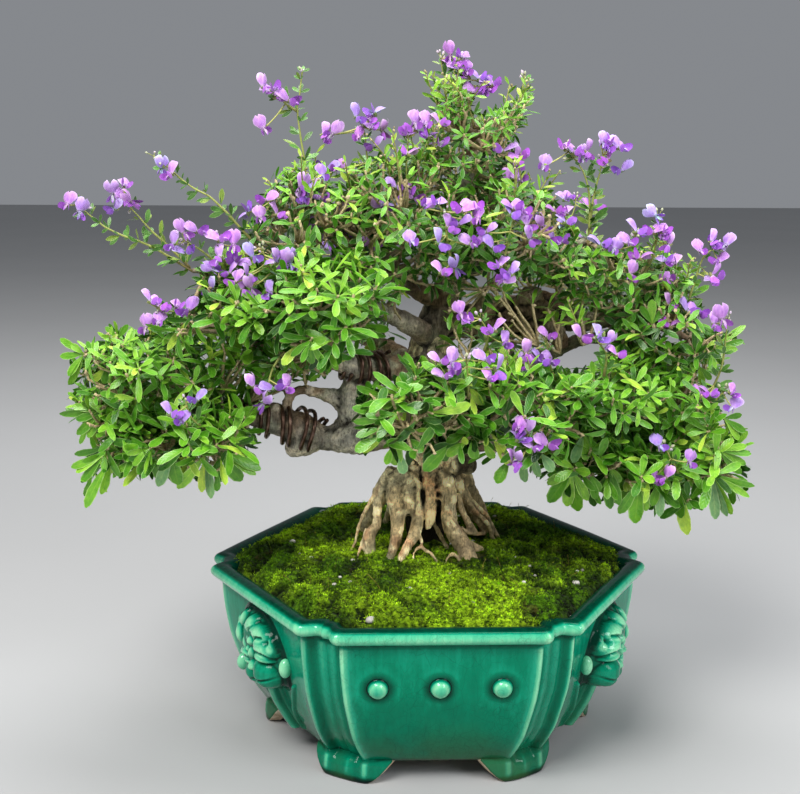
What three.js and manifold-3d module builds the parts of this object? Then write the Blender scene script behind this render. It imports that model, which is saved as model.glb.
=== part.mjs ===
// Flowering desmodium bonsai, growing in a six-sided glazed pot.
// Millimetres, +Z up. The pot's front face looks along -Y, two of its corners point along +X and -X.
// Everything is laid out about the pot's own axis; the last group moves it so that the
// middle of the whole plant's footprint is the origin, with the pot's feet on z = 0.
import * as THREE from 'three';
import { mergeVertices } from 'three/addons/utils/BufferGeometryUtils.js';
import Module from 'manifold-3d';

const wasm = await Module();
wasm.setup();

// ---------------------------------------------------------------- driving dimensions
const GAP = 0.6;                        // clearance between touching pieces

// pot
const OUTER = [[12.5, 93.0], [14.4, 95.6], [25.6, 102.5], [35, 107], [46, 110.6], [64, 115.6], [80, 117.9], [96.4, 119]];
const LIP = [[97.4, 122.2], [99.8, 125.4], [103.2, 126.0], [106.4, 122.0], [106.0, 117.0], [104.6, 114.0]];
const INNER = [[101, 112.6], [88, 111.4], [58, 107.2], [32, 97.4], [21, 88]];
const CORNER_HALF = 11.6;               // half-width of the recessed corner panel
const CORNER_DEPTH = 3.0;               // how far it is set back
const FLOOR_TOP = 21, FLOOR_UNDER = 12.5;
const FOOT_TOP = 14.4, FOOT_SPREAD = 25.4, FOOT_THICK = 9, FOOT_FLARE = 3.8;
const STUD_R = 5.7, STUD_Z = 69.4, STUD_PITCH = 34.7;
const DRAIN_R = 16;

// fill
const SOIL_BOTTOM = 23.4, SOIL_TOP = 98.0, MOSS_BOTTOM = 98.4;
const MOSS_TOP = [[111.9, 103.2], [105, 106.4], [88, 109.4], [60, 111.4], [30, 112], [0, 112]];
const SCREEN_SIDE = 44, SCREEN_THICK = 1.4, SCREEN_HOLE = 10.6, SCREEN_PITCH = 13.4;

// wire
const WIRE_R = 1.3;

// ---------------------------------------------------------------- the tree, as (x, y, z, radius)
const TRUNK = [[-1, 9, 92, 21], [-1, 9, 106, 20], [0, 8, 128.5, 19], [1.7, 7, 147.7, 17.5], [2.7, 6, 164, 16], [1.9, 6, 182.5, 16.5], [-0.2, 8, 204.9, 14.5], [-2.2, 10, 225.9, 13], [0.8, 12, 248.7, 11.5], [9.3, 11, 271.7, 10], [15, 8, 295.8, 8.5], [17.4, 5, 320.7, 7], [21.1, 3, 345.1, 5], [23.7, 2, 366.6, 3.4], [24.6, 2, 380, 2.2]];
const LIMBS = {
  leftLow: [[-0.8, 4, 177.7, 13], [-23.9, 0, 181.4, 12], [-47.3, -5, 190.5, 14], [-64.2, -7, 187.2, 8.5], [-81.5, -9, 194.1, 10.5], [-97.4, -11, 198.5, 8], [-114.4, -14, 204.2, 6.4], [-134.9, -16, 207.3, 5], [-159.4, -14, 209.4, 3.8], [-184.4, -10, 209.8, 2.8]],
  leftStub: [[-77.8, -9, 190, 8], [-82.9, -9, 183.6, 8.5], [-87.3, -9, 178.7, 5]],
  leftArch: [[-48, -5, 200, 7], [-57.8, -7, 212.1, 6], [-70.2, -8, 216.1, 3.6], [-80.6, -9, 218.2, 3.4], [-88, -10, 214.1, 3.2], [-89.4, -10, 205.2, 3.2], [-88.8, -10, 196, 3]],
  leftMid: [[-1, 8, 223.7, 10], [-20.4, 0, 230.4, 8.5], [-36.8, -8, 231.9, 8], [-52.8, -14, 235.5, 7], [-68.5, -20, 240.3, 5], [-81.6, -25, 241.8, 3.6], [-94.6, -28, 245.4, 2.7], [-108.7, -28, 251.4, 2.2], [-121.9, -26, 257.1, 2]],
  leftFront: [[0.6, 8, 248, 8], [-21.3, -18, 264.5, 6], [-43.2, -36, 274.2, 4.5], [-63.1, -44, 276.4, 3.4], [-79.3, -46, 272, 2.4]],
  leftUp: [[8.6, 10, 270.6, 7.5], [-14.5, 2, 282.8, 6], [-38.1, -6, 297.1, 5], [-58.7, -8, 311.7, 4], [-71.8, -8, 327.2, 3], [-76.5, -8, 338, 2]],
  leftLong: [[-34, -5, 294, 4], [-67, -18, 294.6, 3.2], [-96.4, -26, 289.5, 2.6], [-122.2, -28, 289.6, 2.2], [-143.1, -28, 294.3, 2]],
  rightMass: [[6.4, 12, 260.1, 10], [30.7, 14, 257.3, 11], [52.4, 15, 259.8, 12.5], [70.1, 15, 264.9, 13.5], [85.4, 14, 259.9, 9], [102.6, 10, 258, 6], [123.2, 6, 261.1, 4.6], [145.3, 2, 256.6, 3.4], [162, -2, 249, 2.2]],
  rightUp: [[13.1, 8, 292.1, 7], [37.6, 4, 296.3, 5.5], [63, 0, 300.4, 4.4], [87.2, -2, 306.8, 3.2], [100, -2, 313, 2.2]],
  rightMid: [[0.6, 10, 202.5, 9], [26.8, 18, 211.2, 7.5], [54.1, 22, 224.9, 6], [78.4, 22, 236, 5], [103.2, 18, 246.4, 4.2], [129.5, 8, 244.2, 3.4], [154.7, -2, 228, 2.8], [172, -6, 216, 2.2]],
  rightLow: [[3.1, 4, 171.1, 10], [21.1, 4, 171.1, 8.5], [44.4, -4, 177, 6.2], [68.9, -10, 178.4, 5], [94.6, -15, 177.1, 4.2], [122.1, -16, 177.2, 3.4], [149.1, -14, 177.9, 2.6], [168, -12, 176.4, 2.2]],
  frontCentre: [[0.1, 0, 191.8, 8], [-5.5, -28, 204.7, 6], [-11.8, -54, 214.2, 4.4], [-16.5, -74, 220, 2.8]],
  frontRight: [[2.6, 2, 203, 7.5], [17.7, -26, 212.9, 5.6], [34.6, -48, 218.8, 4.2], [46, -60, 220.4, 2.8]],
  backLeft: [[-1.7, 18, 221.8, 8], [-19.9, 50, 231.8, 6], [-46.3, 78, 238.1, 4.4], [-70, 93, 239.5, 2.8]],
  backRight: [[4.5, 20, 247.4, 8], [34.7, 54, 255.4, 6], [72, 82, 259.8, 4.4], [100, 95, 258, 2.8]],
  backLow: [[5, 18, 196.8, 7.5], [24.9, 52, 196, 5.6], [54.2, 82, 190.9, 4.2], [80, 96, 184, 2.8]],
  backTop: [[16.1, 14, 295.2, 6], [11.8, 42, 306.7, 4.6], [5.5, 64, 313.4, 3.4]],
};
const ROOTS = [
  [[-24.8, 6, 152.1, 4.4], [-36.3, 8, 144.2, 4], [-42.8, 10, 128.2, 4], [-48, 14, 111.2, 3.4], [-51, 17, 96, 3]],
  [[-15, 2, 160, 7], [-25.7, 0, 155.2, 7], [-32, -2, 139.9, 6.4], [-31.4, -4, 127.2, 6], [-37.2, -6, 115.9, 6.6], [-40.5, -8, 95, 6]],
  [[-10, -1, 162, 10], [-17.7, -8, 152.2, 11], [-19.6, -12, 138.3, 9], [-20.3, -16, 124.4, 7], [-23.6, -22, 113.3, 6.5], [-24.5, -24, 95, 6]],
  [[-3.6, -2, 160, 9], [-5.7, -10, 146.1, 7], [-8.3, -14, 134.2, 5.4], [-13.5, -19, 123.4, 5], [-20, -27, 109.8, 4.4], [-25, -31, 99.5, 3.6]],
  [[6.6, -2, 160, 9], [3.9, -9, 145.1, 9], [0.7, -11, 134.6, 7], [-3.9, -14, 128.9, 5], [-5.4, -20, 119.1, 3.4], [-4.3, -25, 104, 2.8]],
  [[1.7, -6, 133, 4], [5.3, -10, 123.6, 3.2], [13, -17, 106, 2.8]],
  [[9, -1, 164, 10], [10.8, -8, 153.3, 10], [10.7, -12, 140.1, 9], [16.2, -16, 129.5, 9], [25, -19, 119.8, 9.5], [32, -21, 96, 8]],
  [[13, 4, 160, 7], [22.2, 4, 144.5, 5.6], [26.9, 4, 135, 4.6], [36.4, 6, 123.5, 4], [44.5, 10, 100, 3]],
  [[15, 10, 160, 6], [29.6, 14, 142.1, 4.2], [38.8, 18, 129.3, 3.4], [46.9, 22, 114.1, 2.8], [51, 24, 100, 2.6]],
  [[-7, 20, 152, 9], [-17, 38, 133.2, 6], [-23.2, 52, 117.6, 4.5], [-27, 62, 101, 3.4]],
  [[9, 22, 152, 9], [20.8, 40, 132.4, 6], [30.3, 52, 118.8, 4.5], [37, 60, 102, 3.4]],
];

// leafy pads: centre x, y, z, half-sizes x, y, z, number of leaf fans
const PADS = {
  foliage_left_upper: [-172, -12, 233, 50, 46, 19, 7],
  foliage_left_tip: [-195, -14, 193, 34, 38, 21, 7],
  foliage_left_lower: [-140, -26, 189, 46, 44, 20, 7],
  foliage_midleft_outer: [-128, -30, 271, 42, 42, 20, 7],
  foliage_midleft_inner: [-64, -54, 269, 44, 36, 28, 7],
  foliage_upper_left: [-73, -14, 316, 48, 44, 24, 7],
  foliage_upper_centre: [-19, -18, 322, 42, 46, 32, 7],
  foliage_apex: [25, 0, 367, 34, 34, 34, 7],
  foliage_upper_right: [47, -14, 316, 44, 46, 30, 7],
  foliage_right_shoulder: [107, -4, 291, 46, 44, 22, 7],
  foliage_right_upper: [150, -2, 262, 40, 44, 26, 7],
  foliage_right_tip: [169, -8, 210, 38, 44, 24, 7],
  foliage_right_outer_low: [160, -14, 163, 40, 42, 21, 7],
  foliage_right_mid: [104, -18, 219, 44, 44, 20, 7],
  foliage_right_lower: [104, -22, 172, 42, 42, 22, 7],
  foliage_front_centre: [-15, -78, 219, 34, 26, 20, 7],
  foliage_front_right: [42, -62, 213, 46, 32, 22, 7],
  foliage_back_left: [-74, 84, 246, 58, 40, 32, 7],
  foliage_back_right: [98, 86, 258, 58, 40, 32, 7],
  foliage_back_low: [84, 90, 187, 46, 34, 24, 7],
  foliage_back_top: [3, 68, 320, 50, 38, 34, 7],
};
const PAD_CORE = 0.84, PAD_GAP = 0.5, LEAF_LONG = 15, LEAF_WIDE = 5.4, LEAF_THICK = 1.7;

// flowering shoots: stems as lists of points, blossoms as points
const SPRAYS = {
  spray_long_left: { stems: [[[-142.0, -28.0, 293.1], [-167.0, -29.5, 308.4], [-186.1, -31.0, 316.0], [-197.0, -32.5, 323.0], [-207.7, -34.0, 332.8]], [[-144.3, -28.0, 295.5], [-156.4, -30.0, 308.5], [-167.9, -32.0, 319.6], [-179.1, -34.0, 334.0]]],
    blooms: [[-186.0, -38.0, 341.6], [-179.1, -38.0, 345.5], [-176.0, -38.0, 337.7], [-184.7, -38.0, 332.5], [-211.2, -38.0, 335.2]] },
  shoot_left_top: { stems: [[[-102.5, -20.0, 304.3], [-128.4, -20.7, 333.0], [-143.8, -21.3, 342.8], [-164.6, -22.0, 359.9]]],
    blooms: [[-153.3, -26.0, 352.1]] },
  spray_left_mid: { stems: [[[-116.6, -40.0, 280.5], [-124.0, -43.0, 297.1], [-125.6, -46.0, 313.4]], [[-124.3, -40.0, 296.8], [-134.7, -43.0, 306.3], [-143.8, -46.0, 313.3]]],
    blooms: [[-150.0, -50.0, 313.7], [-124.5, -50.0, 316.6], [-128.4, -50.0, 299.0], [-118.7, -50.0, 297.3], [-128.6, -50.0, 288.1]] },
  spray_left_inner: { stems: [[[-89.2, -52.0, 284.4], [-95.6, -55.0, 298.4], [-99.8, -58.0, 307.7]]],
    blooms: [[-105.1, -62.0, 308.1], [-108.7, -62.0, 296.9], [-91.7, -62.0, 304.8], [-83.9, -62.0, 304.8], [-94.2, -62.0, 287.9]] },
  spray_left_edge: { stems: [[[-138.2, -46.0, 268.4], [-149.3, -48.0, 272.2], [-157.0, -50.0, 273.6]]],
    blooms: [[-159.1, -54.0, 278.2], [-159.9, -54.0, 269.6], [-149.4, -54.0, 278.2]] },
  spray_upper_left: { stems: [[[-76.1, -24.0, 316.5], [-86.5, -27.0, 327.1], [-95.5, -30.0, 335.4]], [[-76.1, -24.0, 316.5], [-73.6, -27.0, 332.4], [-74.5, -30.0, 344.6]]],
    blooms: [[-98.7, -34.0, 337.8], [-93.0, -34.0, 329.8], [-79.0, -34.0, 345.9], [-67.5, -34.0, 338.0], [-66.3, -34.0, 351.7]] },
  spray_tall_left: { stems: [[[-75.3, -10.0, 334.4], [-78.0, -10.7, 363.8], [-80.6, -11.3, 386.8], [-78.1, -12.0, 409.6]], [[-80.7, -10.0, 385.7], [-87.7, -11.0, 390.2], [-94.5, -12.0, 397.0]]],
    blooms: [[-95.4, -16.0, 400.2], [-86.2, -16.0, 394.7], [-100.4, -16.0, 378.6]] },
  spray_upper_back: { stems: [[[-36.8, 0.0, 328.1], [-39.3, -4.0, 355.1], [-41.8, -8.0, 378.5]], [[-36.8, 0.0, 328.1], [-50.2, -4.0, 319.3], [-58.6, -8.0, 326.1]]],
    blooms: [[-46.6, -12.0, 385.9], [-31.2, -12.0, 378.0], [-54.4, -12.0, 330.5], [-52.0, -12.0, 316.2], [-60.1, -12.0, 376.0]] },
  spray_upper_centre: { stems: [[[-12.7, -30.0, 323.0], [-17.6, -30.0, 347.2], [-16.6, -30.0, 371.2]], [[-12.7, -30.0, 323.0], [-2.5, -30.0, 353.0], [-1.6, -30.0, 379.2]]],
    blooms: [[-17.4, -34.0, 375.1], [-23.5, -34.0, 345.6], [-22.9, -34.0, 334.7], [-4.7, -34.0, 374.1], [-38.5, -34.0, 311.5]] },
  spray_apex: { stems: [[[24.5, 0.0, 377.3], [20.6, 0.0, 394.8], [14.2, 0.0, 416.7]], [[25.8, 0.0, 370.2], [10.0, 0.0, 380.7], [6.6, 0.0, 402.2], [4.6, 0.0, 417.8]], [[24.5, 0.0, 377.3], [40.1, 0.0, 382.1], [50.7, 0.0, 393.9], [53.9, 0.0, 407.8]]],
    blooms: [[15.6, -4.0, 420.5], [9.7, -4.0, 415.3], [26.5, -4.0, 408.0], [24.3, -4.0, 400.5], [34.3, -4.0, 404.6]] },
  spray_centre_left: { stems: [[[9.8, -62.0, 294.9], [4.6, -66.0, 312.7], [3.0, -70.0, 331.2]]],
    blooms: [[-1.8, -74.0, 338.0], [-1.6, -74.0, 317.2], [11.4, -74.0, 334.8], [20.4, -74.0, 329.9], [16.2, -74.0, 316.2]] },
  spray_centre_right: { stems: [[[37.1, -62.0, 291.5], [37.4, -65.0, 311.0], [41.1, -68.0, 329.1]]],
    blooms: [[25.7, -72.0, 322.7], [38.3, -72.0, 332.6], [47.9, -72.0, 326.6], [49.2, -72.0, 319.4], [40.2, -72.0, 299.4]] },
  spray_top_near: { stems: [[[40.5, -18.0, 325.9], [42.2, -20.0, 344.3], [45.1, -22.0, 360.0]]],
    blooms: [[39.7, -26.0, 366.4], [49.8, -26.0, 362.4], [47.8, -26.0, 350.3]] },
  spray_top_right: { stems: [[[94.8, -8.0, 304.9], [94.8, -9.3, 330.4], [90.2, -10.7, 350.1], [79.8, -12.0, 363.6]], [[95.6, -8.0, 317.1], [96.8, -10.0, 338.8], [101.0, -12.0, 361.3]]],
    blooms: [[64.4, -16.0, 357.7], [82.1, -16.0, 365.4], [99.2, -16.0, 371.3], [109.4, -16.0, 369.0], [111.8, -16.0, 355.6]] },
  spray_shoulder: { stems: [[[73.5, -34.0, 300.2], [70.4, -36.0, 313.2], [67.8, -38.0, 327.3]]],
    blooms: [[65.2, -42.0, 317.2], [60.9, -42.0, 324.6], [68.2, -42.0, 331.6], [74.2, -42.0, 326.4], [72.9, -42.0, 314.3]] },
  spray_right_pair: { stems: [[[118.7, -38.0, 280.6], [115.9, -41.0, 301.0], [115.6, -44.0, 317.5]], [[118.3, -38.0, 287.7], [127.5, -41.0, 305.1], [128.0, -44.0, 326.8]]],
    blooms: [[114.5, -48.0, 321.8], [102.2, -48.0, 311.4], [112.1, -48.0, 297.6], [129.7, -48.0, 321.3], [131.7, -48.0, 304.0]] },
  spray_right_tall: { stems: [[[148.2, -30.0, 259.1], [153.8, -31.3, 283.4], [158.9, -32.7, 302.6], [165.9, -34.0, 309.9]], [[150.2, -30.0, 266.4], [144.2, -32.0, 278.7], [141.8, -34.0, 290.9]]],
    blooms: [[155.3, -38.0, 309.6], [171.1, -38.0, 313.1], [162.6, -38.0, 296.1], [137.9, -38.0, 278.3], [139.8, -38.0, 265.1]] },
  spray_right_inner: { stems: [[[97.8, -56.0, 235.9], [97.8, -59.0, 249.5], [89.9, -62.0, 259.3]]],
    blooms: [[80.9, -66.0, 263.5], [90.7, -66.0, 263.5], [102.1, -66.0, 252.5]] },
  spray_right_tip: { stems: [[[167.2, -30.0, 203.4], [171.8, -33.0, 215.3], [176.6, -36.0, 223.4]], [[165.4, -30.0, 213.5], [174.2, -33.0, 237.6], [174.6, -36.0, 266.0]]],
    blooms: [[165.1, -40.0, 223.6], [178.3, -40.0, 224.8], [180.1, -40.0, 215.6], [170.1, -40.0, 270.2]] },
  spray_right_low: { stems: [[[148.9, -50.0, 169.8], [142.4, -54.0, 182.1], [136.0, -58.0, 193.0]]],
    blooms: [[130.6, -62.0, 197.6], [135.8, -62.0, 178.8], [149.0, -62.0, 187.9]] },
  spray_front_right: { stems: [[[53.6, -86.0, 192.2], [50.5, -90.0, 202.6], [47.4, -94.0, 211.6]]],
    blooms: [[42.5, -98.0, 210.9], [47.9, -98.0, 216.5], [58.7, -98.0, 208.0], [43.9, -98.0, 200.0]] },
  spray_front_upper: { stems: [[[25.7, -70.0, 252.6], [27.4, -73.0, 263.4], [22.4, -76.0, 272.9]]],
    blooms: [[16.9, -80.0, 274.0], [30.5, -80.0, 269.0], [35.1, -80.0, 262.2]] },
  spray_front_centre: { stems: [[[15.3, -88.0, 229.7], [14.7, -92.0, 241.8], [13.1, -96.0, 252.6]]],
    blooms: [[4.5, -100.0, 255.0], [0.8, -100.0, 246.2], [23.5, -100.0, 256.1], [24.9, -100.0, 245.6]] },
  spray_front_gap: { stems: [[[74.3, -44.0, 226.4], [68.0, -47.0, 239.0], [64.1, -50.0, 256.2]]],
    blooms: [[51.3, -54.0, 252.2], [52.7, -54.0, 243.3], [65.5, -54.0, 246.3], [63.9, -54.0, 261.0]] },
  spray_left_front: { stems: [[[-87.5, -70.0, 252.6], [-94.2, -73.0, 242.9], [-96.4, -76.0, 233.1]]],
    blooms: [[-104.4, -80.0, 237.9], [-87.2, -80.0, 237.3], [-97.9, -80.0, 228.2]] },
  spray_left_low: { stems: [[[-133.1, -64.0, 206.1], [-140.5, -67.0, 213.9], [-143.3, -70.0, 223.9]]],
    blooms: [[-151.8, -74.0, 220.1], [-136.5, -74.0, 228.2], [-144.7, -74.0, 215.5]] },
  spray_back_left: { stems: [[[-70, 96, 270], [-78, 104, 296], [-84, 110, 316]]],
    blooms: [[-92, 112, 318], [-76, 116, 312], [-86, 104, 300], [-66, 106, 298]] },
  spray_back_right: { stems: [[[96, 98, 284], [102, 106, 308], [108, 110, 330]]],
    blooms: [[100, 112, 332], [116, 112, 326], [96, 108, 314], [112, 102, 306]] },
};

// ---------------------------------------------------------------- helpers
const V = (a) => new THREE.Vector3(a[0], a[1], a[2]);
const lerp = THREE.MathUtils.lerp;

function toSolid(geometry) {
  let g = geometry.clone();
  for (const name of Object.keys(g.attributes)) if (name !== 'position') g.deleteAttribute(name);
  g = mergeVertices(g, 1e-4);
  const src = g.index.array, tri = [];
  for (let i = 0; i < src.length; i += 3) {
    const [a, b, c] = [src[i], src[i + 1], src[i + 2]];
    if (a !== b && b !== c && a !== c) tri.push(a, b, c);
  }
  const make = (t) => new wasm.Manifold(new wasm.Mesh({ numProp: 3, vertProperties: new Float32Array(g.attributes.position.array), triVerts: new Uint32Array(t) }));
  let solid = make(tri);
  if (solid.volume() < 0) {
    const flip = [];
    for (let i = 0; i < tri.length; i += 3) flip.push(tri[i], tri[i + 2], tri[i + 1]);
    solid = make(flip);
  }
  return solid;
}
function toGeometry(solid) {
  const mesh = solid.getMesh();
  const pos = new Float32Array(mesh.numVert * 3);
  for (let i = 0; i < mesh.numVert; i++) for (let k = 0; k < 3; k++) pos[3 * i + k] = mesh.vertProperties[mesh.numProp * i + k];
  const g = new THREE.BufferGeometry();
  g.setAttribute('position', new THREE.BufferAttribute(pos, 3));
  g.setIndex(new THREE.BufferAttribute(new Uint32Array(mesh.triVerts), 1));
  g.computeVertexNormals();
  return g;
}
const join = (list) => list.reduce((a, b) => a.add(b));
function largest(solid) {
  let best = null, bestV = -1;
  for (const part of solid.decompose()) { const v = part.volume(); if (v > bestV) { best = part; bestV = v; } }
  return best;
}
function boxesMeet(a, b, pad = 0.5) {
  const p = a.boundingBox(), q = b.boundingBox();
  for (let k = 0; k < 3; k++) if (p.min[k] > q.max[k] + pad || q.min[k] > p.max[k] + pad) return false;
  return true;
}
const cutBy = (solid, tools) => tools.reduce((s, t) => (boxesMeet(s, t) ? s.subtract(t) : s), solid);

// regular outline of a round section
function ringShape(sides, r) {
  const pts = [];
  for (let i = 0; i < sides; i++) pts.push(new THREE.Vector2(r * Math.cos((2 * Math.PI * i) / sides), r * Math.sin((2 * Math.PI * i) / sides)));
  return new THREE.Shape(pts);
}
// a round stem along a curve, its radius following the points' fourth number
function stem(points, sides, steps, grow = 0) {
  const curve = new THREE.CatmullRomCurve3(points.map(V), false, 'centripetal');
  const g = new THREE.ExtrudeGeometry(ringShape(sides, 0.4), { steps, bevelEnabled: false, extrudePath: curve });
  const centres = curve.getSpacedPoints(steps);
  const radii = centres.map((_, i) => {
    const t = curve.getUtoTmapping(i / steps) * (points.length - 1);
    const k = Math.min(points.length - 2, Math.floor(t));
    return lerp(points[k][3], points[k + 1][3], t - k) + grow;
  });
  const p = g.attributes.position, v = new THREE.Vector3(), ends = [curve.getTangentAt(0), curve.getTangentAt(1)];
  for (let i = 0; i < p.count; i++) {
    v.fromBufferAttribute(p, i);
    let best = 0, d = Infinity;
    centres.forEach((c, k) => { const e = c.distanceToSquared(v); if (e < d) { d = e; best = k; } });
    v.sub(centres[best]).multiplyScalar(radii[best] / 0.4).add(centres[best]);
    if (best === 0) v.addScaledVector(ends[0], -grow);
    if (best === steps) v.addScaledVector(ends[1], grow);
    p.setXYZ(i, v.x, v.y, v.z);
  }
  return toSolid(g);
}
// wire wound round a limb
function coil(points, from, to, turns, phase, grow = 0) {
  const curve = new THREE.CatmullRomCurve3(points.map(V), false, 'centripetal');
  const N = 120, frames = curve.computeFrenetFrames(N, false), path = [];
  const steps = Math.round(turns * 8);
  for (let i = 0; i <= steps; i++) {
    const u = lerp(from, to, i / steps), k = Math.round(u * N);
    const t = curve.getUtoTmapping(u) * (points.length - 1), j = Math.min(points.length - 2, Math.floor(t));
    const r = lerp(points[j][3], points[j + 1][3], t - j) + WIRE_R + 1.7;
    const a = phase + 2 * Math.PI * turns * (i / steps);
    path.push(curve.getPointAt(u).addScaledVector(frames.normals[k], r * Math.cos(a)).addScaledVector(frames.binormals[k], r * Math.sin(a)));
  }
  const g = new THREE.ExtrudeGeometry(ringShape(4, 1.1 * (WIRE_R + grow)), { steps: steps * 1, bevelEnabled: false, extrudePath: new THREE.CatmullRomCurve3(path, false, 'centripetal') });
  return toSolid(g);
}

// the six-sided plan with recessed corner panels, at a given apothem
function plan(a) {
  const s = Math.min(1, a / 88), e = CORNER_HALF * s, h = CORNER_DEPTH * s, tan30 = Math.tan(Math.PI / 6);
  const line = (u) => (2 * a) / Math.sqrt(3) - Math.abs(u) * tan30;
  const local = [[-e, line(e)], [0.9 * s - e, line(e) - h + 0.7 * s], [3.4 * s - e, line(e) - h], [e - 3.4 * s, line(e) - h], [e - 0.9 * s, line(e) - h + 0.7 * s], [e, line(e)]];
  const out = [];
  for (let c = 0; c < 6; c++) {
    const th = (c * Math.PI) / 3, cs = Math.cos(th), sn = Math.sin(th);
    for (const [u, v] of local) out.push([v * cs - u * sn, v * sn + u * cs]);
  }
  return out;
}
const PLAN_N = 36;
// profile of [z, apothem] pairs, starting and ending on the axis, swept round the plan
function hexBody(profile, lift = null) {
  const g = new THREE.LatheGeometry(profile.map(([z, a]) => new THREE.Vector2(a, z)), PLAN_N);
  const p = g.attributes.position, uv = g.attributes.uv, cache = profile.map(([, a]) => plan(a));
  for (let i = 0; i < p.count; i++) {
    const k = Math.round(uv.getX(i) * PLAN_N) % PLAN_N, j = Math.round(uv.getY(i) * (profile.length - 1));
    const [x, y] = profile[j][1] === 0 ? [0, 0] : cache[j][k];
    const z = profile[j][0] + (lift ? lift(x, y, j) : 0);
    p.setXYZ(i, x, y, z);
  }
  return toSolid(g);
}
function ellipsoid(c, r, ws = 8, hs = 6) {
  const g = new THREE.SphereGeometry(1, ws, hs);
  g.rotateX(Math.PI / 2).scale(r[0], r[1], r[2]).translate(c[0], c[1], c[2]);
  return g;
}

// ---------------------------------------------------------------- pot
const outerAt = (z) => { for (let i = 1; i < OUTER.length; i++) if (z <= OUTER[i][0]) return lerp(OUTER[i - 1][1], OUTER[i][1], (z - OUTER[i - 1][0]) / (OUTER[i][0] - OUTER[i - 1][0])); return OUTER[OUTER.length - 1][1]; };
function footSolid(corner) {
  const a = 95.6, tan30 = Math.tan(Math.PI / 6), e = CORNER_HALF, line = (u) => (2 * a) / Math.sqrt(3) - Math.abs(u) * tan30;
  const outer = [FOOT_SPREAD, 18, e].map((u) => [u, line(u)]).concat([[e - 2.6, line(e) - CORNER_DEPTH]]);
  const t = FOOT_THICK / Math.cos(Math.PI / 6);
  const inner = [FOOT_SPREAD, 6].map((u) => [u, line(u) - t]);
  const pts = [...outer.map(([u, v]) => [-u, v]), ...outer.slice().reverse(), ...inner, ...inner.slice().reverse().map(([u, v]) => [-u, v])];
  const g = new THREE.ExtrudeGeometry(new THREE.Shape(pts.map(([u, v]) => new THREE.Vector2(u, v))), { depth: FOOT_TOP, steps: 4, bevelEnabled: false });
  const p = g.attributes.position, w = [0.12, 0.4, 0.74, 0.93, 1], f = [1, 0.5, 0.18, 0.04, 0];
  const th = (corner * Math.PI) / 3, cs = Math.cos(th), sn = Math.sin(th);
  for (let i = 0; i < p.count; i++) {
    let u = p.getX(i), v = p.getY(i); const z = p.getZ(i), k = Math.round((z / FOOT_TOP) * 4);
    const off = v - line(u), s = Math.sign(u), au = Math.abs(u);
    const nu = au > e ? e + (au - e) * w[k] : au;
    u = s * nu; v = line(u) + off + (off > -6 ? FOOT_FLARE * f[k] : FOOT_FLARE * 0.3 * f[k]);
    p.setXYZ(i, v * cs - u * sn, v * sn + u * cs, z);
  }
  return toSolid(g);
}
function faceGeometry(face, g) { // from face-local (x along the face, y out of it) to the pot
  return toSolid(g.rotateZ(((face * 60 - 90) * Math.PI) / 180 - Math.PI / 2));
}
const STUD_FACES = [0, 2, 4], MASK_FACES = [1, 3, 5];
const knob = (x) => new THREE.OctahedronGeometry(7, 0).rotateZ(Math.PI / 4).translate(x, 115.5, 56);
const mask = () => [ellipsoid([0, 118.6, 76], [23, 7, 18], 8, 5), ellipsoid([0, 117.5, 56.5], [14, 10.4, 12], 7, 5), knob(-20.5), knob(20.5), ellipsoid([0, 109.5, 38], [8.5, 7, 17], 5, 5)];
let potSolid = hexBody([[FLOOR_UNDER, 0], ...OUTER, ...LIP, ...INNER, [FLOOR_TOP, 0]]);
for (let c = 0; c < 6; c++) potSolid = potSolid.add(footSolid(c));for (const face of STUD_FACES) for (const k of [-1, 0, 1]) potSolid = potSolid.add(faceGeometry(face, ellipsoid([k * STUD_PITCH, outerAt(STUD_Z) - 0.4, STUD_Z], [STUD_R, STUD_R * 0.95, STUD_R], 7, 4)));
for (const face of MASK_FACES) for (const g of mask()) potSolid = potSolid.add(faceGeometry(face, g));
const drain = new THREE.CylinderGeometry(DRAIN_R, DRAIN_R, 20, 16).rotateX(Math.PI / 2).translate(0, 0, 17);
potSolid = potSolid.subtract(toSolid(drain));
potSolid = largest(potSolid).simplify(0.16);

// ---------------------------------------------------------------- tree
const sidesFor = (r) => (r > 7.6 ? 7 : r > 5.4 ? 6 : 5);
function treeSolid(grow = 0) {
  const parts = [stem(TRUNK, 10, 13, grow)];
  for (const l of Object.values(LIMBS)) parts.push(stem(l, sidesFor(l[1][3]), Math.max(3, Math.round(l.length * 0.72)), grow));
  for (const r of ROOTS) parts.push(stem(r, sidesFor(r[1][3]), Math.max(3, r.length - 1), grow));
  return join(parts).simplify(0.1);
}
let tree = treeSolid();
const treeFat = treeSolid(GAP);

// ---------------------------------------------------------------- wires
const WIRES = {
  wire_lower_left_a: [LIMBS.leftLow, 0.36, 0.66, 4, 0.4],
  wire_lower_left_b: [LIMBS.leftLow, 0.384, 0.684, 4, 0.4],
  wire_mid_left_a: [LIMBS.leftMid, 0.2, 0.42, 2.6, 0.4],
  wire_mid_left_b: [LIMBS.leftMid, 0.236, 0.456, 2.6, 0.4],
  wire_neck: [TRUNK, 0.315, 0.345, 1.1, 2.2],
};
const wires = {}, wireFat = [];
for (const [name, [l, a, b, n, ph]] of Object.entries(WIRES)) {
  wires[name] = coil(l, a, b, n, ph);
  const fat = coil(l, a, b, n, ph, GAP);
  wireFat.push(fat);
  tree = largest(tree.subtract(fat));
}

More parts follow.
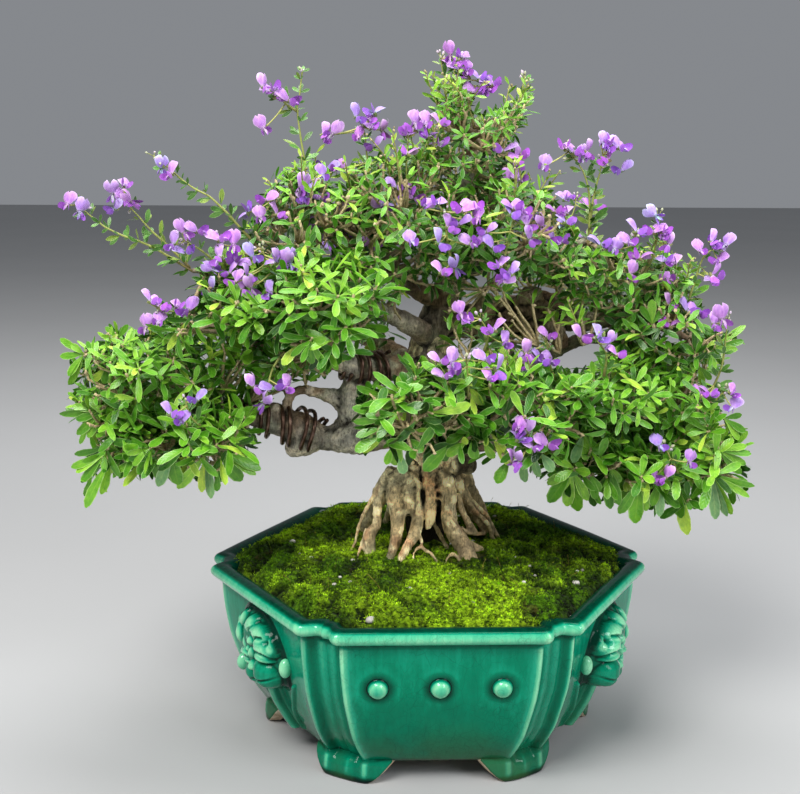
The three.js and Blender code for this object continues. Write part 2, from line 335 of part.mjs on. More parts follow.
// ---------------------------------------------------------------- soil, moss, drainage screen
const innerAt = (z) => { const q = [...INNER].reverse(); for (let i = 1; i < q.length; i++) if (z <= q[i][0]) return lerp(q[i - 1][1], q[i][1], (z - q[i - 1][0]) / (q[i][0] - q[i - 1][0])); return q[q.length - 1][1]; };
const soilProfile = [[SOIL_BOTTOM, 0], ...[SOIL_BOTTOM, 32, 58, 88, SOIL_TOP].map((z) => [z, innerAt(z) - GAP]), [SOIL_TOP, 0]];
let soil = largest(hexBody(soilProfile).subtract(treeFat)).simplify(0.1);
const ripple = (x, y, j) => (j >= 3 ? 0.9 * Math.sin(x * 0.11 + 1) * Math.cos(y * 0.13) + 0.7 * Math.sin(x * 0.05 - y * 0.08) : 0);
const mossProfile = [[MOSS_BOTTOM, 0], [MOSS_BOTTOM, innerAt(98.4) - GAP], ...MOSS_TOP.map(([a, z]) => [z, a])];
let moss = largest(hexBody(mossProfile, ripple).subtract(treeFat)).simplify(0.16);
let screen = toSolid(new THREE.BoxGeometry(SCREEN_SIDE, SCREEN_SIDE, SCREEN_THICK).translate(0, 0, FLOOR_TOP + GAP + SCREEN_THICK / 2));
for (const i of [-1, 0, 1]) for (const j of [-1, 0, 1]) {
  screen = screen.subtract(toSolid(new THREE.BoxGeometry(SCREEN_HOLE, SCREEN_HOLE, 6).translate(i * SCREEN_PITCH, j * SCREEN_PITCH, FLOOR_TOP + 1)));
}

// ---------------------------------------------------------------- flowering shoots
function bloom(stemPoints, at, grow) {
  let best = null, d = Infinity;
  for (const s of stemPoints) for (let i = 0; i < s.length - 1; i++) {
    const seg = new THREE.Line3(V(s[i]), V(s[i + 1])), q = seg.closestPointToPoint(V(at), true, new THREE.Vector3());
    const e = q.distanceTo(V(at)); if (e < d) { d = e; best = q; }
  }
  const dir = V(at).sub(best), len = Math.max(dir.length(), 1);
  const g = new THREE.OctahedronGeometry(1, 0), p = g.attributes.position;
  for (let i = 0; i < p.count; i++) {
    const z = p.getZ(i);
    if (z > 0.5) p.setXYZ(i, 0, 0, len + 6 + grow); else if (z < -0.5) p.setXYZ(i, 0, 0, -0.6 - grow);
    else p.setXYZ(i, p.getX(i) * (4.6 + grow), p.getY(i) * (4.6 + grow), len);
  }
  g.applyQuaternion(new THREE.Quaternion().setFromUnitVectors(new THREE.Vector3(0, 0, 1), dir.normalize())).translate(best.x, best.y, best.z);
  return toSolid(g);
}
function spray({ stems, blooms }, grow = 0) {
  const parts = stems.map((s) => stem(s.map((p, i) => [...p, i === s.length - 1 ? 0.9 : 1.2]), 3, Math.max(2, s.length - 1), grow));
  for (const b of blooms) parts.push(bloom(stems, b, grow));
  return join(parts);
}
const sprays = {}, sprayFat = [];
for (const [name, def] of Object.entries(SPRAYS)) {
  const solid = cutBy(spray(def), [treeFat, ...wireFat, ...sprayFat]);
  sprays[name] = largest(solid);
  sprayFat.push(spray(def, GAP));
}

// ---------------------------------------------------------------- leafy pads
function pad([x, y, z, rx, ry, rz, fans], seed) {
  const g = new THREE.IcosahedronGeometry(1, 1), p = g.attributes.position;
  for (let i = 0; i < p.count; i++) {
    const a = p.getX(i), b = p.getY(i), c = p.getZ(i);
    const k = PAD_CORE * (1 + 0.08 * Math.sin(5 * a + seed) * Math.cos(4 * b - seed) + 0.05 * Math.sin(6 * c + 2 * seed));
    p.setXYZ(i, a * k * rx, b * k * ry, c * k * rz);
  }
  const parts = [toSolid(g)];
  for (let i = 0; i < fans; i++) {
    const th = (2 * Math.PI * (i + 0.35 * Math.sin(i * 2.4 + seed))) / fans, el = 0.5 * Math.sin(i * 1.9 + seed * 1.3);
    const ex = Math.cos(th) * Math.cos(el), ey = Math.sin(th) * Math.cos(el), ez = Math.sin(el) - 0.08;
    const leaf = new THREE.OctahedronGeometry(1, 0).scale(LEAF_LONG, LEAF_WIDE, LEAF_THICK);
    const dir = new THREE.Vector3(ex * rx, ey * ry, ez * rz), reach = dir.length() - LEAF_LONG * 0.72;
    leaf.rotateX(0.5 * Math.sin(i * 3.1 + seed)).applyQuaternion(new THREE.Quaternion().setFromUnitVectors(new THREE.Vector3(1, 0, 0), dir.clone().normalize()));
    dir.setLength(reach);
    leaf.translate(dir.x, dir.y, dir.z);
    parts.push(toSolid(leaf));
  }
  return join(parts).translate([x, y, z]);
}
// neighbouring pads part along the plane where they would meet
function partingCuts(a, b) {
  const d = new THREE.Vector3(b[0] - a[0], b[1] - a[1], b[2] - a[2]);
  const n = new THREE.Vector3(d.x / (a[3] + b[3]) ** 2, d.y / (a[4] + b[4]) ** 2, d.z / (a[5] + b[5]) ** 2).normalize();
  const sa = Math.hypot(a[3] * n.x, a[4] * n.y, a[5] * n.z), sb = Math.hypot(b[3] * n.x, b[4] * n.y, b[5] * n.z), dn = d.dot(n);
  if (dn > sa + sb + 12) return null;
  const at = (dn * sa) / (sa + sb), q = new THREE.Quaternion().setFromUnitVectors(new THREE.Vector3(0, 0, 1), n);
  const block = (side) => toSolid(new THREE.BoxGeometry(300, 300, 120).translate(0, 0, side * (60 - PAD_GAP / 2) + 0).applyQuaternion(q)
    .translate(a[0] + n.x * at, a[1] + n.y * at, a[2] + n.z * at));
  return [block(1), block(-1)];
}
const padNames = Object.keys(PADS), pads = {};
padNames.forEach((name, n) => { pads[name] = pad(PADS[name], n * 1.7); });
for (let i = 0; i < padNames.length; i++) for (let j = i + 1; j < padNames.length; j++) {
  const cuts = partingCuts(PADS[padNames[i]], PADS[padNames[j]]);
  if (!cuts || !boxesMeet(pads[padNames[i]], pads[padNames[j]])) continue;
  pads[padNames[i]] = pads[padNames[i]].subtract(cuts[0]);
  pads[padNames[j]] = pads[padNames[j]].subtract(cuts[1]);
}
for (const name of padNames) pads[name] = largest(cutBy(largest(pads[name]), [treeFat, ...wireFat, ...sprayFat])).simplify(0.16);

// ---------------------------------------------------------------- scene graph
const M = (color, roughness, metalness = 0) => new THREE.MeshStandardMaterial({ color, roughness, metalness });
const glaze = M(0x0c8a68, 0.12), mesh = M(0x1c1e1d, 0.6), earth = M(0x4a3526, 0.95), mossGreen = M(0x5b8a1e, 0.95);
const bark = M(0x8f7c62, 0.9), copper = M(0x6e4a3a, 0.35, 0.9), leaf = M(0x3f8f2a, 0.5), petal = M(0xb27ad6, 0.6);

const group = new THREE.Group();
function place(name, solid, material) {
  const m = new THREE.Mesh(toGeometry(solid), material.clone());
  m.name = name;
  group.add(m);
  return m;
}
place('pot', potSolid, glaze);
place('drain_screen', screen, mesh);
place('soil', soil, earth);
place('moss', moss, mossGreen);
place('tree', tree, bark);
for (const [name, s] of Object.entries(wires)) place(name, s, copper);
for (const [name, s] of Object.entries(pads)) place(name, s, leaf);
for (const [name, s] of Object.entries(sprays)) place(name, s, petal);

// the middle of the whole plant's footprint becomes the origin
const footprint = new THREE.Box3().setFromObject(group), middle = footprint.getCenter(new THREE.Vector3());
group.position.set(-middle.x, -middle.y, -footprint.min.z);
const root = new THREE.Group();
root.add(group);
export default root;
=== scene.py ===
import math
import bpy
import numpy as np
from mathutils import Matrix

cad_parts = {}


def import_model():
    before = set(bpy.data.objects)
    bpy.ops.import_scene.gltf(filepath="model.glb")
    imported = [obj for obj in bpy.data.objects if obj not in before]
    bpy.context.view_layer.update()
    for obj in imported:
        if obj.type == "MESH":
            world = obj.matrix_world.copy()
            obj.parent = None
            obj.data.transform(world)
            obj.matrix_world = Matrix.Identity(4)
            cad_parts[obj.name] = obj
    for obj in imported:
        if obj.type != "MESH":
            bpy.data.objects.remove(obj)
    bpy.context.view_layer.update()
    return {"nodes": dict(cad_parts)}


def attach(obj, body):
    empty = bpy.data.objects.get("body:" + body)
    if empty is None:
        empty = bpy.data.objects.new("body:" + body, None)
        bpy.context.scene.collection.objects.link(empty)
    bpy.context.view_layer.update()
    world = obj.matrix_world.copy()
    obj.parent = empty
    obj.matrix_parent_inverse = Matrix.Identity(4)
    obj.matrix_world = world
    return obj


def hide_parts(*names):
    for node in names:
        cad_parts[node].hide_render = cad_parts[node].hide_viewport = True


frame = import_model()
NODES = frame["nodes"]

# All layout numbers are millimetres about the pot's own axis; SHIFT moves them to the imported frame.
SHIFT = np.array([11.829094, -1.666039, 0.0])


def world(p):
    return (np.asarray(p, float) + SHIFT) / 1000.0


# ------------------------------------------------------------------ camera
CAM_POS = np.array([-49.9, -762.2, 372.3])
az, pitch, roll = math.radians(-2.32), math.radians(11.88), math.radians(0.38)
fwd = np.array([-math.sin(az) * math.cos(pitch), math.cos(az) * math.cos(pitch), -math.sin(pitch)])
right = np.array([math.cos(az), math.sin(az), 0.0])
up = np.cross(right, fwd)
cam_r = math.cos(roll) * right + math.sin(roll) * up
cam_u = -math.sin(roll) * right + math.cos(roll) * up


def add_camera():
    from mathutils import Matrix
    data = bpy.data.cameras.new("camera")
    data.sensor_fit = "HORIZONTAL"
    data.sensor_width = 36.0
    data.lens = 1241.0 / 800.0 * 36.0
    data.clip_start, data.clip_end = 0.01, 50.0
    cam = bpy.data.objects.new("camera", data)
    bpy.context.scene.collection.objects.link(cam)
    p = world(CAM_POS)
    m = [[cam_r[i], cam_u[i], -fwd[i], p[i]] for i in range(3)] + [[0, 0, 0, 1]]
    cam.matrix_world = Matrix(m)
    bpy.context.scene.camera = cam
    return cam


add_camera()


def project(P):
    d = np.asarray(P, float).reshape(-1, 3) - CAM_POS
    z = d @ fwd
    return np.stack([400 + 1241 * (d @ cam_r) / z, 397 - 1241 * (d @ cam_u) / z, z], 1)


# ------------------------------------------------------------------ noise
def _hash(ix, iy, iz, seed):
    h = (ix * 374761393 + iy * 668265263 + iz * 1440662683 + seed * 1274126177) & 0xFFFFFFFF
    h = ((h ^ (h >> 13)) * 1274126177) & 0xFFFFFFFF
    h = ((h ^ (h >> 15)) * 2246822519) & 0xFFFFFFFF
    return ((h ^ (h >> 16)) & 0xFFFFFF) / 16777215.0


def vnoise(p, seed=0):
    p = np.asarray(p, float)
    i = np.floor(p).astype(np.int64)
    f = p - i
    u = f * f * f * (f * (f * 6 - 15) + 10)
    out = 0.0
    for a in (0, 1):
        wa = u[:, 0] if a else 1 - u[:, 0]
        for b in (0, 1):
            wb = u[:, 1] if b else 1 - u[:, 1]
            for c in (0, 1):
                wc = u[:, 2] if c else 1 - u[:, 2]
                out = out + wa * wb * wc * _hash(i[:, 0] + a, i[:, 1] + b, i[:, 2] + c, seed)
    return out * 2 - 1


def fbm(p, octaves=4, seed=0, gain=0.5):
    p = np.asarray(p, float)
    s, amp, tot = 0.0, 1.0, 0.0
    for o in range(octaves):
        s = s + amp * vnoise(p * (2.03 ** o) + 11.7 * o, seed + o)
        tot += amp
        amp *= gain
    return s / tot


def worley(p, seed=0):
    """distance to the nearest and second nearest feature point, and the nearest cell's random number"""
    p = np.asarray(p, float)
    i = np.floor(p).astype(np.int64)
    d1 = np.full(len(p), 9.0)
    d2 = np.full(len(p), 9.0)
    cid = np.zeros(len(p))
    zr = (-1, 0, 1) if p.shape[1] == 3 else (0,)
    for a in (-1, 0, 1):
        for b in (-1, 0, 1):
            for c in zr:
                ii = [i[:, 0] + a, i[:, 1] + b, (i[:, 2] + c) if p.shape[1] == 3 else np.zeros(len(p), np.int64)]
                q = [ii[k] + _hash(ii[0], ii[1], ii[2], seed + 17 * k) for k in range(p.shape[1])]
                d = np.sqrt(sum((q[k] - p[:, k]) ** 2 for k in range(p.shape[1])))
                near = d < d1
                d2 = np.where(near, d1, np.minimum(d2, d))
                cid = np.where(near, _hash(ii[0], ii[1], ii[2], seed + 91), cid)
                d1 = np.where(near, d, d1)
    return d1, d2, cid


def smooth(a, b, x):
    t = np.clip((np.asarray(x, float) - a) / (b - a), 0, 1)
    return t * t * (3 - 2 * t)


def catmull(points, per=8):
    """centripetal-like Catmull-Rom through rows of any width; returns the rows and the input's parameter"""
    P = np.asarray(points, float)
    n = len(P)
    ext = np.vstack([2 * P[0] - P[1], P, 2 * P[-1] - P[-2]])
    out, par = [], []
    for k in range(n - 1):
        p0, p1, p2, p3 = ext[k:k + 4]
        m = per if np.isscalar(per) else per[k]
        for j in range(m):
            t = j / m
            out.append(0.5 * (2 * p1 + (p2 - p0) * t + (2 * p0 - 5 * p1 + 4 * p2 - p3) * t * t + (3 * p1 - p0 - 3 * p2 + p3) * t ** 3))
            par.append(k + t)
    out.append(P[-1])
    par.append(n - 1.0)
    return np.array(out), np.array(par)


def resample(curve, step):
    seg = np.linalg.norm(np.diff(curve[:, :3], axis=0), axis=1)
    s = np.concatenate([[0], np.cumsum(seg)])
    n = max(2, int(round(s[-1] / step)) + 1)
    t = np.linspace(0, s[-1], n)
    return np.stack([np.interp(t, s, curve[:, k]) for k in range(curve.shape[1])], 1)


# ------------------------------------------------------------------ mesh helpers
class Bag:
    """collects points, faces and point attributes, then makes one mesh object"""

    def __init__(self):
        self.v, self.f3, self.f4, self.a, self.n = [], [], [], {}, 0
        self.m3, self.m4 = [], []

    def add(self, V, tri=None, quad=None, mat=0, **attrs):
        V = np.asarray(V, float)
        if tri is not None and len(tri):
            self.f3.append(np.asarray(tri, np.int64) + self.n)
            self.m3.append(np.full(len(tri), mat, np.int32))
        if quad is not None and len(quad):
            self.f4.append(np.asarray(quad, np.int64) + self.n)
            self.m4.append(np.full(len(quad), mat, np.int32))
        for k, val in attrs.items():
            val = np.asarray(val, np.float32)
            if val.ndim == 1 and len(val) != len(V):
                val = np.tile(val, (len(V), 1))
            self.a.setdefault(k, []).append(val)
        self.v.append(V)
        self.n += len(V)

    def tris(self):
        return sum(len(f) for f in self.f3) + 2 * sum(len(f) for f in self.f4)

    def make(self, name, materials, smooth_shade=True):
        V = np.vstack(self.v)
        f3 = np.vstack(self.f3) if self.f3 else np.zeros((0, 3), np.int64)
        f4 = np.vstack(self.f4) if self.f4 else np.zeros((0, 4), np.int64)
        me = bpy.data.meshes.new(name)
        me.vertices.add(len(V))
        me.vertices.foreach_set("co", world(V).astype(np.float32).ravel())
        loops = np.concatenate([f3.ravel(), f4.ravel()]).astype(np.int32)
        me.loops.add(len(loops))
        me.loops.foreach_set("vertex_index", loops)
        sizes = np.concatenate([np.full(len(f3), 3), np.full(len(f4), 4)])
        starts = np.concatenate([[0], np.cumsum(sizes)[:-1]]).astype(np.int32)
        me.polygons.add(len(sizes))
        me.polygons.foreach_set("loop_start", starts)
        if len(materials) > 1:
            mi = np.concatenate((self.m3 or []) + (self.m4 or []))
            me.polygons.foreach_set("material_index", mi.astype(np.int32))
        me.update(calc_edges=True)
        me.validate()
        me.polygons.foreach_set("use_smooth", np.full(len(me.polygons), bool(smooth_shade)))
        for k, vals in self.a.items():
            arr = np.concatenate(vals)
            if len(arr) != len(V):
                raise RuntimeError("attribute %s of %s covers %d of %d points" % (k, name, len(arr), len(V)))
            if arr.ndim == 1:
                at = me.attributes.new(k, "FLOAT", "POINT")
                at.data.foreach_set("value", arr)
            elif arr.shape[1] == 2:
                at = me.attributes.new(k, "FLOAT_VECTOR", "POINT")
                at.data.foreach_set("vector", np.hstack([arr, np.zeros((len(arr), 1), np.float32)]).ravel())
            else:
                rgba = np.hstack([arr[:, :3], np.ones((len(arr), 1), np.float32)])
                at = me.attributes.new(k, "FLOAT_COLOR", "POINT")
                at.data.foreach_set("color", rgba.astype(np.float32).ravel())
        for m in materials:
            me.materials.append(m)
        ob = bpy.data.objects.new(name, me)
        bpy.context.scene.collection.objects.link(ob)
        return ob


def grid_quads(rows, cols, close_rows=False, close_cols=False, flip=False):
    r = np.arange(rows if close_rows else rows - 1)
    c = np.arange(cols if close_cols else cols - 1)
    R, C = np.meshgrid(r, c, indexing="ij")
    R2, C2 = (R + 1) % rows, (C + 1) % cols
    q = np.stack([R * cols + C, R * cols + C2, R2 * cols + C2, R2 * cols + C], -1).reshape(-1, 4)
    return q[:, ::-1] if flip else q


def frames_along(P):
    """tangents and a rotation-minimising normal pair along a polyline"""
    T = np.gradient(P, axis=0)
    T /= np.maximum(np.linalg.norm(T, axis=1, keepdims=True), 1e-9)
    N = np.zeros_like(P)
    a = np.array([0, 0, 1.0]) if abs(T[0][2]) < 0.9 else np.array([1.0, 0, 0])
    n = a - T[0] * (a @ T[0])
    N[0] = n / np.linalg.norm(n)
    for i in range(1, len(P)):
        n = N[i - 1] - T[i] * (N[i - 1] @ T[i])
        N[i] = n / max(np.linalg.norm(n), 1e-9)
    return T, N, np.cross(T, N)


def tube(P, R, sides, phase=0.0, cap=True, rmod=None):
    """points, quads and triangles of a closed tube; rmod(angle, index) scales the radius"""
    T, N, B = frames_along(P)
    a = np.arange(sides) * 2 * math.pi / sides + phase
    rr = np.asarray(R, float)[:, None] * np.ones((1, sides))
    if rmod is not None:
        rr = rr * rmod
    V = P[:, None, :] + rr[..., None] * (np.cos(a)[None, :, None] * N[:, None, :] + np.sin(a)[None, :, None] * B[:, None, :])
    V = V.reshape(-1, 3)
    q = grid_quads(len(P), sides, close_cols=True)
    t = []
    if cap:
        V = np.vstack([V, P[0] - T[0] * R[0] * 0.5, P[-1] + T[-1] * R[-1] * 0.8])
        s, e = len(V) - 2, len(V) - 1
        o = (len(P) - 1) * sides
        t = [[s, (k + 1) % sides, k] for k in range(sides)] + [[e, o + k, o + (k + 1) % sides] for k in range(sides)]
    return V, q, np.array(t, np.int64).reshape(-1, 3)


# ------------------------------------------------------------------ node material helpers
def srgb(r, g, b):
    f = lambda c: (c / 255 / 12.92) if c / 255 <= 0.04045 else ((c / 255 + 0.055) / 1.055) ** 2.4
    return (f(r), f(g), f(b), 1.0)


class Mat:
    def __init__(self, name):
        self.m = bpy.data.materials.new(name)
        self.m.use_nodes = True
        self.t = self.m.node_tree
        for n in list(self.t.nodes):
            self.t.nodes.remove(n)
        self.out = self.t.nodes.new("ShaderNodeOutputMaterial")
        self.b = self.t.nodes.new("ShaderNodeBsdfPrincipled")
        self.t.links.new(self.b.outputs[0], self.out.inputs[0])
        g = self.t.nodes.new("ShaderNodeTexCoord")
        self.pos = g.outputs["Object"]

    def link(self, a, b):
        self.t.links.new(a, b)
        return self

    def _in(self, sock, v):
        if hasattr(v, "is_output") or isinstance(v, bpy.types.NodeSocket):
            self.t.links.new(v, sock)
        elif v is not None:
            sock.default_value = v

    def attr(self, name, kind="Color"):
        n = self.t.nodes.new("ShaderNodeAttribute")
        n.attribute_name = name
        return n.outputs[kind]

    def math(self, op, a, b=None, c=None, clamp=False):
        n = self.t.nodes.new("ShaderNodeMath")
        n.operation = op
        n.use_clamp = clamp
        self._in(n.inputs[0], a)
        if b is not None:
            self._in(n.inputs[1], b)
        if c is not None:
            self._in(n.inputs[2], c)
        return n.outputs[0]

    def vmath(self, op, a, b=None):
        n = self.t.nodes.new("ShaderNodeVectorMath")
        n.operation = op
        self._in(n.inputs[0], a)
        if b is not None:
            self._in(n.inputs[1], b)
        return n.outputs["Value"] if op in ("DISTANCE", "LENGTH", "DOT_PRODUCT") else n.outputs[0]

    def sep(self, v):
        n = self.t.nodes.new("ShaderNodeSeparateXYZ")
        self._in(n.inputs[0], v)
        return n.outputs

    def noise(self, scale, detail=4, rough=0.55, vec=None, out="Fac", distortion=0.0):
        n = self.t.nodes.new("ShaderNodeTexNoise")
        n.inputs["Scale"].default_value = scale
        n.inputs["Detail"].default_value = detail
        n.inputs["Roughness"].default_value = rough
        n.inputs["Distortion"].default_value = distortion
        self._in(n.inputs["Vector"], self.pos if vec is None else vec)
        return n.outputs[out]

    def voronoi(self, scale, feature="F1", vec=None, out="Distance", randomness=1.0):
        n = self.t.nodes.new("ShaderNodeTexVoronoi")
        n.feature = feature
        n.inputs["Scale"].default_value = scale
        n.inputs["Randomness"].default_value = randomness
        self._in(n.inputs["Vector"], self.pos if vec is None else vec)
        return n.outputs[out]

    def scaled(self, s):
        n = self.t.nodes.new("ShaderNodeMapping")
        n.inputs["Scale"].default_value = s
        self._in(n.inputs["Vector"], self.pos)
        return n.outputs[0]

    def ramp(self, fac, stops, interp="LINEAR"):
        n = self.t.nodes.new("ShaderNodeValToRGB")
        n.color_ramp.interpolation = interp
        e = n.color_ramp.elements
        while len(e) < len(stops):
            e.new(0.5)
        for k, (p, c) in enumerate(stops):
            e[k].position = p
            e[k].color = c if len(c) == 4 else (*c, 1)
        self._in(n.inputs[0], fac)
        return n.outputs[0]

    def maprange(self, v, a, b, c=0.0, d=1.0, kind="LINEAR"):
        n = self.t.nodes.new("ShaderNodeMapRange")
        n.interpolation_type = kind
        self._in(n.inputs[0], v)
        for k, x in zip((1, 2, 3, 4), (a, b, c, d)):
            n.inputs[k].default_value = x
        return n.outputs[0]

    def mix(self, fac, a, b, mode="MIX"):
        n = self.t.nodes.new("ShaderNodeMix")
        n.data_type = "RGBA"
        n.blend_type = mode
        n.clamp_result = False
        self._in(n.inputs[0], fac)
        self._in(n.inputs[6], a)
        self._in(n.inputs[7], b)
        return n.outputs[2]

    def bump(self, height, strength=0.5, dist=0.001, normal=None):
        n = self.t.nodes.new("ShaderNodeBump")
        n.inputs["Strength"].default_value = strength
        n.inputs["Distance"].default_value = dist
        self._in(n.inputs["Height"], height)
        if normal is not None:
            self._in(n.inputs["Normal"], normal)
        return n.outputs[0]

    def set(self, **kw):
        names = {"color": "Base Color", "rough": "Roughness", "metal": "Metallic", "normal": "Normal", "spec": "Specular IOR Level",
                 "coat": "Coat Weight", "coat_rough": "Coat Roughness", "ior": "IOR", "sheen": "Sheen Weight", "sheen_rough": "Sheen Roughness",
                 "sss": "Subsurface Weight", "sss_scale": "Subsurface Scale", "sss_radius": "Subsurface Radius", "aniso": "Anisotropic"}
        for k, v in kw.items():
            self._in(self.b.inputs[names[k]], v)
        return self


# ------------------------------------------------------------------ glazed pot
T30 = math.tan(math.pi / 6)
OUTER = np.array([[12.5, 88.0], [12.7, 91.6], [13.6, 94.2], [15.4, 95.8], [18.4, 97.9], [25.6, 102.3], [35, 107], [46, 110.7], [57, 114],
                  [64, 115.7], [78, 117.8], [88, 118.7], [94.8, 119.0], [96.6, 119.6]])
LIP = np.array([[97.3, 121.2], [98.1, 123.4], [99.4, 125.2], [101.4, 126.3], [103.4, 126.2], [105.2, 125.0], [106.3, 122.8], [106.7, 120.4],
                [106.4, 117.8], [105.4, 115.4], [103.6, 113.6], [101, 112.6]])
INNER = np.array([[95, 112.1], [84, 111.6], [60, 108.2], [32, 98.4], [24, 92.0], [21, 86.0]])
FLOOR = np.array([[20.6, 60], [20.6, 17.6], [18, 17], [14, 17], [12.6, 17.6], [12.5, 40], [12.5, 70]])
E = 11.6
# left and right ridge places of each corner (the pot is hand finished, so they differ a little)
EDGE = {0: (-11.9, 11.5), 1: (-11.4, 11.8), 2: (-11.7, 11.7), 3: (-11.5, 12.0), 4: (-14.2, 11.6), 5: (-11.2, 12.0)}


def line(a, u):
    return 2 * a / math.sqrt(3) - np.abs(u) * T30


def corner_v(a, u, t, c, s):
    """radial reach of the outline near a corner: a apothem, u across, t 0 body .. 1 lip"""
    lo, hi = EDGE[c]
    e = np.where(u < 0, -lo, hi) * s
    au = np.abs(u)
    edge = line(a, e)
    base = line(a, u)
    sb = 1 - smooth(0.60, 0.97, au / e)
    depth_b = 3.6 * s
    body_in = edge - depth_b + 0.4 * s * np.exp(-((au / e - 0.36) / 0.16) ** 2)
    body = base * (1 - sb) + body_in * sb + 1.0 * s * np.exp(-((au / e - 1.03) / 0.12) ** 2)
    sr = 1 - smooth(0.26, 1.12, au / e)
    rim = base * (1 - sr) + (edge - 5.6 * s) * sr
    return body * (1 - t) + rim * t


def plan_ring(a, t, s):
    """one closed outline at apothem a; s scales the corner features"""
    pts, cav = [], []
    for c in range(6):
        th = c * math.pi / 3
        u = CORNER_U * s
        v = corner_v(a, u, t, c, s)
        pts.append(np.stack([v * math.cos(th) - u * math.sin(th), v * math.sin(th) + u * math.cos(th)], 1))
        lo, hi = EDGE[c]
        r = np.abs(u) / (np.where(u < 0, -lo, hi) * s)
        # cav paints the light and shade of the relief: pale ridges (partly the glaze's own paler tint, partly painted
        # highlight), a darker fluted hollow as painted shade, and a soft painted highlight in its middle
        body = 1.0 * np.exp(-((r - 1.02) / 0.11) ** 2) - 0.30 * np.exp(-((r - 0.72) / 0.14) ** 2) + 0.22 * np.exp(-((r - 0.30) / 0.16) ** 2)
        rim = 0.35 * np.exp(-((r - 1.05) / 0.12) ** 2)
        cav.append(body * (1 - t) + rim * t)
    P, C = [], []
    for c in range(6):
        p, q = pts[c][-1], pts[(c + 1) % 6][0]
        w = np.linspace(0, 1, FACE_N + 2)[1:-1, None]
        P += [pts[c], p + (q - p) * w]
        C += [cav[c], np.zeros(FACE_N)]
    return np.vstack(P), np.concatenate(C)


CORNER_U = np.concatenate([np.linspace(-17.5, -13, 3), np.linspace(-12.4, 12.4, 29), np.linspace(13, 17.5, 3)])
FACE_N = 9

bag = Bag()


def profile_rows(pts, step):
    c, _ = catmull(np.asarray(pts)[:, ::-1], 8)
    return resample(np.hstack([c, np.zeros((len(c), 1))]), step)[:, :2]


outer = profile_rows(OUTER, 1.7)
lip = profile_rows(np.vstack([OUTER[-1:], LIP]), 0.95)[1:]
inner = profile_rows(np.vstack([LIP[-1:], INNER]), 5.0)[1:]
rows = np.vstack([outer, lip, inner, FLOOR[:, ::-1], outer[:1]])
kind = np.concatenate([np.zeros(len(outer)), np.ones(len(lip)), np.ones(len(inner)) * 2, np.ones(len(FLOOR)) * 3, [0]])
P, C = [], []
for k, (a, z) in enumerate(rows):
    t = 0.0 if kind[k] == 0 else 1.0
    if kind[k] == 0:
        t = float(smooth(94.5, 97.5, z))
    if kind[k] == 3 or k == len(rows) - 1:
        t = 0.0
    s = min(1.0, a / 88.0)
    xy, cv = plan_ring(a, t, s)
    zz = np.full(len(xy), z)
    # a slight hand-made unevenness of walls and lip
    wob = 0.30 * fbm(np.column_stack([xy * 0.02, zz * 0.03]), 2, 5)
    xy = xy * (1 + wob[:, None] / 120.0)
    P.append(np.column_stack([xy, zz + (0.25 * vnoise(np.column_stack([xy * 0.015, zz * 0]), 8) if z > 90 else 0)]))
    if kind[k] == 1:
        # lip roll: a painted highlight on its outer crest, a painted dark reflection on its inner slope and painted
        # shade on its underside
        ang = math.atan2(z - 101.7, a - 121.2)
        cv = cv + 0.62 * max(0.0, math.cos(ang + 0.05)) ** 2.2 - 1.25 * smooth(0.62, 1.25, ang) - 0.55 * smooth(0.55, 1.0, math.cos(ang + 1.9))
    elif kind[k] == 0:
        # body: darker just under the lip as painted shade, a dark line in the crease above the feet as painted shade,
        # and the corner ridges fade low down
        cv = cv * (0.45 + 0.55 * smooth(12, 22, z)) - 0.75 * smooth(93.4, 96.4, z) - 0.5 * np.exp(-((z - 14.2) / 1.5) ** 2)
    elif kind[k] == 2:
        # the inside wall is painted dark as shade
        cv = cv * 0 - 0.9
    else:
        cv = cv * 0 - 0.2
    C.append(np.clip(cv, -1, 1))
N = len(P[0])
for k in range(len(rows)):
    if kind[k] == 0:
        # spread the painted ridge highlights and hollow shade a little sideways
        wide = sum(np.roll(C[k], j) * math.exp(-(j / 2.2) ** 2) for j in range(-4, 5)) / sum(math.exp(-(j / 2.2) ** 2) for j in range(-4, 5))
        C[k] = np.clip(0.55 * C[k] + 0.85 * np.where(wide > 0, wide, 0.6 * wide), -1, 1)
P, C = np.vstack(P), np.concatenate(C)
under = np.repeat((kind == 3) & (rows[:, 1] < 20), N).astype(float)
bag.add(P, quad=grid_quads(len(rows), N, close_cols=True), cav=C, bare=under * 0.85)

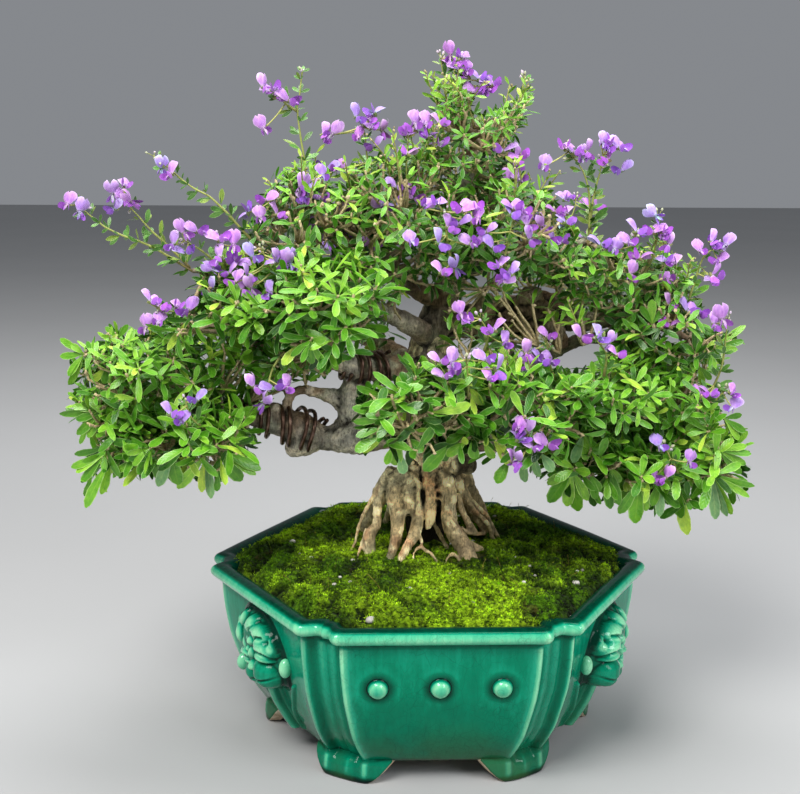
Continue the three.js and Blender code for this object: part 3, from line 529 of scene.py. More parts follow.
# feet: one bracket under each corner, its blunt end swept round from arm to arm
outer_a = lambda z: np.interp(z, OUTER[:, 0], OUTER[:, 1])
UF = np.concatenate([np.linspace(-25.3, -14.5, 13), np.linspace(-13.6, 13.6, 31), np.linspace(14.5, 25.3, 13)])
FOOT_A = {4: (100.2, 97.6), 5: (97.4, 98.6)}
GZ = [(0, 1.0), (5, 1.0), (8, 0.96), (11, 0.78), (13.2, 0.42), (14.6, 0.06), (15.6, -0.06)]
for c in range(6):
    th = c * math.pi / 3
    V, cvs, bare = [], [], []
    alo, ahi = FOOT_A.get(c, (98.0, 98.0))
    for u in UF:
        au = abs(u)
        start = 15.2 if (c == 4 and u < 0) else 12.6
        q = np.clip((au - start) / (25.2 - start), 0, 1)
        zb = 13.3 * q ** 1.55
        top = 15.7
        zs = np.concatenate([top - (top - zb - 1.3) * np.linspace(0, 1, 10), [zb + 0.5, zb + 0.06]])
        body = float(corner_v(95.7, np.array([u]), 0.0, c, 1.0)[0])
        ln, ch = line(alo if u < 0 else ahi, u), 106.2
        foot = -1.7 * math.log(math.exp(-(ch - 104) / 1.7) + math.exp(-(ln - 104) / 1.7)) + 104
        rib = 0.75 * math.exp(-((au - start + 1.2) / 2.0) ** 2) + 0.30 * math.exp(-(au / 2.0) ** 2) - 0.45 * math.exp(-((au - 5.8) / 3.0) ** 2)
        foot += rib * smooth(1.0, 7.0, zs)
        g = np.interp(zs, *zip(*GZ))
        v = body + (foot - body) * g - 0.55 * np.exp(-((zs - 14.7) / 0.7) ** 2)
        v[-2] -= 0.45
        v[-1] -= 1.25
        T = 9.5 - 2.5 * q
        vi = v[5] - T
        loop_v = np.concatenate([v, [vi + 0.8, vi, vi - 0.3, vi - 1.5]])
        loop_z = np.concatenate([zs, [zb, zb + 0.7, (zb + top) / 2, top]])
        V.append(np.column_stack([loop_v * math.cos(th) - u * math.sin(th), loop_v * math.sin(th) + u * math.cos(th), loop_z]))
        # painted highlights down the foot's ridges, painted shade in the crease at its top, and darker towards the
        # bottom
        ridge = 1.0 * math.exp(-((au - start + 1.0) / 1.7) ** 2) + 0.40 * math.exp(-(au / 1.6) ** 2)
        cv = ridge * smooth(2.0, 6.5, loop_z) * smooth(14.8, 12.6, loop_z) + 0.12 - 0.55 * np.exp(-((loop_z - 14.8) / 0.8) ** 2) - 1.0 * smooth(5.2, 1.6, loop_z) * (1 - smooth(0.1, 0.75, q))
        cvs.append(np.clip(cv, -1, 1))
        b = np.zeros(len(loop_z))
        b[11:14] = 1.0
        b[11] = 1.0 if q > 0.02 else 0.0
        b[13:] = 0.3
        bare.append(b)
    L = len(V[0])
    V = np.vstack(V)
    q4 = grid_quads(len(UF), L, close_cols=True, flip=True)
    ends = []
    for o in (0, (len(UF) - 1) * L):
        ends += [[o, o + k, o + k + 1] if o == 0 else [o, o + k + 1, o + k] for k in range(1, L - 1)]
    bag.add(V, quad=q4, tri=np.array(ends), cav=np.concatenate(cvs), bare=np.concatenate(bare))


# faces: local frame of face k (0 = front), x to the right seen from outside, n outwards
def face_axes(k):
    ang = math.radians(-90 + 60 * k)
    n = np.array([math.cos(ang), math.sin(ang), 0])
    x = np.array([-n[1], n[0], 0])
    return x, n


def face_point(k, x, z, h):
    ax, n = face_axes(k)
    a = np.interp(z, OUTER[:, 0], OUTER[:, 1])
    slope = (np.interp(z + 1, OUTER[:, 0], OUTER[:, 1]) - np.interp(z - 1, OUTER[:, 0], OUTER[:, 1])) / 2
    nz = -slope / np.sqrt(1 + slope ** 2)
    nr = 1 / np.sqrt(1 + slope ** 2)
    P = n[None, :] * (a + h * nr)[:, None] + ax[None, :] * np.asarray(x)[:, None]
    P[:, 2] = z + h * nz
    return P


# studs
prof = np.array([[0.0, 5.2], [1.2, 5.08], [2.4, 4.72], [3.5, 4.1], [4.4, 3.3], [5.1, 2.3], [5.6, 1.2], [5.9, 0.5], [6.3, 0.1], [6.9, -0.15], [7.3, -1.2]])
STUDS = []
for k in (0, 2, 4):
    for i in (-1, 0, 1):
        ns = 40
        a = np.arange(ns) * 2 * math.pi / ns
        X, Z, H, CV = [], [], [], []
        for r, h in prof[1:]:
            X.append(i * 34.7 + (0.4 * i) + r * np.cos(a))
            Z.append(69.4 + r * np.sin(a))
            H.append(np.full(ns, h))
            # the stud's shoulder is painted pale as a highlight, darker where it meets the wall
            CV.append(np.full(ns, float(np.interp(r, [0, 2.5, 4.2, 5.2, 5.8, 6.4], [0.42, 0.60, 0.95, 0.6, -0.3, -0.8]))))
        X, Z, H, CV = [np.concatenate(q) for q in (X, Z, H, CV)]
        V = face_point(k, X, Z, H)
        V = np.vstack([V, face_point(k, [i * 34.7 + 0.4 * i], np.array([69.4]), np.array([5.2]))])
        STUDS.append(face_point(k, [i * 34.7 + 0.4 * i], np.array([69.4]), np.array([0.0]))[0])
        m = len(prof) - 1
        q4 = grid_quads(m, ns, close_cols=True, flip=True)
        t3 = [[m * ns, j, (j + 1) % ns] for j in range(ns)]
        bag.add(V, quad=q4, tri=np.array(t3), cav=np.append(CV, 0.42), bare=np.zeros(len(V)))


# lion masks: a height field made of strokes and domes
def stroke(U, Z, pts, w, h, flat=0.5, w1=None):
    best = np.zeros_like(U)
    pts = np.asarray(pts, float)
    cur, _ = catmull(pts, 6)
    n = len(cur)
    for i in range(n - 1):
        a, b = cur[i], cur[i + 1]
        d = b - a
        L2 = max(d @ d, 1e-9)
        t = np.clip(((U - a[0]) * d[0] + (Z - a[1]) * d[1]) / L2, 0, 1)
        ww = w + ((w1 if w1 is not None else w) - w) * (i + t) / (n - 1)
        dist = np.hypot(U - a[0] - t * d[0], Z - a[1] - t * d[1]) / ww
        best = np.maximum(best, np.clip(1 - dist ** 2, 0, 1) ** flat)
    return best * h


def dome(U, Z, c, r, h, rot=0.0, flat=0.5):
    co, si = math.cos(rot), math.sin(rot)
    x, y = (U - c[0]) * co + (Z - c[1]) * si, -(U - c[0]) * si + (Z - c[1]) * co
    return h * np.clip(1 - (x / r[0]) ** 2 - (y / r[1]) ** 2, 0, 1) ** flat


def blur(H, k):
    w = np.exp(-np.linspace(-2, 2, 2 * k + 1) ** 2)
    w /= w.sum()
    A = np.pad(H, ((k, k), (0, 0)), mode="edge")
    A = sum(w[i] * A[i:i + H.shape[0]] for i in range(2 * k + 1))
    A = np.pad(A, ((0, 0), (k, k)), mode="edge")
    return sum(w[i] * A[:, i:i + H.shape[1]] for i in range(2 * k + 1))


MU = np.linspace(-39.5, 39.5, 141)
MZ = np.linspace(15.0, 94.6, 141)
U, Z = np.meshgrid(MU, MZ)
# outline of the whole head, u towards the front corner
HEAD = np.array([(-27, 55), (-27.5, 66), (-26, 77), (-22, 86), (-16, 91.3), (-8, 93.4), (0, 93.4), (8, 91.6), (15, 88), (20.5, 83), (24.5, 77), (26.5, 70), (26.5, 62), (24, 54.5), (18, 49.5), (9, 47.5), (0, 46.5), (-10, 44.8), (-20, 47.5)])


def poly_sd(U, Z, poly):
    """distance inside a closed outline, negative outside"""
    d = np.full(U.shape, 1e9)
    c = np.zeros(U.shape, bool)
    for i in range(len(poly)):
        a, b = poly[i - 1], poly[i]
        ab = b - a
        t = np.clip(((U - a[0]) * ab[0] + (Z - a[1]) * ab[1]) / (ab @ ab), 0, 1)
        d = np.minimum(d, np.hypot(U - a[0] - t * ab[0], Z - a[1] - t * ab[1]))
        hit = ((a[1] > Z) != (b[1] > Z)) & (U < (b[0] - a[0]) * (Z - a[1]) / ((b[1] - a[1]) if b[1] != a[1] else 1e-9) + a[0])
        c ^= hit
    return np.where(c, d, -d)


head, _ = catmull(np.vstack([HEAD, HEAD[:1]]), 5)
sd = poly_sd(U, Z, head[:-1])
plate = 2.2 * smooth(-0.2, 3.0, sd) + 4.6 * smooth(0.0, 15.0, sd)
rimline = 1.5 * np.exp(-((sd + 0.6) / 1.0) ** 2) * smooth(46, 56, Z)
def cut(q, pts, w, depth):
    return q * (1 - depth * stroke(U, Z, pts, w, 1.0, 1.0))


parts = [
    cut(dome(U, Z, (7.6, 83.4), (11.6, 5.8), 8.8, -0.06, 0.5), [(5.5, 78.0), (7.5, 82.0), (13.0, 83.2)], 1.3, 0.22),        # near curl
    cut(dome(U, Z, (-4.2, 85.4), (9.2, 5.8), 8.0, 0.62, 0.5), [(-3.5, 80.2), (-2.0, 84.0), (1.6, 86.4)], 1.2, 0.22),         # middle curl
    dome(U, Z, (-15.4, 85.4), (3.9, 7.6), 6.8, -0.5, 0.5),
    dome(U, Z, (-22.6, 82.6), (2.6, 5.0), 5.4, -0.35, 0.5),
    dome(U, Z, (-13.6, 70.8), (3.3, 6.6), 7.2, 0.12, 0.5),
    dome(U, Z, (-22.2, 73.6), (4.9, 8.2), 8.0, 0.10, 0.5),
    dome(U, Z, (-7.8, 69.6), (2.9, 3.2), 8.2, 0.0, 0.5),
    dome(U, Z, (-7.0, 75.8), (2.6, 3.2), 6.4, 0.0, 0.5),
    dome(U, Z, (20.4, 80.2), (3.0, 5.6), 6.2, 0.45, 0.5),
    cut(dome(U, Z, (12.6, 76.2), (11.8, 6.0), 10.6, -0.12, 0.5), [(4.0, 72.6), (9.5, 75.2), (17, 75.2), (23, 71.4)], 1.5, 0.22),   # near brow over the eye
    dome(U, Z, (12.4, 71.4), (10.2, 2.6), 10.0, -0.10, 0.5),
    cut(dome(U, Z, (-14.4, 64.2), (9.0, 4.2), 8.8, 0.06, 0.5), [(-22.0, 61.2), (-14, 63.8), (-6, 62.0)], 1.2, 0.22),                 # far brow
    dome(U, Z, (-13.4, 60.0), (7.4, 2.3), 8.0, 0.05, 0.5),
    # forehead, bridge and tip of the nose
    dome(U, Z, (-0.8, 77.4), (4.2, 3.4), 9.4, 0.0, 0.5),
    dome(U, Z, (-1.4, 69.6), (3.3, 5.2), 9.8, 0.0, 0.5),
    dome(U, Z, (-1.2, 62.2), (5.4, 3.8), 11.4, 0.0, 0.5),
]
jowl_r = dome(U, Z, (10.8, 60.6), (12.4, 10.4), 12.8, 0.06, 0.45)
jowl_r = jowl_r * (1 - 0.13 * stroke(U, Z, [(0, 61.2), (8.7, 59.0), (23, 61.6)], 0.9, 1.0, 1.0) - 0.08 * stroke(U, Z, [(1, 55.0), (10, 53.2), (21, 55)], 0.8, 1.0, 1.0))
jowl_l = dome(U, Z, (-10.6, 52.6), (10.4, 8.0), 10.4, -0.14, 0.45)
jowl_l = jowl_l * (1 - 0.12 * stroke(U, Z, [(-20, 54), (-11, 51.4), (-2, 53)], 0.9, 1.0, 1.0))
knobs = [dome(U, Z, (28.8, 68.2), (3.0, 5.0), 3.4, -0.10, 0.5), dome(U, Z, (-29.6, 51.6), (3.2, 4.6), 4.6, 0.10, 0.5)]
tops = np.max([smooth(0.46, 0.97, q / q.max()) for q in parts], 0)
beads = np.max([smooth(0.30, 0.95, q / q.max()) for q in knobs], 0)
# beard strap with a pale middle roll, and curved ribs beside it
mid_u = np.interp(Z, [16, 30, 38, 47], [5.2, 3.0, 0.6, -0.6])
uc = U - mid_u
strap = np.clip(1 - (np.abs(uc) / 5.0) ** 2.4, 0, 1) ** 0.6 * (5.2 * smooth(15.6, 19.5, Z)) * smooth(54, 50, Z)
base_s = np.clip(1 - (np.abs(uc) / 10.5) ** 6, 0, 1) * 1.7 * smooth(15.6, 19.5, Z) * smooth(50, 46, Z)
side = (stroke(U, Z, [(30.5, 56), (26.5, 50), (23, 44), (15.5, 31), (12.5, 19)], 1.25, 1.7) + stroke(U, Z, [(-25.5, 49), (-21.5, 43), (-17, 34), (-10.5, 24), (-7, 17)], 1.25, 1.7))
H = plate + rimline
lobes = sum(q ** 3.2 for q in parts) ** (1 / 3.2)
H = np.maximum(H, (H ** 3 * 0.2 + lobes ** 3) ** (1 / 3))
for q in [jowl_l, jowl_r, strap] + knobs:
    H = np.maximum(H, q)
H = np.maximum(np.maximum(H, side), base_s)
H = 0.35 * H + 0.65 * blur(H, 1)
lift = H - blur(H, 4)
# pale lobe tops, partly the glaze's paler tint and partly painted sheen; the low plate and grooves are painted darker
# as shade
inner = -0.20 + 0.98 * tops * smooth(3.0, 5.0, H) + 0.60 * np.clip(lift / 0.55, -1.0, 0.30) - 0.36 * smooth(4.4, 2.2, H)
inner = inner + 0.20 * smooth(4.0, 11.0, np.maximum(jowl_r, jowl_l)) + 0.45 * smooth(3.0, 4.6, strap)
outer = 0.70 * np.clip((H - blur(H, 13)) / 3.0, -0.75, 0.9) + 0.50 * smooth(2.4, 4.6, strap)
# a dark band just outside the head's upper near side is painted shade
cavm = outer + (inner - outer) * smooth(-2.6, -0.6, sd) - 1.05 * np.exp(-((sd + 1.0) / 1.9) ** 2) * smooth(49, 56, Z) * smooth(-30, -20, U)
edge_fade = smooth(0, 3, MU - MU[0])[None, :] * smooth(0, 3, MU[-1] - MU)[None, :] * smooth(0, 2.2, Z - MZ[0]) * smooth(0, 2.2, MZ[-1] - Z)
H = H * edge_fade - 0.3 * (1 - smooth(0.0, 0.5, np.minimum(edge_fade, 1)))
keep = (H > 0.03)
keep2 = blur(keep.astype(float), 2) > 0.02
for k, flip in ((1, -1.0), (5, 1.0), (3, 1.0)):
    # x runs to the right seen from outside; the half nearer to the viewer leads
    # the hidden mask is a little coarser; the right one stands out more
    st = 2 if k == 3 else 1
    Hk = H[::st, ::st] * (1.22 if k == 1 else 1.10) + (3.2 if k == 1 else 0.8) * smooth(0.5, 9.0, sd[::st, ::st])
    keepk = keep2[::st, ::st]
    V = face_point(k, (flip * U[::st, ::st]).ravel(), Z[::st, ::st].ravel(), np.where(keepk, np.maximum(Hk, 0.02) + 0.03 * keepk, -0.5).ravel())
    q4 = grid_quads(keepk.shape[0], keepk.shape[1], flip=(flip < 0))
    used = keepk.ravel()[q4].any(1)
    q4 = q4[used]
    ids = np.unique(q4)
    remap = np.full(len(V), -1)
    remap[ids] = np.arange(len(ids))
    bag.add(V[ids], quad=remap[q4], cav=np.clip(cavm[::st, ::st], -1, 1).ravel()[ids], bare=np.zeros(len(ids)))
    # the round beads beside the head
    ax, nn = face_axes(k)
    th, ph = np.meshgrid(np.arange(20) * 2 * math.pi / 20, np.linspace(0.10, math.pi - 0.10, 13))
    S = np.stack([np.sin(ph) * np.cos(th), np.sin(ph) * np.sin(th), np.cos(ph)], -1).reshape(-1, 3)
    for bu, bz, bh, br in ((28.8, 68.2, 2.4, (3.6, 3.9, 6.0)), (-30.6, 51.2, 6.4 if k == 1 else 5.2, (3.9, 4.8, 5.6))):
        c = face_point(k, np.array([flip * bu]), np.array([bz]), np.array([bh]))[0]
        V = c + ax * (S[:, :1] * br[0]) + nn * (S[:, 1:2] * br[1]) + np.array([0, 0, 1.0]) * (S[:, 2:] * br[2])
        q4 = grid_quads(13, 20, close_cols=True)
        caps = [[0, (j + 1) % 20, j] for j in range(1, 19)] + [[240, 240 + j, 240 + (j + 1) % 20] for j in range(1, 19)]
        # painted light on each bead: paler on its outer face and on top
        bag.add(V, tri=np.array(caps), quad=q4, cav=np.clip(0.62 + 0.40 * S[:, 1] + 0.10 * S[:, 2], -1, 1), bare=np.zeros(len(V)))


def glaze_material():
    m = Mat("glaze")
    cav = m.attr("cav", "Fac")
    bare = m.attr("bare", "Fac")
    z = m.sep(m.pos)[2]
    streaks = m.noise(1.0, 5, 0.6, m.scaled((230, 230, 20)))
    soft = m.noise(16, 3, 0.5)
    fine = m.noise(300, 3, 0.6)
    # a darker ring round the foot of each stud, and a faint paler ring beyond it
    near = None
    for c in STUDS:
        d = m.vmath("DISTANCE", m.pos, tuple(float(x) for x in world(c)))
        near = d if near is None else m.math("MINIMUM", near, d)
    stud_dark_ring = m.math("MULTIPLY", m.maprange(near, 0.0056, 0.0064, 0.0, 1.0), m.maprange(near, 0.0072, 0.0105, 1.0, 0.0))
    ringl = m.math("MULTIPLY", m.maprange(near, 0.0095, 0.0115, 0.0, 1.0), m.maprange(near, 0.0120, 0.0160, 1.0, 0.0))
    # cav brings the painted highlight and shade of the relief into the glaze colour
    v = m.math("MULTIPLY_ADD", m.math("SUBTRACT", streaks, 0.5), 0.26, m.math("MULTIPLY_ADD", cav, 0.46, 0.50))
    v = m.math("MULTIPLY_ADD", m.math("SUBTRACT", soft, 0.5), 0.22, v)
    v = m.math("MULTIPLY_ADD", m.math("SUBTRACT", fine, 0.5), 0.07, v)
    # darker towards the bottom and lighter near the top: partly the glaze's colour, partly painted light from above and
    # painted shade low down
    v = m.math("SUBTRACT", v, m.maprange(z, 0.060, 0.012, 0.0, 0.13))
    v = m.math("ADD", v, m.maprange(z, 0.070, 0.094, 0.0, 0.07))
    v = m.math("SUBTRACT", v, m.math("MULTIPLY", stud_dark_ring, 0.27))
    v = m.math("MULTIPLY_ADD", ringl, 0.05, v)
    col = m.ramp(v, [(0.00, (0.0004, 0.010, 0.008)), (0.20, (0.0006, 0.060, 0.032)), (0.38, (0.0008, 0.150, 0.080)), (0.52, (0.0006, 0.200, 0.105)),
                     (0.66, (0.006, 0.33, 0.19)), (0.84, (0.10, 0.53, 0.29)), (1.0, (0.29, 0.73, 0.42))])
    # painted reflection: an olive tint low down, in patches, as from a brown table below
    low = m.math("MULTIPLY", m.maprange(z, 0.050, 0.014, 0.0, 0.55), m.maprange(m.noise(26, 3, 0.5), 0.42, 0.62))
    col = m.mix(low, col, (0.035, 0.105, 0.030, 1))
    # fine crackle
    w = m.vmath("ADD", m.scaled((1, 1, 0.52)), m.vmath("SCALE", m.noise(60, 2, 0.5, out="Color")))
    w.node.inputs[0].default_value = (0, 0, 0)
    sc = w.node.inputs[1].links[0].from_node
    sc.inputs["Scale"].default_value = 0.004
    cr = m.voronoi(340, "DISTANCE_TO_EDGE", w)
    cr2 = m.voronoi(120, "DISTANCE_TO_EDGE", w)
    line1 = m.math("MULTIPLY", m.maprange(cr, 0.0, 0.045, 1.0, 0.0), m.maprange(m.noise(34, 2, 0.5), 0.44, 0.60, 0.05, 0.34))
    line2 = m.maprange(cr2, 0.0, 0.014, 0.30, 0.0)
    lines = m.math("MAXIMUM", line1, line2)
    col = m.mix(lines, col, (0.001, 0.022, 0.016, 1))
    # unglazed clay
    clay = m.ramp(m.noise(240, 4, 0.6), [(0.3, (0.36, 0.25, 0.15)), (0.55, (0.62, 0.50, 0.35)), (0.75, (0.74, 0.66, 0.52))])
    col = m.mix(m.math("GREATER_THAN", bare, 0.5), col, clay)
    rough = m.math("MULTIPLY_ADD", m.math("SUBTRACT", soft, 0.5), 0.08, m.math("MULTIPLY_ADD", m.math("GREATER_THAN", bare, 0.5), 0.6, 0.10))
    h = m.math("MULTIPLY_ADD", m.noise(42, 2, 0.4), 1.0, m.math("MULTIPLY", lines, -0.02))
    h = m.math("MULTIPLY_ADD", m.noise(1.0, 3, 0.5, m.scaled((150, 150, 30))), 0.35, h)
    m.set(color=col, rough=rough, ior=1.33, spec=0.22, coat=m.math("MULTIPLY", m.maprange(cav, 0.05, 0.55, 0.0, 0.75), m.math("LESS_THAN", bare, 0.5)), coat_rough=0.09, normal=m.bump(h, 0.16, 0.0015))
    return m.m


pot_ob = bag.make("pot_glazed", [glaze_material()])
POT_TRIS = bag.tris()
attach(pot_ob, "root")
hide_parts("pot")


# ------------------------------------------------------------------ soil and screen keep their CAD shape, with earth and mesh finishes
def soil_material():
    m = Mat("soil")
    g = m.voronoi(420, "F1", out="Distance")
    col = m.ramp(m.noise(120, 5, 0.65), [(0.25, (0.020, 0.012, 0.007)), (0.5, (0.075, 0.045, 0.026)), (0.75, (0.17, 0.12, 0.075))])
    m.set(color=col, rough=0.95, normal=m.bump(g, 0.6, 0.0015))
    return m.m


def screen_material():
    m = Mat("mesh")
    col = m.ramp(m.noise(180, 3, 0.5), [(0.3, (0.012, 0.013, 0.013)), (0.7, (0.035, 0.036, 0.036))])
    m.set(color=col, rough=m.maprange(m.noise(90, 2, 0.5), 0.3, 0.7, 0.45, 0.7), normal=m.bump(m.noise(900, 2, 0.5), 0.15, 0.0004))
    return m.m


for name, mat in (("soil", soil_material()), ("drain_screen", screen_material())):
    NODES[name].data.materials.clear()
    NODES[name].data.materials.append(mat)

# ------------------------------------------------------------------ moss
TREE_FOOT = [(-1, 8, 24), (-30, -5, 9), (-22, -22, 9), (27, -20, 10), (-45, 12, 6), (42, 8, 6), (48, 22, 5), (-24, 55, 6), (32, 55, 6)]


def hex_level(xy):
    a = np.zeros(len(xy))
    for k in range(6):
        ang = math.radians(30 + 60 * k)
        a = np.maximum(a, xy[:, 0] * math.cos(ang) + xy[:, 1] * math.sin(ang))
    return a


MOSS_A = np.array([0, 30, 60, 85, 98, 106, 110, 113.4])
MOSS_Z = np.array([113.4, 113.0, 112.2, 110.6, 108.6, 106.4, 104.6, 101.8])


def moss_height(xy):
    a = hex_level(xy)
    z = np.interp(a, MOSS_A, MOSS_Z)
    q = np.column_stack([xy, np.zeros(len(xy))])
    warp = np.column_stack([vnoise(q / 9.0, 31), vnoise(q / 9.0, 32)]) * 2.2
    d1, d2, c1 = worley((xy + warp) / 15.0, 41)
    e1, e2, c2 = worley((xy + warp) / 6.2, 43)
    g1, g2, c3 = worley((xy + 0.4 * warp) / 2.7, 45)
    big = np.clip(1 - (d1 / 0.72) ** 2, 0, 1)
    mid = np.clip(1 - (e1 / 0.70) ** 2, 0, 1)
    small = np.clip(1 - (g1 / 0.72) ** 2, 0, 1)
    lump = 3.4 * big + 2.3 * mid + 1.0 * small + 1.3 * fbm(q / 22.0, 2, 51)
    edge = smooth(113.6, 108, a)
    h = z - 3.0 + lump * (0.35 + 0.65 * edge)
    # tone: painted light on the lump tops, painted shade in the gaps between them
    tone = 0.45 * big + 0.35 * mid + 0.25 * small - 0.35
    return h, tone, c1


def make_moss():
    n = 96
    pts = []
    for r in range(-n, n + 1):
        c = np.arange(max(-n, -r - n), min(n, -r + n) + 1)
        pts.append(np.column_stack([c, np.full(len(c), r)]))
    ax = np.vstack(pts)
    index = {(int(q), int(r)): i for i, (q, r) in enumerate(ax)}
    side = 2 * 113.0 / math.sqrt(3)
    # axial hex lattice with corners on the x axis
    x = (ax[:, 0] + ax[:, 1] / 2.0) / n * side
    y = ax[:, 1] * math.sqrt(3) / 2.0 / n * side
    xy = np.column_stack([x, y])
    # pull the outline in at the notched corners of the lip
    th = np.arctan2(y, x)
    rad = np.hypot(x, y)
    near = np.abs((np.degrees(th) + 30) % 60 - 30) * math.pi / 180 * rad
    shrink = 1 - 0.055 * (1 - smooth(3.0, 14.0, near)) * smooth(60, 125, rad)
    xy = xy * shrink[:, None]
    xy = xy + np.column_stack([vnoise(np.column_stack([xy * 0.9, x * 0]), 61), vnoise(np.column_stack([xy * 0.9, x * 0]), 62)]) * 0.28 * smooth(0, 4, 113 - hex_level(xy))[:, None]
    h, tone, cid = moss_height(xy)
    q3 = np.column_stack([xy, h])
    h = h + 0.42 * fbm(q3 * 0.9, 3, 71)
    # a drawn-down edge all round, inside the lip
    rim = np.max(np.abs(np.column_stack([ax[:, 0], ax[:, 1], ax.sum(1)])), axis=1)
    h = np.where(rim == n, 99.0, h)
    tri = []
    for i, (q, r) in enumerate(ax):
        a, b, c = index.get((q + 1, r)), index.get((q, r + 1)), index.get((q + 1, r - 1))
        if a is not None and b is not None:
            tri.append((i, a, b))
        if a is not None and c is not None:
            tri.append((i, c, a))
    V = np.column_stack([xy, h])
    # close it underneath so the cushion is a solid
    base = len(V)
    ring = []
    for k in range(6):
        dirs = [(-1, 1), (-1, 0), (0, -1), (1, -1), (1, 0), (0, 1)]
    q, r = n, 0
    for d in [(-1, 1), (-1, 0), (0, -1), (1, -1), (1, 0), (0, 1)]:
        for _ in range(n):
            ring.append(index[(q, r)])
            q, r = q + d[0], r + d[1]
    ring = np.array(ring)
    V = np.vstack([V, [[0, 0, 98.6]]])
    low = [(base, ring[(i + 1) % len(ring)], ring[i]) for i in range(len(ring))]
    big = fbm(np.column_stack([xy / 34.0, np.zeros(len(xy))]), 3, 81)
    lime = np.clip(0.46 + 1.9 * big + 0.25 * tone + 0.28 * (cid - 0.5), 0, 1)
    dark, mid_c, lim = np.array([0.004, 0.011, 0.001]), np.array([0.066, 0.165, 0.005]), np.array([0.29, 0.48, 0.016])
    # the colour follows tone, so lump tops are painted lit and the gaps painted shaded
    f = np.clip(tone * 1.55 + 0.12, 0, 1)[:, None]
    top = mid_c + (lim - mid_c) * lime[:, None]
    col = dark + (top - dark) * f
    patch = fbm(np.column_stack([xy / 15.0, np.full(len(xy), 3.0)]), 3, 83)
    col = col * (1 - 0.62 * smooth(-0.02, -0.22, patch) * smooth(2.0, -1.5, lime * 2 - 1))[:, None]
    col = np.vstack([col, [[0.02, 0.03, 0.01]]])
    b = Bag()
    b.add(V, tri=np.array(tri + low), col=col)
    # star tufts
    rng = np.random.default_rng(11)
    m = 8000
    pos = []
    while len(pos) < m:
        p = rng.uniform(-128, 128, (m * 2, 2))
        p = p[(hex_level(p) < 110.5)]
        hh, tt, cc = moss_height(p)
        ok = rng.random(len(p)) < np.clip(0.18 + 1.2 * (tt + 0.2), 0.05, 1)
        near = np.zeros(len(p), bool)
        for fx, fy, fr in TREE_FOOT:
            near |= np.hypot(p[:, 0] - fx, p[:, 1] - fy) < fr * 0.8
        # most tufts where they are seen best
        far = rng.random(len(p)) < np.clip(1.05 - (p[:, 1] + 60) / 260.0, 0.25, 1)
        ok &= ~near & far
        pos += list(np.column_stack([p, hh])[ok])
    pos = np.array(pos[:m])
    eps = 0.8
    gx = (moss_height(pos[:, :2] + [eps, 0])[0] - moss_height(pos[:, :2] - [eps, 0])[0]) / (2 * eps)
    gy = (moss_height(pos[:, :2] + [0, eps])[0] - moss_height(pos[:, :2] - [0, eps])[0]) / (2 * eps)
    nrm = np.column_stack([-gx, -gy, np.ones(m)])
    nrm /= np.linalg.norm(nrm, axis=1, keepdims=True)
    K = 7
    t1 = np.cross(nrm, [0.3, 1, 0.1])
    t1 /= np.linalg.norm(t1, axis=1, keepdims=True)
    t2 = np.cross(nrm, t1)
    base_a = rng.uniform(0, 6.28, m)
    Vt, Tt, Ct = [], [], []
    big = fbm(np.column_stack([pos[:, :2] / 34.0, np.zeros(m)]), 3, 81)
    _, tone, cid = moss_height(pos[:, :2])
    lime = np.clip(0.46 + 1.9 * big + 0.25 * tone + 0.28 * (cid - 0.5) + rng.normal(0, 0.12, m), 0, 1)
    tc = mid_c * 1.1 + (lim * 1.25 - mid_c) * lime[:, None]
    # tufts are painted darker in the gaps between lumps, as shade
    tc = tc * np.clip(0.42 + 1.7 * tone, 0.14, 1.45)[:, None]
    patch = fbm(np.column_stack([pos[:, :2] / 15.0, np.full(m, 3.0)]), 3, 83)
    tc = tc * (1 - 0.62 * smooth(-0.02, -0.22, patch) * smooth(2.0, -1.5, lime * 2 - 1))[:, None]
    for k in range(K):
        a = base_a + k * 2 * math.pi / K + rng.normal(0, 0.2, m)
        tilt = rng.uniform(0.35, 1.25, m)
        L = rng.uniform(1.5, 2.9, m)
        d = nrm * np.cos(tilt)[:, None] + (t1 * np.cos(a)[:, None] + t2 * np.sin(a)[:, None]) * np.sin(tilt)[:, None]
        w = np.cross(d, nrm)
        w /= np.maximum(np.linalg.norm(w, axis=1, keepdims=True), 1e-6)
        w *= rng.uniform(0.26, 0.42, m)[:, None]
        p0 = pos + nrm * -0.15
        tip = p0 + d * L[:, None] + nrm * 0.25
        mid = p0 + d * (L * 0.45)[:, None] - nrm * 0.05
        i0 = sum(len(x) for x in Vt)
        Vt.append(np.stack([p0 - w * 0.4, mid - w, tip, mid + w, p0 + w * 0.4], 1).reshape(-1, 3))
        o = i0 + np.arange(m) * 5
        Tt.append(np.stack([np.stack([o, o + 1, o + 4], 1), np.stack([o + 1, o + 3, o + 4], 1), np.stack([o + 1, o + 2, o + 3], 1)], 1).reshape(-1, 3)[:, :]
                  if k == 0 and False else np.stack([o + 1, o + 2, o + 3], 1))
        Ct.append(np.repeat(tc * (0.75 + 0.5 * rng.random(m))[:, None], 5, 0))
    Vt = np.vstack(Vt)
    used = np.vstack(Tt)
    ids = np.unique(used)
    remap = np.full(len(Vt), -1)
    remap[ids] = np.arange(len(ids))
    b.add(Vt[ids], tri=remap[used], col=np.vstack(Ct)[ids])
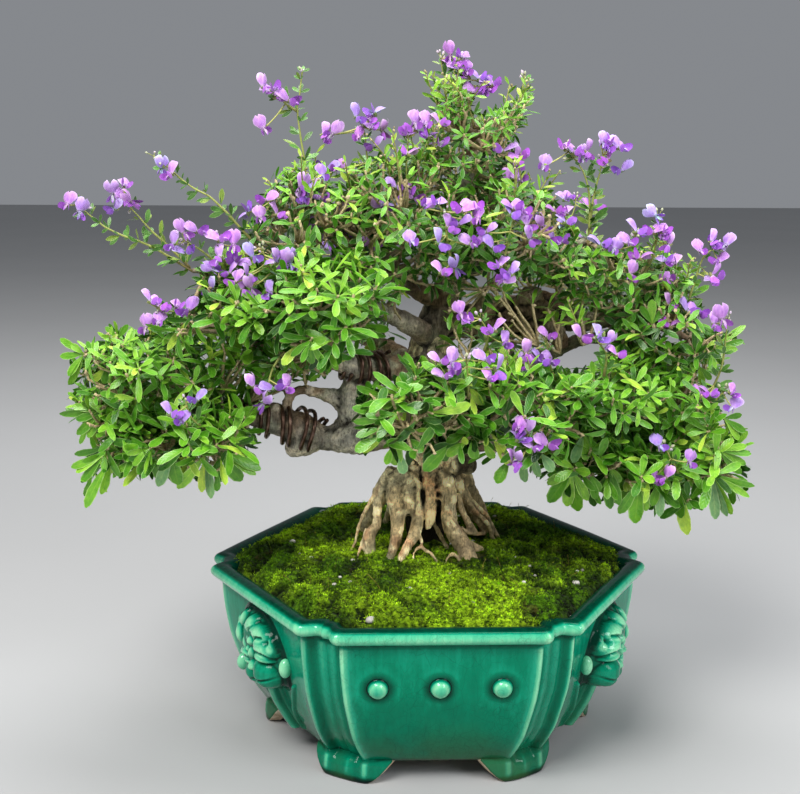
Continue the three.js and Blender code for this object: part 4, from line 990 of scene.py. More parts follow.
    # thin seta hairs and dry bits
    for _ in range(150):
        p = rng.uniform(-105, 105, 2)
        if hex_level(p[None])[0] > 104:
            continue
        h0 = moss_height(p[None])[0][0]
        L = rng.uniform(4, 11)
        lean = rng.normal(0, 0.35, 2)
        P = np.array([[p[0] + lean[0] * L * t * t, p[1] + lean[1] * L * t * t, h0 + L * t] for t in (0, 0.4, 0.75, 1.0)])
        v, q4, t3 = tube(P, [0.14, 0.12, 0.12, 0.2], 3)
        c = np.array([0.25, 0.20, 0.05]) if rng.random() < 0.5 else np.array([0.16, 0.24, 0.03])
        b.add(v, tri=t3, quad=q4, col=c)
    ob = b.make("moss_bed", [moss_material()])
    return ob, b.tris()


def moss_material():
    m = Mat("moss")
    c = m.attr("col")
    n = m.noise(420, 4, 0.65)
    # fine mottling: painted shade in the gaps between fronds and painted highlights on their tips
    c = m.mix(m.maprange(n, 0.38, 0.62, 0.0, 0.85), m.mix(1.0, c, (0.12, 0.17, 0.07, 1), "MULTIPLY"), m.mix(1.0, c, (1.95, 1.85, 1.35, 1), "MULTIPLY"))
    dry = m.maprange(m.noise(70, 3, 0.6), 0.62, 0.72)
    c = m.mix(m.math("MULTIPLY", dry, 0.35), c, (0.16, 0.12, 0.03, 1))
    h = m.math("ADD", m.noise(700, 3, 0.6), m.math("MULTIPLY", m.voronoi(520), 0.8))
    m.set(color=c, rough=0.9, spec=0.08, normal=m.bump(h, 0.8, 0.0012), sheen=0.04, sheen_rough=0.5)
    return m.m


moss_ob, MOSS_TRIS = make_moss()
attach(moss_ob, "root")
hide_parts("moss")


def make_grit():
    """white grit and small pellets lying on the moss"""
    rng = np.random.default_rng(23)
    b = Bag()
    spots = [(-39, -107.5, 2.6), (-16, -73, 1.9), (78, -91, 2.0), (86, -55, 2.2), (-60, -60, 1.2), (20, -92, 1.1), (52, -70, 1.2), (-75, -20, 1.1), (-88, 12, 1.6), (10, -52, 1.0), (60, -38, 1.0)]
    for k in range(26):
        p = rng.uniform(-95, 95, 2)
        if hex_level(p[None])[0] < 100:
            spots.append((p[0], p[1], rng.uniform(0.6, 1.2)))
    for x, y, r in spots:
        z = moss_height(np.array([[x, y]]))[0][0] + r * 0.35
        nu, nv = 9, 6
        th, ph = np.meshgrid(np.arange(nu) * 2 * math.pi / nu, np.linspace(0.12, math.pi - 0.12, nv))
        d = np.stack([np.cos(th) * np.sin(ph), np.sin(th) * np.sin(ph), np.cos(ph)], -1).reshape(-1, 3)
        k = r * (1 + 0.28 * vnoise(d * 1.7 + x, 5))
        V = d * k[:, None] * [1.15, 0.95, 0.75] + [x, y, z]
        q4 = grid_quads(nv, nu, close_cols=True, flip=True)
        t3 = [[j, (j + 1) % nu, 0] for j in range(1, nu - 1)] + [[(nv - 1) * nu + (j + 1) % nu, (nv - 1) * nu + j, (nv - 1) * nu] for j in range(1, nu - 1)]
        shade = rng.uniform(0.5, 0.9)
        b.add(V, quad=q4, tri=np.array(t3), col=np.array([shade, shade * 0.96, shade * 0.9]))
    m = Mat("grit")
    m.set(color=m.mix(m.maprange(m.noise(600, 3, 0.6), 0.35, 0.65, 0, 0.6), m.attr("col"), (0.35, 0.31, 0.25, 1)), rough=0.7, normal=m.bump(m.noise(900, 3, 0.6), 0.4, 0.0004))
    return b.make("grit_bits", [m.m])


grit = make_grit()
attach(grit, "root")

# ------------------------------------------------------------------ the tree
TRUNK = [[-1, 9, 92, 21], [-1, 9, 106, 20], [0, 8, 128.5, 19], [1.7, 7, 147.7, 17.5], [2.7, 6, 164, 16], [1.9, 6, 182.5, 16.5], [-0.2, 8, 204.9, 14.5], [-2.2, 10, 225.9, 13], [0.8, 12, 248.7, 11.5], [9.3, 11, 271.7, 10], [15, 8, 295.8, 8.5], [17.4, 5, 320.7, 7], [21.1, 3, 345.1, 5], [23.7, 2, 366.6, 3.4], [24.6, 2, 380, 2.2]]
LIMBS = {
  "leftLow": [[-0.8, 4, 177.7, 13], [-23.9, 0, 181.4, 12], [-47.3, -5, 190.5, 14], [-64.2, -7, 187.2, 8.5], [-81.5, -9, 194.1, 10.5], [-97.4, -11, 198.5, 8], [-114.4, -14, 204.2, 6.4], [-134.9, -16, 207.3, 5], [-159.4, -14, 209.4, 3.8], [-184.4, -10, 209.8, 2.8]],
  "leftStub": [[-77.8, -9, 190, 8], [-82.9, -9, 183.6, 8.5], [-87.3, -9, 178.7, 5]],
  "leftArch": [[-48, -5, 200, 7], [-57.8, -7, 212.1, 6], [-70.2, -8, 216.1, 3.6], [-80.6, -9, 218.2, 3.4], [-88, -10, 214.1, 3.2], [-89.4, -10, 205.2, 3.2], [-88.8, -10, 196, 3]],
  "leftMid": [[-1, 8, 223.7, 10], [-20.4, 0, 230.4, 8.5], [-36.8, -8, 231.9, 8], [-52.8, -14, 235.5, 7], [-68.5, -20, 240.3, 5], [-81.6, -25, 241.8, 3.6], [-94.6, -28, 245.4, 2.7], [-108.7, -28, 251.4, 2.2], [-121.9, -26, 257.1, 2]],
  "leftFront": [[0.6, 8, 248, 8], [-21.3, -18, 264.5, 6], [-43.2, -36, 274.2, 4.5], [-63.1, -44, 276.4, 3.4], [-79.3, -46, 272, 2.4]],
  "leftUp": [[8.6, 10, 270.6, 7.5], [-14.5, 2, 282.8, 6], [-38.1, -6, 297.1, 5], [-58.7, -8, 311.7, 4], [-71.8, -8, 327.2, 3], [-76.5, -8, 338, 2]],
  "leftLong": [[-34, -5, 294, 4], [-67, -18, 294.6, 3.2], [-96.4, -26, 289.5, 2.6], [-122.2, -28, 289.6, 2.2], [-143.1, -28, 294.3, 2]],
  "rightMass": [[6.4, 12, 260.1, 10], [30.7, 14, 257.3, 11], [52.4, 15, 259.8, 12.5], [70.1, 15, 264.9, 13.5], [85.4, 14, 259.9, 9], [102.6, 10, 258, 6], [123.2, 6, 261.1, 4.6], [145.3, 2, 256.6, 3.4], [162, -2, 249, 2.2]],
  "rightUp": [[13.1, 8, 292.1, 7], [37.6, 4, 296.3, 5.5], [63, 0, 300.4, 4.4], [87.2, -2, 306.8, 3.2], [100, -2, 313, 2.2]],
  "rightMid": [[0.6, 10, 202.5, 9], [26.8, 18, 211.2, 7.5], [54.1, 22, 224.9, 6], [78.4, 22, 236, 5], [103.2, 18, 246.4, 4.2], [129.5, 8, 244.2, 3.4], [154.7, -2, 228, 2.8], [172, -6, 216, 2.2]],
  "rightLow": [[3.1, 4, 171.1, 10], [21.1, 4, 171.1, 8.5], [44.4, -4, 177, 6.2], [68.9, -10, 178.4, 5], [94.6, -15, 177.1, 4.2], [122.1, -16, 177.2, 3.4], [149.1, -14, 177.9, 2.6], [168, -12, 176.4, 2.2]],
  "frontCentre": [[0.1, 0, 191.8, 8], [-5.5, -28, 204.7, 6], [-11.8, -54, 214.2, 4.4], [-16.5, -74, 220, 2.8]],
  "frontRight": [[2.6, 2, 203, 7.5], [17.7, -26, 212.9, 5.6], [34.6, -48, 218.8, 4.2], [46, -60, 220.4, 2.8]],
  "backLeft": [[-1.7, 18, 221.8, 8], [-19.9, 50, 231.8, 6], [-46.3, 78, 238.1, 4.4], [-70, 93, 239.5, 2.8]],
  "backRight": [[4.5, 20, 247.4, 8], [34.7, 54, 255.4, 6], [72, 82, 259.8, 4.4], [100, 95, 258, 2.8]],
  "backLow": [[5, 18, 196.8, 7.5], [24.9, 52, 196, 5.6], [54.2, 82, 190.9, 4.2], [80, 96, 184, 2.8]],
  "backTop": [[16.1, 14, 295.2, 6], [11.8, 42, 306.7, 4.6], [5.5, 64, 313.4, 3.4]],
}
ROOTS = [
  [[-33.9, 2.0, 152.0, 1.9], [-35.9, 0.0, 146.6, 1.6], [-40.3, -1.0, 138.3, 1.4], [-44.8, -2.0, 128.0, 1.4], [-47.0, -2.3, 118.0, 1.3], [-50.6, -2.5, 110.1, 1.1]],
  [[-40.3, -3.0, 126.9, 1.1], [-42.9, -9.0, 120.2, 1.1], [-44.9, -14.0, 115.3, 1.1], [-45.9, -18.0, 108.8, 0.9]],
  [[-23.8, 0.0, 164.4, 3.8], [-27.7, -4.0, 161.6, 3.2], [-31.5, -6.0, 153.6, 3.2], [-33.5, -8.0, 143.0, 2.8], [-33.8, -10.0, 131.8, 2.8], [-37.6, -11.5, 125.7, 3.5], [-38.4, -12.0, 117.9, 3.6], [-38.4, -12.5, 107.4, 3.5]],
  [[-17.5, -2.0, 162.3, 6.3], [-20.8, -6.0, 156.9, 6.6], [-20.9, -9.0, 148.5, 6.3], [-20.2, -11.0, 139.9, 5.2], [-20.5, -13.0, 132.7, 4.3], [-21.9, -15.0, 124.1, 3.8], [-23.8, -17.0, 116.2, 3.5], [-26.0, -19.0, 109.0, 4.4]],
  [[-3.9, -9.0, 157.6, 3.2], [-5.8, -12.0, 148.0, 2.7], [-6.9, -15.0, 138.5, 2.7], [-8.5, -18.0, 130.3, 3.0], [-13.1, -23.0, 124.1, 3.1], [-17.0, -27.0, 118.3, 2.5], [-21.5, -32.0, 108.3, 2.3]],
  [[-6.9, -9.0, 148.5, 1.6], [-9.3, -12.0, 141.5, 1.6], [-10.9, -14.0, 134.9, 1.6], [-12.5, -17.0, 128.0, 1.6], [-15.5, -21.0, 121.5, 1.6]],
  [[0.1, -4.0, 165.4, 4.7], [-0.6, -8.0, 156.0, 4.7], [-0.7, -10.5, 147.6, 4.7], [-0.1, -12.0, 140.1, 4.4], [-0.1, -13.0, 134.5, 3.2], [-2.0, -15.0, 130.6, 1.9]],
  [[1.8, -4.0, 136.3, 1.4], [3.0, -5.0, 132.0, 1.6], [5.6, -6.0, 125.6, 1.7], [9.1, -7.0, 119.2, 1.7], [13.9, -9.0, 109.2, 1.6]],
  [[8.5, -2.0, 164.8, 5.7], [10.2, -6.0, 158.0, 6.3], [10.8, -9.0, 150.4, 6.0], [11.1, -11.0, 141.1, 5.8], [12.9, -13.0, 132.5, 5.4], [17.0, -15.0, 125.2, 5.7], [20.7, -17.0, 118.5, 6.6], [23.9, -19.0, 109.3, 7.3]],
  [[17.8, -13.0, 123.2, 3.8], [25.7, -12.0, 117.5, 3.5], [32.4, -9.0, 113.4, 2.9], [38.5, -7.0, 111.0, 1.3]],
  [[20.7, -18.0, 118.2, 3.2], [19.1, -22.0, 114.3, 2.5], [17.7, -25.0, 109.4, 1.6]],
  [[14.6, 2.0, 165.0, 3.5], [17.9, 2.0, 157.1, 3.5], [22.5, 5.0, 146.8, 2.7], [27.0, 9.0, 136.9, 2.6], [32.9, 14.0, 127.1, 2.8], [37.6, 20.0, 118.3, 2.8], [39.4, 26.0, 110.1, 2.0]],
  [[17.5, -4.0, 149.5, 2.2], [20.3, -3.0, 140.6, 2.1], [23.5, -1.0, 132.6, 2.2], [27.9, 3.0, 125.2, 2.3], [31.4, 8.0, 119.5, 2.0]],
  [[20.3, -6.0, 127.5, 1.6], [25.4, 0.0, 122.5, 1.6], [31.4, 8.0, 118.8, 1.5], [37.7, 17.0, 116.5, 1.6]],
  [[20.4, 8.0, 155.4, 1.9], [25.1, 8.0, 147.3, 1.6], [30.6, 10.0, 138.6, 1.4], [37.6, 13.0, 131.5, 1.4], [43.4, 16.0, 121.6, 1.3], [48.7, 19.0, 109.6, 1.3]],
  [[21.5, 4.0, 148.5, 1.6], [26.2, 5.0, 140.8, 1.5], [33.1, 8.0, 132.4, 1.4], [38.8, 11.0, 125.3, 1.6], [42.0, 14.0, 117.5, 1.6], [44.2, 15.0, 108.9, 1.3]],
  [[-6.1, -18.0, 126.3, 1.4], [-5.8, -21.0, 121.4, 1.3], [-8.7, -24.0, 119.8, 1.1], [-10.7, -27.0, 118.2, 1.0], [-11.3, -30.0, 112.8, 1.0]],
  [[-5.9, -21.0, 120.7, 1.3], [-3.7, -24.0, 118.8, 1.3], [-0.1, -27.0, 117.8, 1.2], [4.1, -30.0, 112.6, 1.0]],
  [[8.8, -26.0, 110.5, 1.1], [10.7, -25.0, 114.8, 1.1], [13.4, -25.0, 116.6, 1.3], [16.2, -26.0, 115.4, 1.1], [19.3, -28.0, 111.2, 0.9]],
  [[-49.3, -4.0, 113.3, 1.2], [-52.5, -7.0, 110.3, 1.1], [-56.3, -10.0, 107.3, 1.0]],
  [[41.5, 3.0, 110.9, 1.0], [44.6, 1.0, 109.5, 0.9], [48.3, -1.0, 107.5, 0.8]],
]
PADS = {
  "foliage_left_upper": [-172, -12, 233, 50, 46, 19],
  "foliage_left_tip": [-195, -14, 193, 34, 38, 21],
  "foliage_left_lower": [-140, -26, 189, 46, 44, 20],
  "foliage_midleft_outer": [-128, -30, 271, 42, 42, 20],
  "foliage_midleft_inner": [-64, -54, 269, 44, 36, 28],
  "foliage_upper_left": [-73, -14, 316, 48, 44, 24],
  "foliage_upper_centre": [-19, -18, 322, 42, 46, 32],
  "foliage_apex": [25, 0, 367, 34, 34, 34],
  "foliage_upper_right": [47, -14, 316, 44, 46, 30],
  "foliage_right_shoulder": [107, -4, 291, 46, 44, 22],
  "foliage_right_upper": [150, -2, 262, 40, 44, 26],
  "foliage_right_tip": [169, -8, 210, 38, 44, 24],
  "foliage_right_outer_low": [160, -14, 163, 40, 42, 21],
  "foliage_right_mid": [104, -18, 219, 44, 44, 20],
  "foliage_right_lower": [104, -22, 172, 42, 42, 22],
  "foliage_front_centre": [-15, -78, 219, 34, 26, 20],
  "foliage_front_right": [42, -62, 213, 46, 32, 22],
  "foliage_back_left": [-74, 84, 246, 58, 40, 32],
  "foliage_back_right": [98, 86, 258, 58, 40, 32],
  "foliage_back_low": [84, 90, 187, 46, 34, 24],
  "foliage_back_top": [3, 68, 320, 50, 38, 34],
}


def limb_curve(points, step):
    c, par = catmull(points, 10)
    return resample(c, step)


def woody(points, step, sides, seed, rough=0.16, groove=0.1, lobes=3.0):
    c = limb_curve(points, step)
    P, R = c[:, :3], c[:, 3]
    a = np.arange(sides) * 2 * math.pi / sides
    T, N, B = frames_along(P)
    d = np.cos(a)[None, :, None] * N[:, None, :] + np.sin(a)[None, :, None] * B[:, None, :]
    base = (P[:, None, :] + d * R[:, None, None]).reshape(-1, 3)
    big = fbm(base / (R.mean() * 1.7), 2, seed)
    mod = 1 + rough * big.reshape(len(P), sides)
    al = np.arange(len(P))[:, None] * step
    mod = mod + groove * np.sin(lobes * a[None, :] + 0.035 * al + seed) * 0.6
    return tube(P, R, sides, rmod=mod)


def remeshed(name, parts, voxel):
    b = Bag()
    for V, q, t in parts:
        b.add(V, tri=t, quad=q)
    ob = b.make(name, [])
    md = ob.modifiers.new("remesh", "REMESH")
    md.mode = "VOXEL"
    md.voxel_size = voxel / 1000.0
    md.use_smooth_shade = True
    dg = bpy.context.evaluated_depsgraph_get()
    ev = ob.evaluated_get(dg)
    me = bpy.data.meshes.new_from_object(ev)
    old = ob.data
    n = len(me.vertices)
    co = np.zeros(n * 3, np.float32)
    me.vertices.foreach_get("co", co)
    nm = np.zeros(n * 3, np.float32)
    me.vertices.foreach_get("normal", nm)
    fc = np.zeros(len(me.loops), np.int32)
    me.loops.foreach_get("vertex_index", fc)
    tot = np.zeros(len(me.polygons), np.int32)
    me.polygons.foreach_get("loop_total", tot)
    bpy.data.objects.remove(ob)
    bpy.data.meshes.remove(old)
    quads = fc.reshape(-1, 4) if (tot == 4).all() else None
    if quads is None:
        raise RuntimeError("the remesh gave faces that aren't quads")
    bpy.data.meshes.remove(me)
    return co.reshape(-1, 3).astype(float) * 1000 - SHIFT, nm.reshape(-1, 3).astype(float), quads


def relax(V, quads, times=1, f=0.5):
    e = np.vstack([quads[:, [0, 1]], quads[:, [1, 2]], quads[:, [2, 3]], quads[:, [3, 0]]])
    n = len(V)
    cnt = np.bincount(e[:, 0], minlength=n) + np.bincount(e[:, 1], minlength=n)
    for _ in range(times):
        s = np.stack([np.bincount(e[:, 0], V[e[:, 1], k], n) + np.bincount(e[:, 1], V[e[:, 0], k], n) for k in range(V.shape[1])], 1)
        V = V * (1 - f) + f * s / np.maximum(cnt, 1)[:, None]
    return V


def vertex_normals(V, quads):
    a, b, c, d = (V[quads[:, k]] for k in range(4))
    fn = np.cross(c - a, d - b)
    n = np.zeros_like(V)
    for k in range(4):
        for j in range(3):
            n[:, j] += np.bincount(quads[:, k], fn[:, j], len(V))
    return n / np.maximum(np.linalg.norm(n, axis=1, keepdims=True), 1e-12)


ALL_ROOTS = ROOTS + [
    # shoulder, pale ridge and black stub by the neck
    [[-9, 0, 166, 7], [-15, -2, 161, 8], [-19, -4, 156, 7]],
    [[-16, -7, 163.5, 1.3], [-11.5, -9, 161.5, 1.6], [-7.6, -10.5, 158.5, 1.7], [-7.2, -12, 152.5, 1.6], [-7.6, -12.5, 147, 1.5], [-8.8, -13.5, 141.5, 1.4]],
    [[7, -3, 175, 7], [15, -5, 172, 8], [22, -4, 170, 7], [26, -3, 165.5, 4.5]],
    [[14, -9, 168, 3.5], [20, -11, 170.5, 3.6], [25, -9, 173, 3]],
    [[-12.5, -3, 163, 8.5], [-13.5, -6.0, 154, 8.2], [-12.5, -8.5, 146, 6.2], [-11.5, -10, 139, 3.6]],
    # behind
    [[-7, 20, 152, 9], [-17, 38, 133.2, 6], [-23.2, 52, 117.6, 4.5], [-27, 62, 101, 3.4]],
    [[9, 22, 152, 9], [20.8, 40, 132.4, 6], [30.3, 52, 118.8, 4.5], [37, 60, 102, 3.4]],
    [[-18, 12, 158, 7], [-29, 20, 142, 5], [-38, 28, 124, 4.2], [-43, 33, 102, 3.4]],
    [[20, 14, 158, 7], [30, 26, 141, 5], [38, 36, 123, 4.2], [43, 42, 102, 3.2]],
    [[1, 24, 150, 7], [2, 40, 132, 5], [5, 52, 116, 3.8], [6, 60, 101, 3]],
]


def finish_wood(V, quads, kind):
    """bark relief as real displacement, plus colour"""
    V = relax(V, quads, 2, 0.5)
    N = vertex_normals(V, quads)
    z = V[:, 2]
    if kind == "trunk":
        low = smooth(150, 118, z)
        crag = smooth(150, 168, z) * (0.4 + 0.6 * smooth(-0.1, 0.4, fbm(V / 17.0, 2, 13)))
        # long fibres down the trunk
        st = fbm(V / np.array([3.2, 3.2, 15.0]), 3, 21)
        d1, d2, _ = worley(V / np.array([5.2, 5.2, 7.5]), 22)
        plates = np.clip((d2 - d1) / 0.28, 0, 1)
        disp = 0.85 * st * (1 - 0.4 * low) + crag * (1.7 * (plates - 0.6) + 1.2 * fbm(V / 4.0, 3, 24)) + 0.45 * fbm(V / 2.0, 2, 25)
        # the slot and the small knot ring on the front, with the crease that runs down from it
        fr = V[:, 1] < 8
        slot_ = np.exp(-(((V[:, 0] + 4.9) / 1.3) ** 2 + ((z - 150.5) / 4.4) ** 2)) * fr
        rk = np.hypot((V[:, 0] - 5.2), (z - 151.5))
        knot = (np.exp(-((rk - 2.9) / 0.8) ** 2) * 0.9 - 0.9 * np.exp(-(rk / 1.5) ** 2)) * fr
        crease = np.exp(-((V[:, 0] - 5.4) / 0.9) ** 2) * smooth(149, 147, z) * smooth(128, 134, z) * fr
        disp = disp - 6.0 * slot_ + knot - 2.6 * crease
        axis = np.vstack([limb_curve(r, 1.6) for r in ALL_ROOTS])
        near = np.full(len(V), 1e9)
        for i in range(0, len(V), 8000):
            near[i:i + 8000] = (np.linalg.norm(V[i:i + 8000, None] - axis[None, :, :3], axis=2) - axis[None, :, 3] * 1.12).min(1)
        # mask of the trunk's core between the roots, used for painted shade
        root_gap_shade = smooth(0.5, 2.2, near) * smooth(154, 143, z)
    else:
        d1, d2, _ = worley(V / 5.0, 32)
        plates = np.clip((d2 - d1) / 0.3, 0, 1)
        st = fbm(V / 3.4, 3, 33)
        mass = np.exp(-(((V[:, 0] - 55) / 34) ** 2 + ((z - 262) / 20) ** 2))
        slab = np.exp(-(((V[:, 0] + 46) / 14) ** 2 + ((z - 200) / 26) ** 2))
        ridged = 1 - 2.4 * np.abs(fbm(V / np.array([9.0, 9.0, 6.0]), 3, 37))
        disp = 0.40 * (plates - 0.6) + 0.75 * st + mass * (0.9 * (plates - 0.55) + 2.4 * (ridged - 0.4) + 2.2 * fbm(V / 5.0, 4, 35)) + slab * (0.6 * (plates - 0.5) + 1.3 * (ridged - 0.4))
        slot_ = crease = 0 * z
        low = 0 * z
        crag = mass
    V2 = V + N * disp[:, None]
    sm = relax(V2, quads, 14, 0.6)
    cav = np.clip(((V2 - sm) * N).sum(1) / 0.75, -1, 1)
    # colour
    n1, n2, n3 = fbm(V / 11.0, 3, 41), fbm(V / 5.0, 3, 42), fbm(V / 26.0, 2, 43)
    if kind == "trunk":
        tan, pink, cream, grey, dark = [np.array(c) for c in ((0.275, 0.215, 0.120), (0.320, 0.200, 0.110), (0.56, 0.49, 0.30), (0.180, 0.175, 0.115), (0.006, 0.005, 0.003))]
        col = tan + (pink - tan) * smooth(0.0, 0.45, n1)[:, None]
        col = col + (cream - col) * (0.85 * smooth(0.05, 0.5, n2 + 0.25 * smooth(150, 165, z)))[:, None]
        col = col + (grey - col) * (0.7 * smooth(0.02, 0.4, n3 - 0.2 * (V[:, 0] > 8) + 0.1 * smooth(150, 185, z)))[:, None]
        big_root = smooth(12, 22, V[:, 0]) * smooth(8, 0, V[:, 1]) * smooth(150, 140, z)
        col = col + (np.array([0.235, 0.175, 0.105]) - col) * (0.55 * big_root)[:, None]
        blk = smooth(158, 166, z) * smooth(14, 18, V[:, 0])
        orange = np.exp(-((V[:, 0] - 0.5) / 7.0) ** 2) * smooth(138, 150, z) * smooth(176, 164, z) * fr
        col = col + (np.array([0.46, 0.27, 0.12]) - col) * (0.55 * orange * smooth(-0.25, 0.2, n1 + n2))[:, None]
        bulge = np.exp(-(((V[:, 0] - 0.5) / 5.0) ** 2 + ((z - 139) / 8.0) ** 2)) * fr
        col = col + (np.array([0.60, 0.50, 0.27]) - col) * (0.6 * bulge)[:, None]
        ridge_ = np.exp(-(np.hypot(V[:, 0] + 7.6, 0.25 * (z - 151)) / 2.2) ** 2) * fr
        col = col + (np.array([0.62, 0.52, 0.27]) - col) * (0.6 * ridge_)[:, None]
        col = col * (1 - 0.80 * blk)[:, None]
        col = col * (1 - 0.25 * smooth(118, 106, z))[:, None]
        # painted light: the front of the lower trunk is made lighter
        col = col * (1 + 0.40 * smooth(124, 150, z) * fr * (1 - blk))[:, None]
        mossy = smooth(118, 106, z) * smooth(-0.05, 0.3, n1)
        col = col + (np.array([0.05, 0.085, 0.012]) - col) * (0.7 * mossy)[:, None]
    else:
        brown, grey, pale, lich, dark = [np.array(c) for c in ((0.115, 0.080, 0.050), (0.175, 0.160, 0.130), (0.36, 0.32, 0.25), (0.20, 0.215, 0.155), (0.012, 0.009, 0.006))]
        col = brown + (grey - brown) * smooth(-0.2, 0.35, n3)[:, None]
        col = col + (pale - col) * (0.7 * smooth(0.1, 0.5, n2))[:, None]
        col = col + (lich - col) * (0.6 * smooth(0.05, 0.4, n1))[:, None]
        warm = np.exp(-(((V[:, 0] - 45) / 45) ** 2 + ((z - 262) / 25) ** 2))
        col = col + (np.array([0.13, 0.072, 0.036]) - col) * (0.75 * warm)[:, None]
        slabm = np.exp(-(((V[:, 0] + 48) / 13) ** 2 + ((z - 200) / 26) ** 2))
        col = col + (np.array([0.34, 0.33, 0.29]) - col) * (0.6 * slabm)[:, None]
    # painted shade in the bark's crevices and painted light on its ridges, from the relief
    shade = np.clip(0.5 + 0.62 * cav, 0, 1)[:, None]
    col = col * (0.20 + 1.25 * shade)
    col = col + (dark - col) * smooth(-0.25, -0.95, cav)[:, None] * 0.85
    if kind == "trunk":
        # painted shade: the slot, the crease and the core between the roots are painted dark
        k = np.clip(slot_ * 1.6 + crease * 0.9 + 0.96 * root_gap_shade, 0, 1)[:, None]
        col = col + (dark - col) * k
    return V2, np.clip(col, 0.002, 1)


def bark_material():
    m = Mat("bark")
    c = m.attr("col")
    n = m.noise(520, 4, 0.7)
    f = m.noise(1.0, 4, 0.65, m.scaled((900, 900, 240)))
    c = m.mix(m.maprange(n, 0.38, 0.62, 0.0, 0.38), c, m.mix(1.0, c, (2.1, 2.05, 1.9, 1), "MULTIPLY"))
    c = m.mix(m.maprange(m.noise(120, 3, 0.55), 0.40, 0.62, 0.0, 0.75), c, m.mix(1.0, c, (2.35, 2.30, 2.15, 1), "MULTIPLY"))
    c = m.mix(m.maprange(f, 0.50, 0.38, 0.0, 0.62), c, m.mix(1.0, c, (0.26, 0.22, 0.18, 1), "MULTIPLY"))
    spots = m.maprange(m.voronoi(230), 0.10, 0.06, 0.0, 0.55)
    c = m.mix(m.math("MULTIPLY", spots, m.maprange(m.noise(60, 2, 0.5), 0.52, 0.6)), c, (0.46, 0.47, 0.40, 1))
    h = m.math("ADD", m.math("MULTIPLY", f, 1.0), m.math("MULTIPLY", n, 0.9))
    m.set(color=c, rough=m.maprange(n, 0.3, 0.7, 0.95, 0.68), spec=0.3, normal=m.bump(h, 0.75, 0.0009))
    return m.m


BARK = bark_material()


def make_tree():
    core = [[-1, 18, 94, 10], [-1, 17, 110, 11], [-1, 14, 126, 13.5], [0.8, 10, 143, 15.5], [2.7, 7, 160, 15], [2.2, 6, 178, 15]] + TRUNK[6:9]
    parts = [woody(core, 2.2, 30, 3, 0.13, 0.14, 5)]
    for k, r in enumerate(ALL_ROOTS):
        thick = max(p[3] for p in r)
        parts.append(woody(r, 1.7 if thick > 2.6 else 1.1, 18 if thick > 4 else 12, 10 + k, 0.20 if thick > 2.6 else 0.14, 0.10, 2))
    V, _, q = remeshed("trunk_tmp", parts, 1.04)
    V, col = finish_wood(V, q, "trunk")
    b = Bag()
    b.add(V, quad=q, col=col)
    trunk = b.make("trunk_and_roots", [BARK])
    parts = [woody(TRUNK[7:], 2.4, 20, 5, 0.12, 0.08, 3)]
    shown = dict(LIMBS)
    shown["leftLow"] = [[-0.8, 4, 186.5, 10], [-23.9, 0, 188, 9]] + LIMBS["leftLow"][2:]
    shown["rightLow"] = [[3.1, 4, 179, 8.5], [21.1, 4, 180.5, 6.6], [44.4, -4, 182, 5.4]] + LIMBS["rightLow"][3:]
    for k, (name, l) in enumerate(shown.items()):
        parts.append(woody(l, 2.0, 14 if l[1][3] > 5 else 10, 70 + k, 0.17, 0.07, 2))
    # knobs and dead stubs on the limbs
    knobs = [[[-70, -8, 190, 6.5], [-76, -10, 185, 7.5], [-80, -10, 180, 5]], [[-96, -12, 200, 6], [-97, -15, 207, 5], [-95, -18, 211, 3]],
             [[-47, -6, 192, 9], [-48.5, -8, 205, 9.5], [-48, -8, 218, 8.5], [-46.5, -7, 228, 6]], [[30, 8, 262, 8], [34, 0, 270, 7], [37, -4, 275, 4]],
             [[58, 10, 262, 9], [62, 4, 272, 8], [66, 0, 278, 5]], [[74, 10, 256, 8], [80, 4, 249, 6], [84, 2, 244, 3.4]], [[44, 12, 252, 8], [48, 6, 244, 6], [49, 3, 239, 3]]]
    for k, r in enumerate(knobs):
        parts.append(woody(r, 1.8, 12, 90 + k, 0.22, 0.1, 2))
    V, _, q = remeshed("limbs_tmp", parts, 1.60)
    V, col = finish_wood(V, q, "limb")
    b2 = Bag()
    b2.add(V, quad=q, col=col)
    limbs = b2.make("limbs", [BARK])
    return trunk, limbs, b.tris(), b2.tris()


trunk_ob, limbs_ob, T1, T2 = make_tree()
for ob in (trunk_ob, limbs_ob):
    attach(ob, "root")
    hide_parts("tree")


# ------------------------------------------------------------------ training wire
def copper_material():
    m = Mat("wire")
    n = m.noise(240, 3, 0.6)
    col = m.ramp(n, [(0.3, (0.050, 0.026, 0.018)), (0.55, (0.150, 0.085, 0.060)), (0.75, (0.30, 0.20, 0.15))])
    m.set(color=col, metal=0.85, rough=m.maprange(m.noise(400, 2, 0.5), 0.3, 0.7, 0.28, 0.48), normal=m.bump(m.noise(1500, 2, 0.5), 0.12, 0.0002))
    return m.m


def wire_path(points, f0, f1, turns, phase, clear=0.6):
    c = limb_curve(points, 1.0)
    P, R = c[:, :3], c[:, 3]
    T, N, B = frames_along(P)
    n = int(turns * 28)
    u = np.linspace(f0, f1, n) * (len(P) - 1)
    out = []
    for i, x in enumerate(u):
        k = int(min(x, len(P) - 2))
        w = x - k
        p, r = P[k] * (1 - w) + P[k + 1] * w, R[k] * (1 - w) + R[k + 1] * w
        a = phase + 2 * math.pi * turns * i / (n - 1)
        out.append(p + (N[k] * math.cos(a) + B[k] * math.sin(a)) * (r + clear + 1.3))
    return np.array(out)


